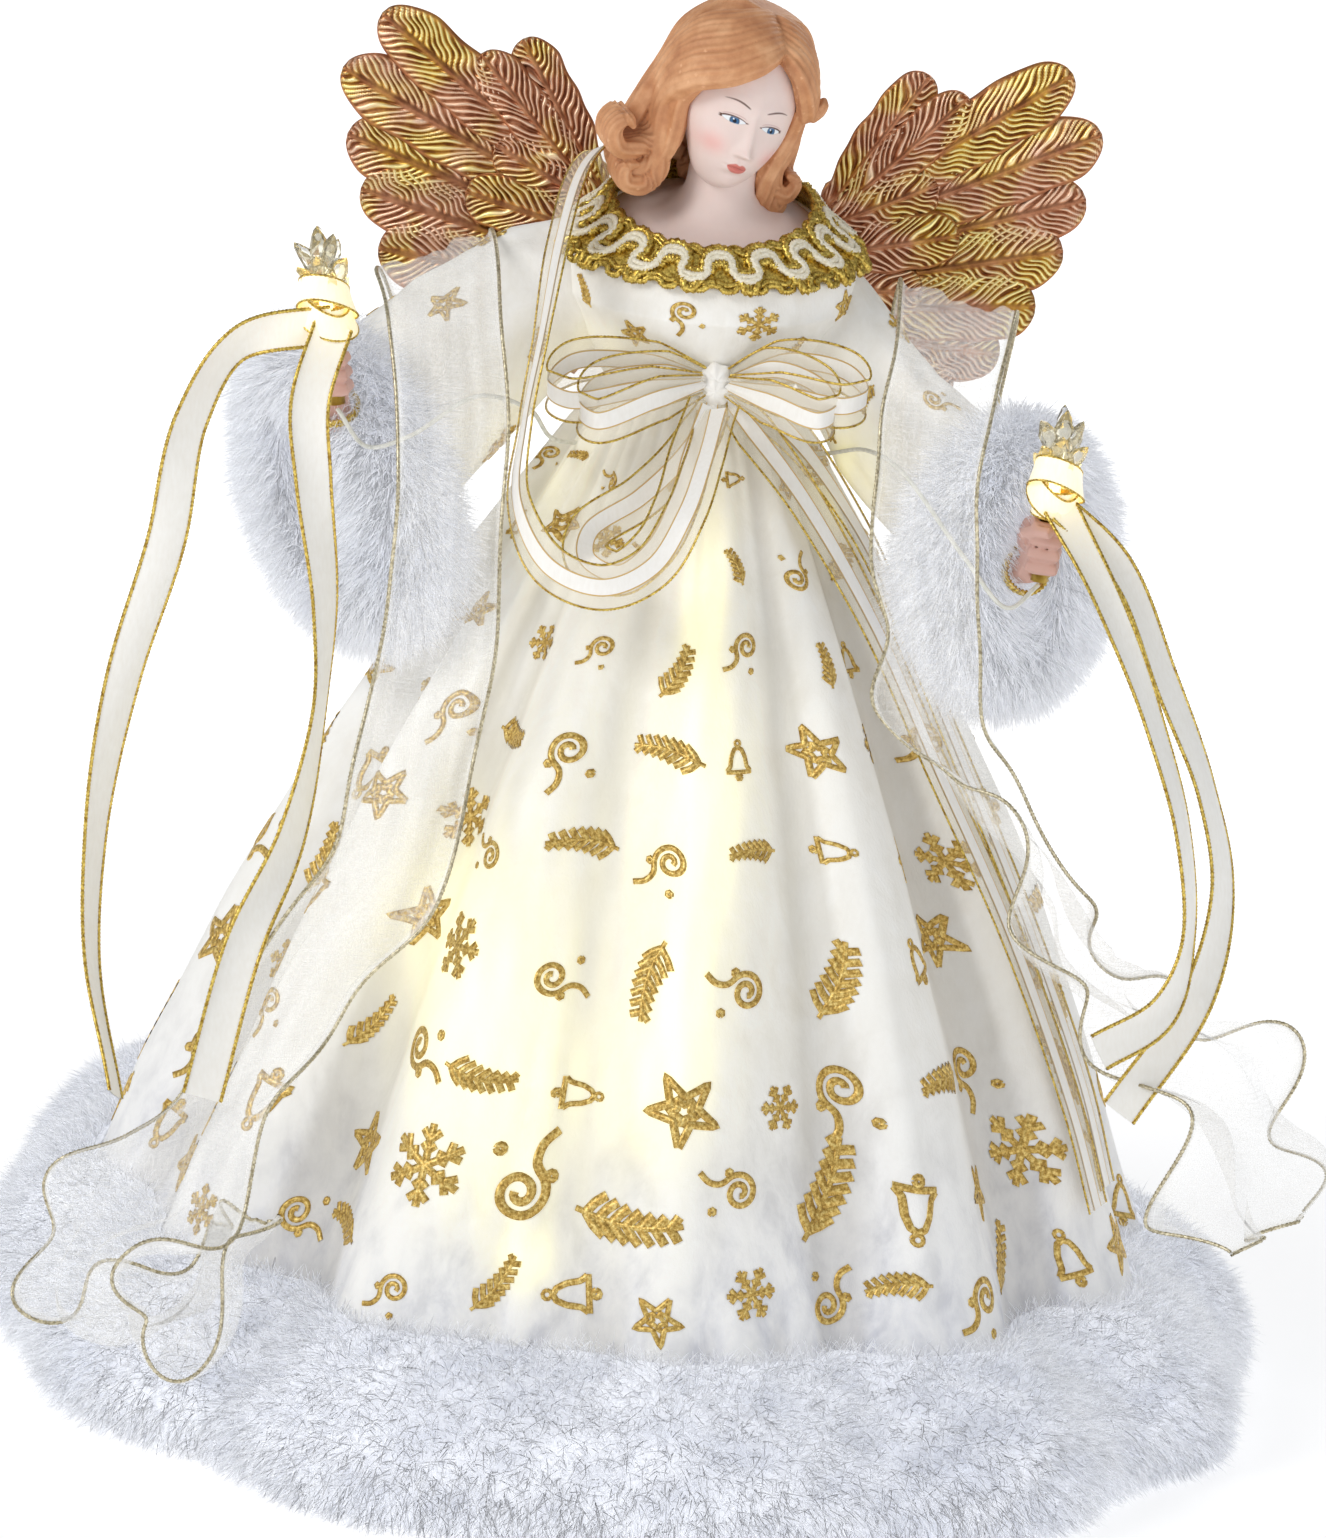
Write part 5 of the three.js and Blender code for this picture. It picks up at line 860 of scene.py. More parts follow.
def fur_piece(node, section, rows, sides, kept, hairs, long, wide, droop, curl, pull, lump, seed):
    """A soft lumpy body from the sections, with hairs over the part of its round that kept gives."""
    grid = section_grid(rows, sides, section)
    along = np.linspace(0, 1, rows)
    fade = (smooth_step(along, *kept[:2]) * (1 - smooth_step(along, *kept[2:])))[:, None]
    strand_rng = np.random.default_rng(seed)
    normal = normals_of(grid, closed=True)
    turned_by = -1 if ((grid - grid.mean(0, keepdims=True)) * normal).sum() < 0 else 1
    normal = normal * turned_by
    soft, wave = fur_lumps(grid, normal, lump * MM, 7 * MM, seed)
    soft = grid + (soft - grid) * fade[..., None]
    shape = Shape()
    # Painted shade in the hollows between tufts; the tops of the tufts are painted lighter and glow more
    shade = np.clip(-wave * 0.35 + 0.1, 0, 1) * fade
    shape.grid(soft, wrap_rows=True, wrap_columns=True, flip=True, tip=0.45 + 0.1 * wave * fade, shade=shade)
    count, wider = ((hairs, 1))
    wrapped = np.concatenate([soft, soft[:, :1]], 1)
    spots, row, column = scatter(wrapped, count, strand_rng, np.repeat(fade, sides, 1))
    ways = unit(normal[row, column] + pull)
    fur_strands(shape, spots - ways * 0.3 * MM, ways, long * MM, wide * MM * wider, droop, curl, strand_rng,
                shade[row, column])
    shape.normals = np.vstack([normals_of(soft, closed=True).reshape(-1, 3) * turned_by,
                               np.repeat(unit(normal[row, column] + [0, 0, 0.25]), 8, axis=0)])
    name = "hem_fur" if node == "fur_hem" else node.replace("fur_cuff", "cuff_fur")
    shape.object(name, fur_white, "fur", replaces=[node])


fur_piece("fur_hem", hem_section(3.2 * MM), 64, int(600 * many), (0.01, 0.08, 0.56, 0.66),
          130000, 5.6, 0.22, 0.35, 0.42, np.array([0, 0, -0.12]), 0.8, 3)


def cuff_section(name, inset):
    def section(angle):
        def at(share, along, offset):
            return sleeve(name, angle, share, offset, fine=False) + mouth_of(name) * along

        back, thick, reach, tuck = 0.82, FUR_CUFF, CUFF_REACH, 6 * MM
        return np.array([
            at(back, 0, GAP), at(back, 0, thick * 0.45 - inset * 0.5),
            at(back + 0.4 * (1 - back), 0, thick * 0.9 - inset), at(1, 0, thick - inset),
            at(1, reach * 0.55 - inset * 0.5, thick * 0.8 - inset), at(1, reach - inset, thick * 0.3 - inset * 0.5),
            at(1, reach - inset, -tuck * 0.6), at(1, reach * 0.5, -tuck), at(1, REST, -tuck * 0.8), at(1, REST, GAP),
            at(1, 0, GAP),
        ])

    return section


for side, seed in (("right", 11), ("left", 12)):
    fur_piece(f"{side}_fur_cuff", cuff_section(side, 5.5 * MM), 60, int(220 * many), (0.0, 0.08, 0.72, 0.86),
              60000, 9.5, 0.2, 0.3, 0.4, 0.45 * mouth_of(side) + np.array([0, 0, -0.15]), 0.9, seed)

# Ribbons: strips along a smooth line, faced by given directions, with thin cords along both edges
def ribbon(shape, edges, path, facings, width, count, curl=0.0, endless=False, edge_radius=0.24 * MM, glow=0.0):
    """width is a number, or gives one for a share of the length. curl cups the strip, in millimetres."""
    centre, faced = (curve(table, count, even=False, endless=endless) for table in (path, facings))
    along = directions(centre)
    across = unit(np.cross(along, faced))
    out = unit(np.cross(across, along))[:, None]
    share = np.linspace(0, 1, len(centre))
    wide = np.array([width(s) for s in share]) if callable(width) else np.full(len(centre), width)
    lanes = np.linspace(-0.5, 0.5, 15)
    pleat = np.clip(1 - wide / wide.max(), 0, 1)[:, None]
    cup = MM * (curl * 4 * lanes**2 * np.sin(share * 9)[:, None] + 0.9 * pleat * np.cos(lanes * TURN * 2.5))
    front = centre[:, None] + across[:, None] * (wide[:, None] * lanes)[..., None] + out * cup[..., None]
    grid = np.concatenate([front + out * RIBBON_THICK / 2, (front - out * RIBBON_THICK / 2)[:, ::-1]], 1)
    mark = np.concatenate([lanes + 0.5, (lanes + 0.5)[::-1]])
    lit = glow * np.exp(0 * share if endless else -share / 0.06)[:, None]
    shape.grid(grid, wrap_columns=True, across=np.broadcast_to(mark, grid.shape[:2]),
               glow=np.broadcast_to(lit, grid.shape[:2]))
    for column in (0, -1):
        twisted_edge(edges, front[:, column], edge_radius)


def held_width(away):
    return BOW_RIBBON * min(1, 0.45 + 4 * away)


def ribbon_piece(name, node, strips, material=bow_ribbon, slot="bow_ribbon"):
    """One piece of several strips, each given by the values that ribbon() takes, and its edge cords."""
    shape, edges = Shape(), Shape()
    for strip in strips:
        ribbon(shape, edges, **strip)
    shape.object(name, material, slot, replaces=[node])
    edges.object(f"{name}_edges", gold_thread, "gold_trim")


# On each side of the bow a loop, and a shorter one in front of it, a little lower
for side, sign in zip(SIDES, (-1, 1)):
    facings = [[sign * math.sin(s * math.pi), -math.cos(s * math.pi), 0] for s in LOOP_TURNS]
    strips = []
    for grow, drop, ahead in ((1.0, 0.0, 0.0), (0.8, -0.035, -0.03)):
        table = np.array(BOW_LOOPS[side])
        far = np.clip(np.abs(table[:, 0] - KNOT[0]) / 0.3, 0, 1)
        table[:, 0] = KNOT[0] + (table[:, 0] - KNOT[0]) * grow
        table[:, 1] += ahead * far
        table[:, 2] += drop * far
        strips.append(dict(path=place(table), facings=facings, width=lambda s: held_width(min(s, 1 - s)), count=160))
    ribbon_piece(f"{side}_bow_ribbon", f"{side}_bow_loop", strips)

loop_path = place([KNOT] + HANGING_LOOP)
ribbon_piece("hanging_ribbon", "bow_hanging_loop",
             [dict(path=loop_path, facings=[[0.1, -1, 0.1]] * len(loop_path), width=held_width, count=180)])
shoulder_facings = [[-0.3 - math.sin(turn), (0.2 - 1.2 * min(1, row / 3)) * math.cos(turn), 1 - 0.9 * min(1, row / 3)]
                    for row, turn in enumerate(SHOULDER_TURNS)]
ribbon_piece("shoulder_strap_ribbon", "shoulder_ribbon",
             [dict(path=place(SHOULDER), facings=shoulder_facings, width=BOW_RIBBON, count=160, curl=0.5)])

for row, table in enumerate(BOW_TAILS):
    layer = len(BOW_TAILS) - row
    clear = layer * 1.1 * MM + (layer - 1) * REST
    path = [place(KNOT)] + [on_gown(a * TURN, z * UNIT, clear + (len(table) - 1 - k) * REST, BOW_RIBBON / 2)
                            for k, (a, z) in enumerate(table)]
    facings = [[0, -1, 0]] + [[math.cos(a * TURN), math.sin(a * TURN), 0.3] for a, z in table]
    ribbon_piece(f"tail_ribbon_{row + 1}", f"bow_tail_{row + 1}",
                 [dict(path=path, facings=facings, width=held_width, count=200, curl=0.3)])


def blob(centre, sizes, rows=40, columns=60, ridge=0.0, count=9):
    """A rounded lump with folds round it."""
    v, u = np.meshgrid(np.linspace(0, math.pi, rows), np.arange(columns) * TURN / columns, indexing="ij")
    way = np.stack([np.sin(v) * np.cos(u), np.cos(v), np.sin(v) * np.sin(u)], -1)
    size = 1 + ridge * np.cos(count * u) * np.sin(v)
    return centre + way * np.asarray(sizes) * size[..., None]


knot_centre = place(KNOT)
knot_shape = Shape()
for shift, turned in ((-0.0012, 0.0), (0.0012, 0.4)):
    knot = blob(knot_centre + [0, shift * 0.4, shift], (3.6 * MM, 3.0 * MM, 3.4 * MM), ridge=0.07, count=7)
    knot_shape.grid(knot, wrap_columns=True, across=0.5)
knot_shape.object("knot_ribbon", bow_ribbon, "bow_ribbon", replaces=["bow_knot"])


def fist_frame(name):
    arm = ARMS[name]
    centre = place(arm["fist"])
    axis = unit(place(arm["top"]) - centre)
    back = place(arm["forearm"][-1]) - centre
    back = unit(back - axis * (back @ axis))
    return centre, np.cross(back, axis), back, axis


def at_fist(name, x, y, z):
    centre, across, back, axis = fist_frame(name)
    return centre + across * x + back * y + axis * z


# The candles' ribbons: two tails, a band round the crystal's foot and two small loops wrapped about it
for side in SIDES:
    start = at_fist(side, 0, -4.2 * MM, 10 * MM)
    strips = [dict(path=np.vstack([start[None], place(table)[1:]]), width=HAND_RIBBON, count=220, curl=0.9,
                   facings=[[math.sin(turn), -math.cos(turn), 0.15] for turn in turns],
                   edge_radius=0.4 * MM, glow=0.8)
              for table, turns in zip(HAND_TAILS[side], HAND_TURNS[side])]
    _, across, back, axis = fist_frame(side)
    for turned_by, height, rise, half_width, half_depth, ahead, lean, width, glow in (
        (0, 10, 0, 4.15, 4.15, 0, 0, 6, 0.7), (0.4, 12.5, 3.6, 5.4, 4.7, 0.6, 0.3, 5.2, 1.0),
        (2.4, 15.0, 3.6, 5.67, 4.7, 0.6, 0.3, 5.2, 1.0),
    ):
        angles = np.linspace(0, TURN, 13)[:-1]
        ring = [at_fist(side, half_width * MM * math.cos(a + turned_by),
                        (half_depth * math.sin(a + turned_by) - ahead) * MM, (height + rise * math.sin(a)) * MM)
                for a in angles]
        faces = [across * math.cos(a + turned_by) + back * math.sin(a + turned_by) + axis * lean for a in angles]
        strips.append(dict(path=ring, facings=faces, width=width * MM, count=120, endless=True, glow=glow))
    ribbon_piece(f"{side}_candle_ribbon", f"{side}_hand_ribbon", strips, white_satin, "satin_ribbon")


# Organza: two sheets, one hung over each arm, with wired edges
for side in SIDES:
    table = np.array(DRAPES[side])
    rows, columns = 24 * len(table), 40
    outer, inner = (curve(place(table[:, k]), rows, even=False) for k in (0, 1))
    t, c = np.meshgrid(np.linspace(0, 1, rows), np.linspace(0, 1, columns), indexing="ij")
    grid = outer[:, None] * (1 - c[..., None]) + inner[:, None] * c[..., None]
    normal = normals_of(grid)
    if normal[:, :, 1].sum() > 0:
        normal = -normal
    grow = smooth_step(t, 0.12, 0.45)
    rim = (2 * np.abs(c - 0.5)) ** 1.6
    late = smooth_step(t, 0.5, 0.8)
    wave = (1.7 * np.sin(TURN * (1.7 * c + 0.9 * t)) + 1.3 * np.sin(TURN * (3.1 * c - 1.6 * t) + 1)
            + (2.4 + 3.6 * late) * np.sin(TURN * (0.8 * c + 7.5 * t)) * grow * (0.2 + rim)
            + (1.4 + 1.6 * late) * np.sin(TURN * (1.9 * c + 3.7 * t) + 2) * grow + 0.8 * np.sin(TURN * (6 * c + 3 * t))
            + 1.0 * np.sin(TURN * (2 * c + 14 * t)) * grow * rim)
    keep = 0.35 + 0.65 * grow
    across_way = unit(grid[:, -1:] - grid[:, :1])
    swing = (2.6 * np.sin(TURN * 4.3 * t + 1) + 1.6 * np.sin(TURN * 9.1 * t)) * grow * (0.3 + 0.7 * c)
    sheet = grid + normal * ((wave * keep + 2.6 * keep) * MM)[..., None] + across_way * (swing * MM)[..., None]
    both = np.concatenate([sheet + normal * 0.08 * MM, (sheet - normal * 0.08 * MM)[:, ::-1]], 1)
    mark = 1 - smooth_step(np.minimum(np.minimum(c, 1 - c), np.minimum(t, 1 - t) * 5), 0.01, 0.05)
    shape, edges = Shape(), Shape()
    shape.grid(both, wrap_columns=True, hem=np.concatenate([mark, mark[:, ::-1]], 1))
    cloth = shape.object(f"{side}_organza", organza, "organza", replaces=[f"{side}_drape"])
    for line in (sheet[:, 0], sheet[:, -1], sheet[-1]):
        twisted_edge(edges, curve(line[::2], 3 * len(line)), 0.4 * MM, pitch=1.8 * MM)
    wire = edges.object(f"{side}_organza_edges", pale_thread, "gold_trim")
    wide, long = (float(np.linalg.norm(np.diff(sheet, axis=k), axis=-1).sum(k).mean()) for k in (1, 0))
    min(area_of(sheet), wide * long)


# Collar: gold braid band, gold cords and one cream cord in the same waves
COLLAR_WAVES = 16
collar_angles = np.linspace(0, TURN, 1200, endpoint=False)


def collar_line(shift, swing, lift, loop=0.55):
    """A cord that winds up and down round the collar, its turns rounder than a plain wave."""
    phase = COLLAR_WAVES * collar_angles
    share = 0.985 + swing * np.sin(phase) + shift * np.sin(phase + 0.2)
    angles = collar_angles - (loop * np.sin(2 * phase) + shift * 10.4 * np.cos(phase)) / COLLAR_WAVES
    spots = bodice(angles, np.clip(share, 0.842, 1.137), lift, fine=False)
    return np.vstack([spots, spots[:1]])


band = Shape()
band_shares = np.linspace(0.872, 1.105, 14)
angle_row = np.linspace(0, TURN, 800, endpoint=False)
edge_wave = 0.012 * np.sin(COLLAR_WAVES * angle_row)
outer_band, inner_band = (
    np.stack([bodice(angle_row, np.clip(s + edge_wave, 0.84, 1.139), lift * MM, fine=False) for s in band_shares])
    for lift in (1.5, 0.6))
band.grid(np.concatenate([outer_band, inner_band[::-1]]), wrap_rows=True, wrap_columns=True)
for shift in (-0.055, 0.055):
    add_tube(band, collar_line(shift, 0.08, 2.0 * MM), 0.95 * MM, 12, lobes=3, twist=300, start=(0, 0, 1))
for level in (0.862, 0.885, 1.095, 1.118):
    path = bodice(collar_angles, level + 0.012 * np.sin(2 * COLLAR_WAVES * collar_angles), 1.6 * MM, fine=False)
    add_tube(band, np.vstack([path, path[:1]]), 0.7 * MM, lobes=3, twist=260, start=(0, 0, 1))
band.object("collar_gold_braid", gold_thread, "gold_trim", replaces=["collar_braid"])
cream = Shape()
for shift in (-0.014, 0.014):
    add_tube(cream, collar_line(shift, 0.08, 2.6 * MM), 0.7 * MM, 10, lobes=3, twist=180, start=(0, 0, 1))
cream.object("collar_cream_cord", cream_cord, "cream_cord", replaces=["collar_cord"])


# Head: a dense closed surface pushed in and out by feature, with painted features as number columns
HEAD_TURN = Euler((0.25, 0.23, 0.4)).to_matrix()
HEAD_PLACE = place([0.03, -0.075, 2.862])


def from_head(points):
    """Places given in the head's own millimetres: across, depth (front is minus) and height."""
    return np.asarray(points, float) * MM @ np.array(HEAD_TURN).T + HEAD_PLACE


EYE_X, EYE_Z, EYE_HALF = 4.5, -1.2, 2.55
MOUTH_Z, BROW_Z, NOSE_Z, CHIN_Z = -11.0, 2.2, -7.3, -16.2


def face_relief(x, z):
    """How far the face stands out, in millimetres, at each place of its front view."""
    side = np.abs(x)
    down = np.clip((0.8 - z) / (0.8 - NOSE_Z), 0, 1)
    out = (0.35 + 2.5 * down**1.6) * bump(x, 0, 1.0 + 0.55 * down)
    out = out * smooth_step(z, NOSE_Z - 1.5, NOSE_Z + 0.2) * (1 - smooth_step(z, -1, 5) * 0.8)
    for height, across, middle, half_width, level, half_height in (
        (0.75, x, 0, 1.35, NOSE_Z, 1.25), (0.55, side, 1.85, 0.75, NOSE_Z - 0.4, 0.9),
        (-0.95, side, EYE_X, 3.1, EYE_Z + 0.4, 2.2), (0.75, side, EYE_X, 2.3, EYE_Z, 1.5),
        (0.45, side, EYE_X + 0.6, 4, BROW_Z + 0.4, 1.5), (0.75, side, 6.2, 3.3, -7, 3.6),
        (0.8, x, 0, 3.6, MOUTH_Z, 2.8), (0.42, x, 0, 2.0, MOUTH_Z + 0.7, 0.6),
        (0.55, x, 0, 1.7, MOUTH_Z - 0.75, 0.65), (-0.4, x, 0, 2.3, MOUTH_Z, 0.26),
        (-0.18, x, 0, 0.5, MOUTH_Z + 1.9, 0.7), (-0.5, x, 0, 2.2, MOUTH_Z - 2.1, 0.8),
        (1.0, x, 0, 2.6, CHIN_Z, 2.0),
    ):
        out = out + height * bump(across, middle, half_width) * bump(z, level, half_height)
    return out


def face_paint(x, z):
    """Painted features by the front view: soft edged masks from 0 to 1."""
    side, sign = np.abs(x), np.sign(x)
    edge = lambda inside, soft=0.09: smooth_step(inside, -soft, soft)
    dx = side - EYE_X
    arch = np.clip(1 - (dx / EYE_HALF) ** 2, 0, 1)
    upper = EYE_Z + 0.56 * arch**0.75 - 0.05 * dx
    lower = EYE_Z - 0.66 * arch**0.8 - 0.05 * dx
    within = edge(EYE_HALF - np.abs(dx)) * edge(upper - z) * edge(z - lower)
    look_x, look_z = sign * EYE_X + 0.1, EYE_Z - 0.16
    away = np.hypot(x - look_x, z - look_z)
    iris = within * edge(1.0 - away)
    dark = within * np.maximum(edge(0.42 - away), 0.7 * edge(0.1 - np.abs(away - 0.98)))
    glint = within * edge(0.17 - np.hypot(x - look_x + 0.3, z - look_z - 0.34), 0.06)
    long = edge(EYE_HALF + 0.5 - np.abs(dx), 0.3)
    lash = long * edge(0.21 + 0.04 * np.clip(dx, -2, 3) - np.abs(z - upper - 0.05), 0.08)
    lash = np.maximum(lash, 0.3 * long * edge(0.06 - np.abs(z - lower), 0.08))
    lid = 0.7 * edge(EYE_HALF - np.abs(dx), 0.4) * edge(0.09 - np.abs(z - upper - 0.6), 0.12)
    along = (side - 2.1) / 5.6
    brow_line = BROW_Z + 0.75 * np.sin(np.clip(along, 0, 1) * math.pi * 0.9) + 0.1 * np.clip(along, 0, 1)
    brow_half = 0.26 * np.sqrt(np.clip(1 - along, 0, 1) * np.clip(0.35 + 2 * along, 0, 1))
    brow = edge(along, 0.06) * edge(1 - along, 0.06) * edge(brow_half - np.abs(z - brow_line), 0.12)
    wide = np.clip(1 - (side / 2.3) ** 2, 0, 1)
    top = MOUTH_Z + 1.2 * wide**0.8 - 0.35 * np.exp(-(x / 0.55) ** 2)
    low = MOUTH_Z - 1.4 * wide**0.7
    lips = edge(2.3 - side, 0.2) * edge(top - z, 0.12) * edge(z - low, 0.14)
    parting = 0.5 * edge(2.2 - side, 0.2) * edge(0.07 - np.abs(z - MOUTH_Z - 0.1 * np.cos(2.2 * x)), 0.1)
    blush = 0.5 * np.exp(-((side - 6.8) / 2.5) ** 2 - ((z + 7.6) / 2.3) ** 2)
    return {"white": within, "iris": iris, "dark": dark, "glint": glint, "lid": lid * (1 - within),
            "line": np.maximum(np.maximum(lash, 0.9 * brow), parting), "lips": lips, "blush": blush}


def crowded(count, middle, low, high, tight=0.4):
    """Numbers from low to high that lie closer together near the middle one."""
    s = np.linspace(-1, 1, count)
    bent = tight * s + (1 - tight) * s**3
    return np.where(bent < 0, middle + bent * (middle - low), middle + bent * (high - middle))


def head_surface():
    azimuth = crowded(int(460 * many), 0, -math.pi, math.pi)[:-1]
    polar = crowded(int(300 * many), 0.56 * math.pi, 0.001, math.pi - 0.001, 0.5)
    a, p = np.meshgrid(azimuth, polar, indexing="xy")
    way = np.stack([np.sin(a) * np.sin(p), -np.cos(a) * np.sin(p), np.cos(p)], -1)

    def reach(centre, sizes):
        """Distance from the origin to an egg shape's far side along each way."""
        sizes = np.asarray(sizes, float)
        d, c = way / sizes, np.asarray(centre, float) / sizes
        dd, dc, cc = (d * d).sum(-1), (d * c).sum(-1), (c * c).sum() - 1
        return (dc + np.sqrt(np.maximum(dc * dc - dd * cc, 0))) / dd

    skull = reach((0, 1.8, 2.1), (13.1, 15.1, 15.4))
    jaw = reach((0, -4.8, -7.2), (8.6, 9.3, 11.4))
    cheeks = reach((0, -3.6, -3.2), (11.2, 10.2, 10.2))
    power = 14.0
    away = (skull**power + jaw**power + cheeks**power) ** (1 / power)
    spots = way * away[..., None]
    x, z = spots[..., 0].copy(), spots[..., 2].copy()
    fore = smooth_step(-way[..., 1], 0.05, 0.5)
    spots[..., 1] -= face_relief(x, z) * fore
    paint = {key: value * fore for key, value in face_paint(x, z).items()}
    return from_head(spots), paint


# Neck sections: middle across, depth and height, half width, half depth and the drop of the front edge
NECK = [
    [0.005, -0.02, 2.6, 0.165, 0.145, 0.05], [0.008, -0.025, 2.625, 0.105, 0.1, 0.04],
    [0.01, -0.03, 2.655, 0.08, 0.08, 0.025], [0.014, -0.035, 2.71, 0.074, 0.077, 0.01],
    [0.02, -0.04, 2.8, 0.075, 0.08, 0],
]


def neck_surface():
    angle = np.arange(160) * TURN / 160
    rows = [bodice(angle, share, lower * MM, fine=False)
            for share, lower in ((0.84, -1.1), (0.9, -1.1), (0.97, -0.9), (1.03, -0.9))]
    for x, y, z, wide, deep, tilt in NECK:
        spots = [x + wide * np.cos(angle), y + deep * np.sin(angle), z + tilt * np.sin(angle)]
        rows.append(place(np.stack(spots, -1)))
    columns = [curve([row[k] for row in rows], 60) for k in range(160)]
    return np.stack(columns, 1)


head_shape = Shape()
head_grid, paint = head_surface()
head_shape.grid(head_grid, wrap_columns=True, **paint)
head_shape.grid(neck_surface(), wrap_columns=True, flip=True)
head_shape.object("head_and_shoulders", face_skin, "porcelain", replaces=["head_bust"])


# Hair: locks swept over the skull from the parting, joined by a fine remesh
def on_skull(turn_degrees, rise_degrees, out=1.0):
    """A place over the skull: turned from the front toward +X, raised from the level of the brow."""
    a, b = math.radians(turn_degrees), math.radians(rise_degrees)
    return [14.2 * out * math.sin(a) * math.cos(b), 1.8 - 16.3 * out * math.cos(a) * math.cos(b),
            2.1 + 16.4 * out * math.sin(b)]


def lock(shape, path, radius, flat=0.95, ridges=3, depth=0.1, tip=0.25, start=0.45):
    """A grooved lock of hair along a path given in the head's millimetres."""
    line = curve(from_head(path), int(90 * many) + 30)
    share = np.linspace(0, 1, len(line))
    size = np.interp(share, [0, 0.12, 0.5, 0.85, 0.96, 1], [start, 0.85, 1, 0.9, 0.6, tip]) * radius * MM
    centre = from_head([0, 1.8, 2.1])
    along = directions(line)
    out = line - centre
    out = unit(out - along * (out * along).sum(1, keepdims=True))
    side = np.cross(along, out)
    angle = np.arange(44) * TURN / 44
    groove = 1 + depth * np.cos(ridges * 2 * angle)
    ring = (side[:, None] * (size[:, None] * (groove * np.cos(angle))[None])[..., None]
            + out[:, None] * (flat * size[:, None] * (groove * np.sin(angle))[None])[..., None])
    shape.grid(line[:, None] + ring, wrap_columns=True)
    for end, ahead in ((0, -0.5), (-1, 0.5)):
        shape.cap(line[end] + ring[end], line[end] + along[end] * size[end] * ahead, turned=end != 0)


def hair_piece():
    shape = Shape()
    v, u = np.meshgrid(np.linspace(0.02, math.pi * 0.78, 60), np.arange(120) * TURN / 120, indexing="ij")
    face = smooth_step(np.cos(u - 0.05), 0.3, 0.62) * smooth_step(v, 0.78, 1.0)
    out = 1.0 - 0.22 * face
    cap = np.stack([13.9 * out * np.sin(u) * np.sin(v), 1.8 - 15.9 * out * np.cos(u) * np.sin(v),
                    2.1 + 16.0 * out * np.cos(v)], -1)
    inner = cap * [0.8, 0.8, 0.8] + [0, 0.4, 0.5]
    shell = np.concatenate([from_head(cap), from_head(inner)[::-1]])
    shape.grid(shell, wrap_rows=True, wrap_columns=True)
    # Long sweep from the parting over the brow to the side at -X, ending in two groups of curls
    for row in range(10):
        s = row / 9
        path = [on_skull(10 + 3 * s, 50 + 37 * s, 1.03), on_skull(-10 - 20 * s, 37 + 42 * s, 1.1),
                on_skull(-34 - 26 * s, 19 + 41 * s, 1.12), on_skull(-60 - 24 * s, 3 + 34 * s, 1.19),
                on_skull(-82 - 20 * s, -20 + 20 * s, 1.14)]
        if row % 2:
            path += [[-15, -2 + 8 * s, -12], [-19, -3.5 + 8 * s, -16.5], [-23.4, -4.5 + 8 * s, -17],
                     [-25.6, -4.8 + 8 * s, -13.4], [-24, -5 + 8 * s, -10.2], [-21.4, -4.8 + 8 * s, -11.8]]
        else:
            path += [[-13.6, -2.5 + 8 * s, -14.5], [-12.4, -3.5 + 7 * s, -19.5], [-14.6, -4 + 7 * s, -23.6],
                     [-18.6, -4 + 7 * s, -24], [-19.8, -4 + 7 * s, -20.6], [-17.2, -4 + 7 * s, -19.4]]
        lock(shape, path, 2.4 if row % 2 else 2.6)
    # Shorter side at +X: two locks flick out at the temple, the others end in curls
    for row in range(7):
        s = row / 6
        path = [on_skull(12 + 3 * s, 50 + 37 * s, 1.03), on_skull(31 + 10 * s, 33 + 42 * s, 1.09),
                on_skull(52 + 18 * s, 13 + 36 * s, 1.08)]
        if row < 2:
            path += [on_skull(62, 4 + 8 * s, 1.1), [15.0, -5.2, 3.0 + 2 * s], [16.9, -5, 4.4 + 2 * s],
                     [17.4, -4.6, 6.6 + 2 * s]]
        else:
            path += [on_skull(78 + 18 * s, -14 + 22 * s, 1.06), [15.8, -2 + 8 * s, -7.5], [14.4, -4 + 9 * s, -13],
                     [16, -5 + 9 * s, -17], [19, -5 + 9 * s, -17], [20, -5 + 9 * s, -13.6], [17.6, -5 + 9 * s, -12.6]]
        lock(shape, path, 2.5)
    for side in (-1, 1):
        path = [on_skull(side * 58, 2, 1.0), on_skull(side * 70, -14, 1.03), [side * 12.4, -3.6, -9],
                [side * 12.4, -3.4, -14], [side * 14.8, -2.6, -19.2], [side * 18, -2, -20.6], [side * 19.6, -1.6, -18]]
        lock(shape, path, 2.4)
    # Back: locks fall from the crown and turn under
    for row in range(13):
        turned = 102 + 156 * row / 12
        swing = 3.5 if row % 2 else 0
        low = [[17.5 * out * math.sin(math.radians(turned)), 1.8 - 17 * out * math.cos(math.radians(turned)), z]
               for out, z in ((1.0, -7), (1.06, -13), (1.13, -17 - swing), (1.02, -20.5 - swing),
                              (0.88, -18.5 - swing))]
        lock(shape, [on_skull(10, 84, 1.03), on_skull(turned * 0.93, 58, 1.07), on_skull(turned, 26, 1.08),
                     on_skull(turned, -2, 1.07)] + low, 3.4)
    made = shape.object("hair_locks", hair_brown, "hair", replaces=["hair"])
    softened(made, (0.26) * MM, 0.5, 2)


hair_piece()


# Hands: the fists as built, with softened facets
for side in SIDES:
    softened(paint_node(f"{side}_hand", hand_skin), 0.32 * MM, 0.6, 9)


# Wings: each feather is a closed leaf with a shaft, slanting barbs and a raised rim
WING_DEPTH, FEATHER = 33 * MM, 3 * MM


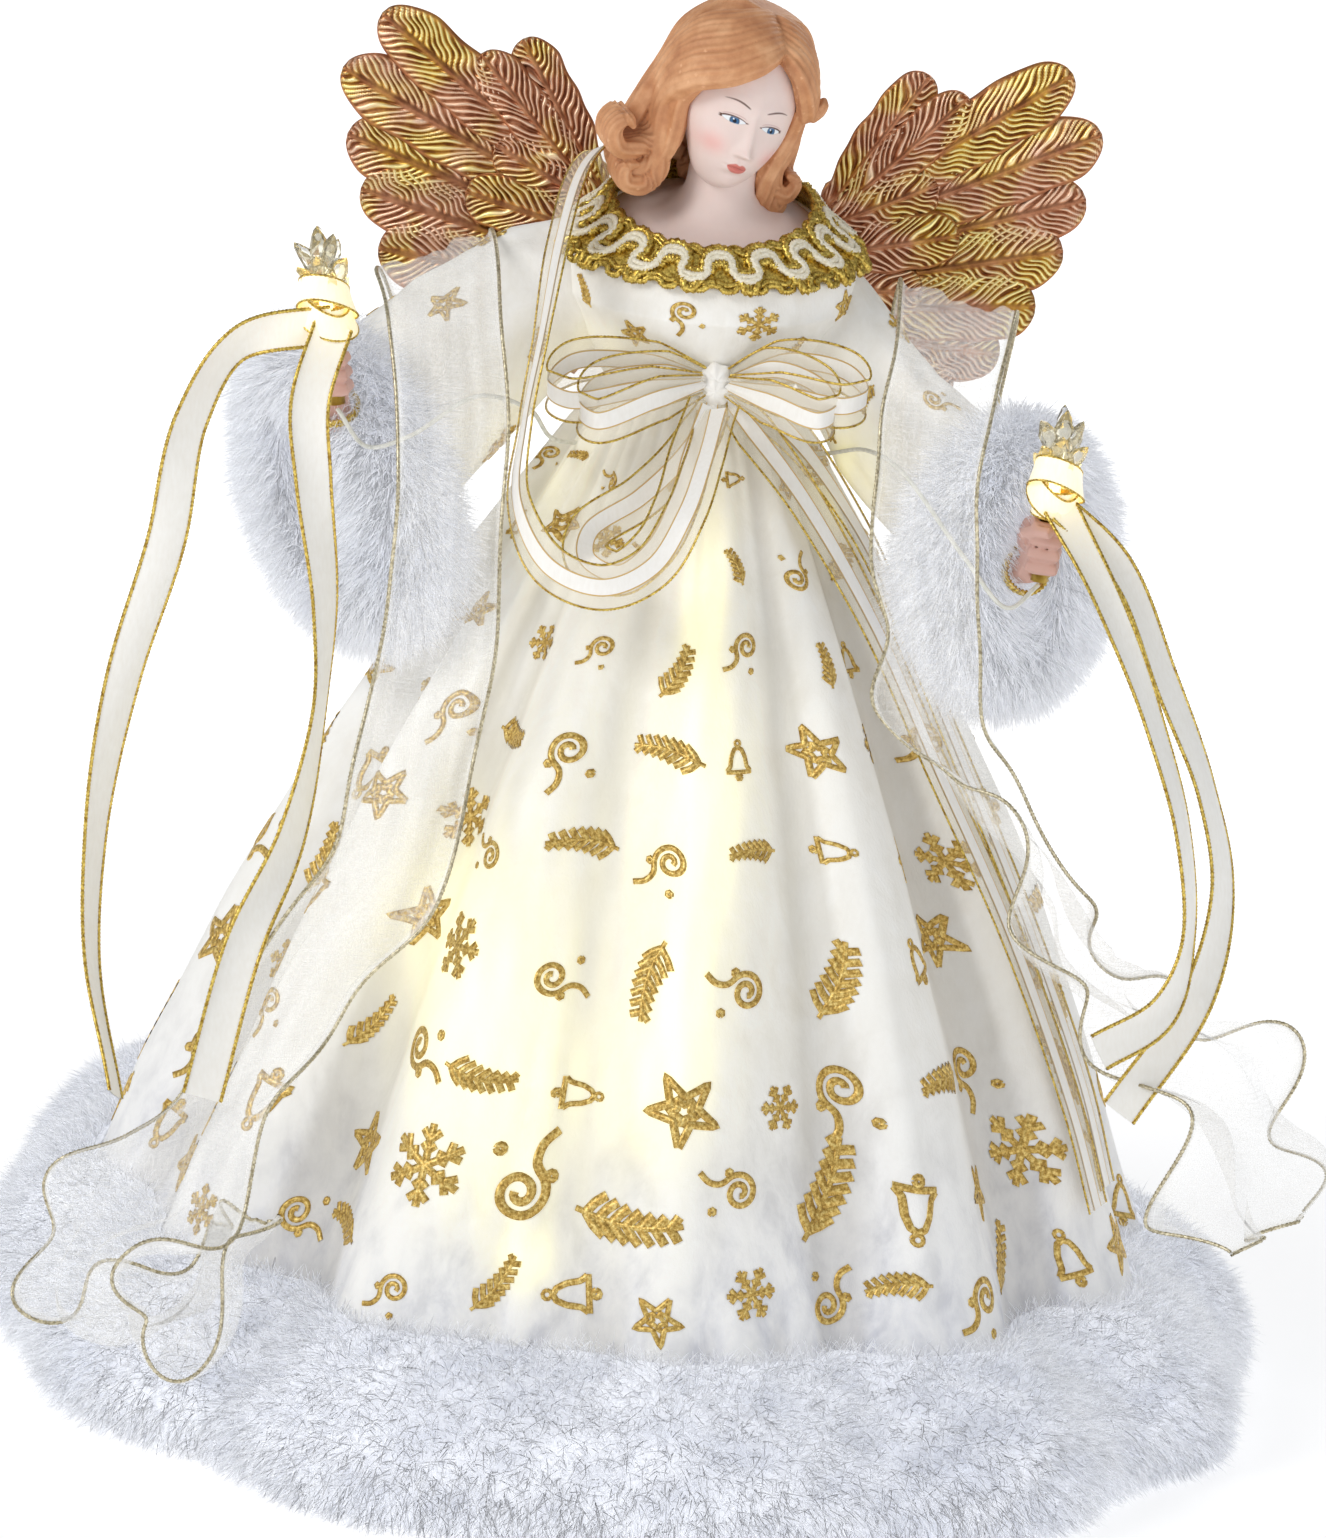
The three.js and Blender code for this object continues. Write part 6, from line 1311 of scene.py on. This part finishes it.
def feather(shape, root, tip, half_width, step, side):
    depth = WING_DEPTH + step * FEATHER
    start = np.array([side * root[0] * UNIT, depth, root[1] * UNIT]) + AXIS
    end = np.array([side * tip[0] * UNIT, depth + FEATHER, tip[1] * UNIT]) + AXIS
    along = end - start
    long = float(np.linalg.norm(along))
    across = unit(np.cross(along, [0, -1, 0]))
    rows, columns = int(150 * many), int(64 * many)
    u, v = np.meshgrid(np.linspace(0, 1, rows), np.linspace(-1, 1, columns), indexing="ij")
    blunt = 0.2
    width = np.sqrt(np.clip(1 - (np.maximum(u - 1 + blunt, 0) / blunt) ** 2, 0, 1))
    width = width * (0.5 + 0.55 * smooth_step(u, 0, 0.45))
    width = width * (1 + 0.035 * np.sin(26 * u + 2 * v + root[1] * 40) * smooth_step(np.abs(v), 0.5, 1))
    mm_along = u * long / MM
    half = half_width * UNIT / MM
    slant = mm_along * 1.0 - np.abs(v) * half * width * 1.5
    wander = 0.5 * np.sin(mm_along * 0.7 + 3 * v + root[1] * 30) + 0.35 * np.sin(mm_along * 0.31 - 5 * v)
    wander = wander + 0.7 * np.sin(mm_along * 0.47 + 7 * v + tip[0] * 90) * np.sin(mm_along * 0.23 + tip[1] * 50)
    barb = np.sin((slant + wander) * TURN / 2.3)
    barb = np.sign(barb) * np.abs(barb) ** 0.8
    between = smooth_step(np.abs(v), 0.06, 0.2) * (1 - smooth_step(np.abs(v), 0.82, 0.95)) * smooth_step(u, 0.0, 0.1)
    shaft = np.exp(-(v * half * width / 0.75) ** 2) * (1 - 0.7 * u)
    rim = smooth_step(np.abs(v), 0.8, 0.93)
    rim = np.maximum(rim, smooth_step(u, 0.955, 0.985))
    pillow = 0.9 * (1 - v**2) ** 0.7
    height = 0.45 + pillow * (1 - 0.35 * u) + 0.5 * barb * between + 0.7 * shaft + 0.38 * rim
    closing = np.sqrt(np.clip(1 - np.abs(v) ** 6, 0, 1)) * np.clip(width * 4, 0, 1)
    bend = 1.2 * MM * np.sin(u * 3)
    base = start + along * u[..., None] + across * (v * half * width * MM)[..., None]
    front = base + np.array([0, -1, 0]) * (height * closing * MM + bend)[..., None]
    back = base + np.array([0, 1, 0]) * (0.7 * closing * MM - bend)[..., None]
    # Barb height, for the painted highlight on the barbs and the painted shade between them
    raised = np.clip(0.3 + 0.5 * barb * between + 0.35 * between, 0, 1)
    edge = np.clip(rim + 0.9 * shaft, 0, 1)
    shape.grid(np.concatenate([front, back[:, ::-1]], 1), wrap_columns=True, flip=side < 0,
               raised=np.concatenate([raised, 0.45 + 0 * raised], 1), rim=np.concatenate([edge, 0.8 + 0 * edge], 1))


def box_faces(shape, low, high, **values):
    (x0, y0, z0), (x1, y1, z1) = low, high
    points = [[x, y, z] for z in (z0, z1) for x, y in ((x0, y0), (x1, y0), (x1, y1), (x0, y1))]
    quads = [[0, 3, 2, 1], [4, 5, 6, 7], [0, 1, 5, 4], [1, 2, 6, 5], [2, 3, 7, 6], [3, 0, 4, 7]]
    shape.add(points, quads=quads, **values)


PLATE_HALF, PLATE_LOW, PLATE_HIGH, PLATE_BACK, TAB = 21 * MM, 235 * MM, 251 * MM, 28 * MM, 3 * MM


def wing_piece(name, side):
    shape = Shape()
    for root, tip, half_width, step in FEATHERS:
        feather(shape, root, tip, half_width, step, side)
    outer, tab_low = PLATE_HALF + 3 * TAB, PLATE_BACK + GAP
    xs = sorted([side * GAP, side * outer])
    box_faces(shape, np.array([xs[0], tab_low, PLATE_LOW]) + AXIS, np.array([xs[1], tab_low + TAB, PLATE_HIGH]) + AXIS,
              raised=0.4, rim=0.6)
    middle = np.array([side * outer, WING_DEPTH, (PLATE_LOW + PLATE_HIGH) / 2]) + AXIS
    boss = blob(middle, (TAB * 2.9, FEATHER * 0.95, 1.65 * (PLATE_HIGH - PLATE_LOW)), ridge=0.03, count=14)
    shape.grid(boss, wrap_columns=True, raised=0.45, rim=0.5)
    shape.object(name, wing_gold, "wing_gold", replaces=[name.replace("_plumes", "")])


wing_piece("right_wing_plumes", -1)
wing_piece("left_wing_plumes", 1)


# Candles: gold stem and flared cup, cut crystals round a warm lamp, thin clear leads
STEM, STEM_BELOW, CUP, CUP_HEIGHT, CUP_LIFT, CUP_BORE, LEAD = (s * MM for s in (1.9, 8, 3.3, 5, 7.5, 1.9, 0.5))
CRYSTAL_FOOT = 12.8


def turned_at_fist(name, profile, sides=48, lobes=0, swell=0.0):
    """A turned form about the candle's axis from (radius, height) pairs."""
    angle = np.arange(sides) * TURN / sides
    rows = []
    for row, (radius, height) in enumerate(profile):
        size = radius * (1 + swell * (row > 2) * np.cos(lobes * angle))
        rows.append(np.array([at_fist(name, r * math.cos(a), r * math.sin(a), height) for a, r in zip(angle, size)]))
    return np.stack(rows)


def candle_holder(side):
    shape = Shape()
    low, top = CUP_LIFT, CUP_LIFT + CUP_HEIGHT
    profile = [(1e-5, -STEM_BELOW), (STEM, -STEM_BELOW), (STEM, low), (CUP * 0.8, low + 0.2 * MM),
               (CUP * 0.95, low + 1.2 * MM), (CUP * 0.86, low + 2.4 * MM), (CUP, top - 0.5 * MM), (CUP * 1.02, top),
               (CUP * 0.9, top), (CUP_BORE, top - 0.6 * MM), (CUP_BORE, top - 3.4 * MM), (1e-5, top - 3.5 * MM)]
    shape.grid(turned_at_fist(side, profile, 64, 8, 0.04), wrap_columns=True)
    shape.object(f"{side}_candle_cup", gold_plate, "gold_trim", replaces=[f"{side}_candle_socket"])


def shard(shape, centre, way, long, radius, sides, turned, warm):
    """A cut crystal: a bar with bevelled ends."""
    way = unit(np.asarray(way, float))
    across = unit(np.cross(way, [0.3, 0.9, 0.2]))
    over = np.cross(way, across)
    angle = np.arange(sides) * TURN / sides + turned
    profile = ((0.0, 0.18), (0.16, 1.0), (0.62, 0.82), (0.88, 0.42), (1.0, 0.05))
    rows = [centre + way * long * (s - 0.5) + (across * np.cos(angle + 0.5 * k)[:, None]
            + over * np.sin(angle + 0.5 * k)[:, None]) * radius * w for k, (s, w) in enumerate(profile)]
    grid = np.stack(rows)
    r = np.arange(len(profile) - 1)[:, None] * sides
    c = np.arange(sides)[None]
    a, b, d, e = r + c, r + (c + 1) % sides, r + sides + (c + 1) % sides, r + sides + c
    tris = np.concatenate([np.stack([a, b, d], -1).reshape(-1, 3), np.stack([a, d, e], -1).reshape(-1, 3)])
    last, ring = len(profile) * sides, np.arange(sides)
    ahead = (ring + 1) % sides
    caps = [np.stack([ahead, ring, np.full(sides, last)], 1),
            np.stack([last - sides + ring, last - sides + ahead, np.full(sides, last + 1)], 1)]
    points = np.vstack([grid.reshape(-1, 3), grid[0].mean(0)[None], grid[-1].mean(0)[None]])
    # The last value is painted lamp glow, stronger in the lower crystals
    shape.add(points, tris=np.concatenate([tris, *caps]), warm=warm)


def crystal_piece(side, seed):
    shape = Shape()
    cut_rng = np.random.default_rng(seed)
    _, across, back, axis = fist_frame(side)
    shard(shape, at_fist(side, 0, 0, (CRYSTAL_FOOT + 10.6) * MM), axis, 14 * MM, 3.2 * MM, 5, 0.2, 0.3)
    for row in range(12):
        angle = row * TURN * 0.382
        tier = row / 11
        lean = 1.0 - 0.55 * tier + cut_rng.uniform(-0.2, 0.2)
        way = axis + (across * math.cos(angle) + back * math.sin(angle)) * lean
        radius = (2.6 + 0.9 * math.sin(tier * 3)) * MM
        height = (CRYSTAL_FOOT + 3.0 + 10.5 * tier) * MM
        spot = at_fist(side, radius * math.cos(angle), radius * math.sin(angle), height)
        shard(shape, spot, way, cut_rng.uniform(6.5, 9) * MM, cut_rng.uniform(1.8, 2.6) * MM, 4 + row % 2,
              cut_rng.uniform(0, 2), 0.6 * (1 - tier))
    shape.object(f"{side}_crystal_cluster", crystal_clear, "acrylic", replaces=[f"{side}_crystal"], smooth=False)


def lead_piece(side):
    shape = Shape()
    low = at_fist(side, 0, 0, -STEM_BELOW - LEAD - REST)
    path = curve(np.vstack([place(LEADS[side]), low[None]]), 120)
    add_tube(shape, path, LEAD, sides=10, capped=True)
    lead = shape.object(f"{side}_thin_lead", clear_wire, "wire", replaces=[f"{side}_candle_lead"])
    tuple(path[0])
    length_of(path)
    [tuple(spot) for spot in path]


def wrist_piece(side):
    """A twisted gold cord twice round the wrist."""
    arm = ARMS[side]
    path = curve(place(arm["forearm"] + [arm["fist"]]), 400)
    at = int(400 * (1 - 10.9 * MM / length_of(path)))
    way = unit(path[at + 2] - path[at - 2])
    across = unit(np.cross(way, [0, 0, 1]))
    over = np.cross(way, across)
    angle = np.linspace(0, 2 * TURN, 97)
    size = 5.05 * MM
    ring = path[at] + (across * np.cos(angle)[:, None] + over * np.sin(angle)[:, None]) * size
    ring = ring + way * np.linspace(-0.65, 0.65, 97)[:, None] * MM
    shape = Shape()
    twisted_edge(shape, curve(ring, 400), 0.62 * MM, 1.9 * MM)
    shape.object(f"{side}_wrist_gold_cord", gold_thread, "gold_trim", replaces=[f"{side}_wrist_cord"])


for side, seed in (("right", 5), ("left", 6)):
    candle_holder(side)
    crystal_piece(side, seed)
    lead_piece(side)
    wrist_piece(side)


# Gold print: small motifs drawn in millimetres as strokes, laid on the cloth as thin raised strips
def ring_stroke(radius):
    angle = np.linspace(0, TURN, 28)
    return np.stack([radius * np.cos(angle), radius * np.sin(angle)], 1)


def turned(points, angle):
    c, s = math.cos(angle), math.sin(angle)
    return np.asarray(points, float) @ np.array([[c, s], [-s, c]])


def snowflake():
    strokes = []
    for k in range(6):
        arm = [[(0, 0), (0, 1)], [(-0.24, 0.84), (0, 0.62), (0.24, 0.84)], [(-0.17, 0.52), (0, 0.36), (0.17, 0.52)]]
        strokes += [(turned(line, k * TURN / 6), 0.2) for line in arm]
    return strokes


def star():
    reach = [1 if k % 2 == 0 else 0.4 for k in range(11)]
    corner = np.array([(r * math.sin(k * TURN / 10), r * math.cos(k * TURN / 10)) for k, r in enumerate(reach)])
    return [(corner, 0.22), (corner * 0.42, 0.2)]


def sprig():
    stem = np.array([(0.16 * math.sin(3.2 * t), -1 + 2 * t) for t in np.linspace(0, 1, 12)])
    strokes = [(stem, 0.11)]
    for k in range(7):
        t = 0.1 + 0.13 * k
        base = np.array([0.16 * math.sin(3.2 * t), -1 + 2 * t])
        for sign in (-1, 1):
            leaf = [(0, 0), (0.2 * sign, 0.16), (0.36 * sign, 0.38 - 0.02 * k)]
            strokes.append((base + np.array(leaf) * (1 - 0.06 * k), 0.18))
    return strokes


def scroll():
    angle = np.linspace(0, 1.6 * TURN, 34)
    spiral = np.stack([(0.12 + 0.052 * angle) * np.cos(angle), (0.12 + 0.052 * angle) * np.sin(angle)], 1)
    tail = spiral[-1] + np.array([(0, 0), (0.25, -0.35), (0.2, -0.8), (-0.1, -1.15)])
    return [(spiral, 0.22), (curve(np.hstack([tail, np.zeros((4, 1))]), 16)[:, :2], 0.22),
            (ring_stroke(0.1) + [0.68, -0.95], 0.16), (ring_stroke(0.1) + [-0.66, -0.45], 0.16)]


def bell():
    outline = [(-0.62, -0.62), (-0.44, -0.4), (-0.36, 0.1), (-0.2, 0.45), (0, 0.55), (0.2, 0.45), (0.36, 0.1),
               (0.44, -0.4), (0.62, -0.62)]
    return [(np.array(outline), 0.22), (np.array([(-0.66, -0.66), (0.66, -0.66)]), 0.22),
            (ring_stroke(0.13) + [0, -0.9], 0.2), (ring_stroke(0.15) + [0, 0.75], 0.14)]


MOTIFS = {"snowflake": snowflake(), "star": star(), "sprig": sprig(), "scroll": scroll(), "bell": bell()}


def stroke(shape, to_cloth, line, width):
    """One flat strip with turned-down edges; to_cloth gives the place of a drawing point and its lift."""
    line = np.asarray(line, float)
    steps = np.concatenate([[0], np.cumsum(np.linalg.norm(np.diff(line, axis=0), axis=1))])
    count = max(3, int(steps[-1] / 0.7) + 2)
    at = np.linspace(0, steps[-1], count)
    line = np.stack([np.interp(at, steps, line[:, k]) for k in (0, 1)], 1)
    along = np.gradient(line, axis=0)
    along = along / np.maximum(np.linalg.norm(along, axis=1, keepdims=True), 1e-9)
    side = np.stack([-along[:, 1], along[:, 0]], 1)
    half = width / 2
    lanes = [(-half, 0.02), (-half * 0.96, 0.2), (0, 0.26), (half * 0.96, 0.2), (half, 0.02)]
    columns = [to_cloth(line + side * lane, lift * MM) for lane, lift in lanes]
    shape.grid(np.stack(columns, 1), flip=True)


def cloth_lookup(grid, last_share, outward):
    """Places over a cloth's own grid, read between its points: (angle, share, lift) to a place."""
    rows, columns = grid.shape[:2]
    normal = normals_of(grid, closed=True) * outward

    def at(angle, share, lift):
        c = np.mod(angle / TURN, 1) * columns
        r = np.clip(share / last_share, 0, 1) * (rows - 1.001)
        c0, r0 = c.astype(int) % columns, r.astype(int)
        c1, r1 = (c0 + 1) % columns, r0 + 1
        v, u = (c - np.floor(c))[:, None], (r - r0)[:, None]

        def read(field):
            return ((field[r0, c0] * (1 - v) + field[r0, c1] * v) * (1 - u)
                    + (field[r1, c0] * (1 - v) + field[r1, c1] * v) * u)

        return read(grid) + read(normal) * np.asarray(lift)[:, None]

    return at


def laid_on(shape, surface, scales, angle_share, share, size, kind, turned_by):
    """Draws one motif about a place of a cloth surface. scales are its metres per radian and per share."""

    def to_cloth(points, lift):
        x, y = points[:, 0] * MM / scales[0], points[:, 1] * MM / scales[1]
        return surface(angle_share * TURN + x, share - y, np.full(len(points), lift))

    for line, thick in MOTIFS[kind]:
        stroke(shape, to_cloth, turned(line, turned_by) * size, thick * size)


def skirt_scales(angle, share):
    e = 1e-3
    steps = ((skirt(angle + e, share, fine=False), skirt(angle - e, share, fine=False)),
             (skirt(angle, share + e, fine=False), skirt(angle, share - e, fine=False)))
    return [float(np.linalg.norm(a - b)) / (2 * e) for a, b in steps]


# Motifs of the bodice and of each sleeve: turn, share, size, kind and how far it is turned
BODICE_MOTIFS = [
    (-0.27, 0.68, 4.2, "scroll", 0.2), (-0.19, 0.62, 4.6, "snowflake", 0), (-0.33, 0.45, 3.6, "star", 0.4),
    (-0.13, 0.4, 3.8, "sprig", -0.4), (-0.4, 0.66, 4, "sprig", 0.5), (-0.06, 0.66, 3.8, "star", 0.1),
    (0.05, 0.5, 4, "snowflake", 0), (0.16, 0.6, 4, "scroll", 2), (0.3, 0.35, 4, "star", 0),
    (0.4, 0.6, 4, "snowflake", 0),
]
SLEEVE_MOTIFS = [
    (0.25, 0.3, 3.8, "snowflake", 0), (0.18, 0.58, 4, "scroll", 1), (0.38, 0.5, 4, "star", 0.5),
    (0.55, 0.36, 3.8, "sprig", 1), (0.7, 0.55, 4, "snowflake", 0), (0.9, 0.4, 3.8, "bell", 0),
    (0.05, 0.45, 3.6, "sprig", 2),
]
# Rows of the skirt: share of its height, size and pitch in millimetres
SKIRT_ROWS = [
    (0.075, 3.0, 11), (0.15, 4.2, 13.5), (0.235, 4.8, 15), (0.325, 5.8, 17), (0.42, 6.2, 17.5), (0.52, 7.2, 19.5),
    (0.62, 7.0, 19), (0.72, 8.2, 21.5), (0.81, 6.4, 18),
]
SKIRT_KINDS = ["snowflake", "scroll", "star", "sprig", "bell", "scroll", "sprig"]


def print_on_skirt(shape):
    """Rows of motifs all round, larger lower down, in a loose brick layout."""
    spread = np.random.default_rng(31)
    surface = cloth_lookup(cloth_grids["skirt"], 1, -1)
    number = 0
    for row, (height, size, pitch) in enumerate(SKIRT_ROWS):
        radius = float(np.linalg.norm((skirt(-TURN / 4, height) - AXIS)[:2]))
        count = max(5, int(TURN * radius / (pitch * MM)))
        for k in range(count):
            kind = SKIRT_KINDS[(number * 5 + row * 3) % len(SKIRT_KINDS)]
            number += 1
            turn = k / count + 0.5 * (row % 2) / count + spread.uniform(-0.12, 0.12) / count
            share = height + spread.uniform(-0.015, 0.015)
            grow = spread.uniform(0.72, 1.12) * (1.35 if kind == "sprig" else 1)
            turned_by = spread.choice([-0.5, 0, 0.3, 1.57, -1.57, 3.0]) + spread.uniform(-0.15, 0.15)
            laid_on(shape, surface, skirt_scales(turn * TURN, share), turn, share, size * grow, kind, turned_by)


gold_shape = Shape()
print_on_skirt(gold_shape)
for surface, columns, rows, last, outward, scales, motifs in (
    (bodice, 420, 90, 1.02, 1, (0.029, -0.036), BODICE_MOTIFS),
    *((partial(sleeve, side), 220, 110, 1, -1, (0.018, 0.065), SLEEVE_MOTIFS) for side in SIDES),
):
    surface = cloth_lookup(surface_grid(surface, columns, np.linspace(0, last, rows)), last, outward)
    for motif in motifs:
        laid_on(gold_shape, surface, scales, *motif)
gold_shape.object("gold_motifs", gold_print, "velvet")

# CAD nodes that show as they are
for look, names in (
    (card, "cone_body"), (wood, "neck_post"), (foam, "torso_core"), (clear_wire, "light_wire"),
    (steel, "arm_wire right_wing_screw left_wing_screw contact_plate"),
    (steel, "contact_spring_1 contact_spring_2 contact_spring_3"),
    (box_white, "wing_plate battery_box battery_door switch_slider"), (cell_label, "battery_1 battery_2 battery_3"),
    (lamp_glow, "string_led_1 string_led_2 string_led_3 string_led_4 string_led_5 right_candle_led left_candle_led"),
):
    for name in names.split():
        paint_node(name, look)

# Studio: the world shows white and lights softly, three lamps, a white floor that keeps the shadow, and the camera
BACKGROUND, SKY_TINT, SKY_STRENGTH = (1, 1, 1, 1), (0.95, 0.975, 1, 1), 0.42
LAMP_AIM, FLOOR_HALF = Vector((0, 0, 0.14)), 6
SENSOR, FOCAL_PER_FRAME = 36, 5330 / 1538
CAMERA_TIP, CAMERA_ROLL, CAMERA_AWAY, CAMERA_AIM = math.radians(13), math.radians(5.1), 1.2, 0.134


def light_the_world():
    world = bpy.data.worlds.new("studio")
    bpy.context.scene.world = world
    world.use_nodes = True
    nodes, links = world.node_tree.nodes, world.node_tree.links
    nodes.clear()
    mix = nodes.new("ShaderNodeMixShader")
    links.new(nodes.new("ShaderNodeLightPath").outputs["Is Camera Ray"], mix.inputs[0])
    for slot, tint, strength in ((1, SKY_TINT, SKY_STRENGTH), (2, BACKGROUND, 1.0)):
        sky = nodes.new("ShaderNodeBackground")
        sky.inputs[0].default_value, sky.inputs[1].default_value = tint, strength
        links.new(sky.outputs[0], mix.inputs[slot])
    links.new(mix.outputs[0], nodes.new("ShaderNodeOutputWorld").inputs[0])


def lamp(name, spot, size, power, tint=(1, 1, 1)):
    data = bpy.data.lights.new(name, "AREA")
    data.shape, data.size, data.size_y = "RECTANGLE", size[0], size[1]
    data.energy, data.color = power, tint
    made = link(name, data)
    made.location = spot
    made.rotation_mode = "QUATERNION"
    made.rotation_quaternion = (LAMP_AIM - Vector(spot)).to_track_quat("-Z", "Y")


def lay_floor():
    mesh = bpy.data.meshes.new("floor")
    corners = [(x * FLOOR_HALF, y * FLOOR_HALF, 0) for x, y in ((-1, -1), (1, -1), (1, 1), (-1, 1))]
    mesh.from_pydata(corners, [], [(0, 1, 2, 3)])
    look = Look("floor_white", Roughness=0.9)
    tint = look.ramp(look.noise(3, 2), (0.3, (0.53, 0.53, 0.54)), (0.7, (0.56, 0.56, 0.565)))
    away = look.add("VectorMath", {"operation": "LENGTH"}, in0=look.where()).outputs["Value"]
    glow = look.ramp(look.math("DIVIDE", away, 2.0), (0.1, 0.62), (0.45, 1))
    mesh.materials.append(look.finish(Base_Color=tint, Emission_Color=(1, 1, 1, 1), Emission_Strength=glow,
                                      Specular_IOR_Level=0.0))
    link("floor", mesh)


def set_camera():
    camera = bpy.data.cameras.new("camera")
    camera.sensor_width, camera.lens, camera.clip_start, camera.clip_end = SENSOR, SENSOR * FOCAL_PER_FRAME, 0.01, 40
    made = link("camera", camera)
    back = Vector((0, -math.cos(CAMERA_TIP), math.sin(CAMERA_TIP)))
    made.rotation_mode = "QUATERNION"
    made.location = Vector((AXIS[0], AXIS[1], CAMERA_AIM)) + back * CAMERA_AWAY
    roll = Matrix.Rotation(CAMERA_ROLL, 4, "Z").to_quaternion()
    made.rotation_quaternion = (-back).to_track_quat("-Z", "Y") @ roll
    bpy.context.scene.camera = made
    bpy.context.scene.view_settings.view_transform = "Standard"


light_the_world()
lamp("key", (-1.0, -0.75, 1.0), (0.55, 0.55), 7.8, (1, 0.995, 0.985))
lamp("fill", (0.9, -1.1, 0.5), (0.9, 0.9), 2.4, (0.98, 0.99, 1))
lamp("back", (0.35, 1.0, 0.9), (0.8, 0.5), 3.4)
lay_floor()
set_camera()
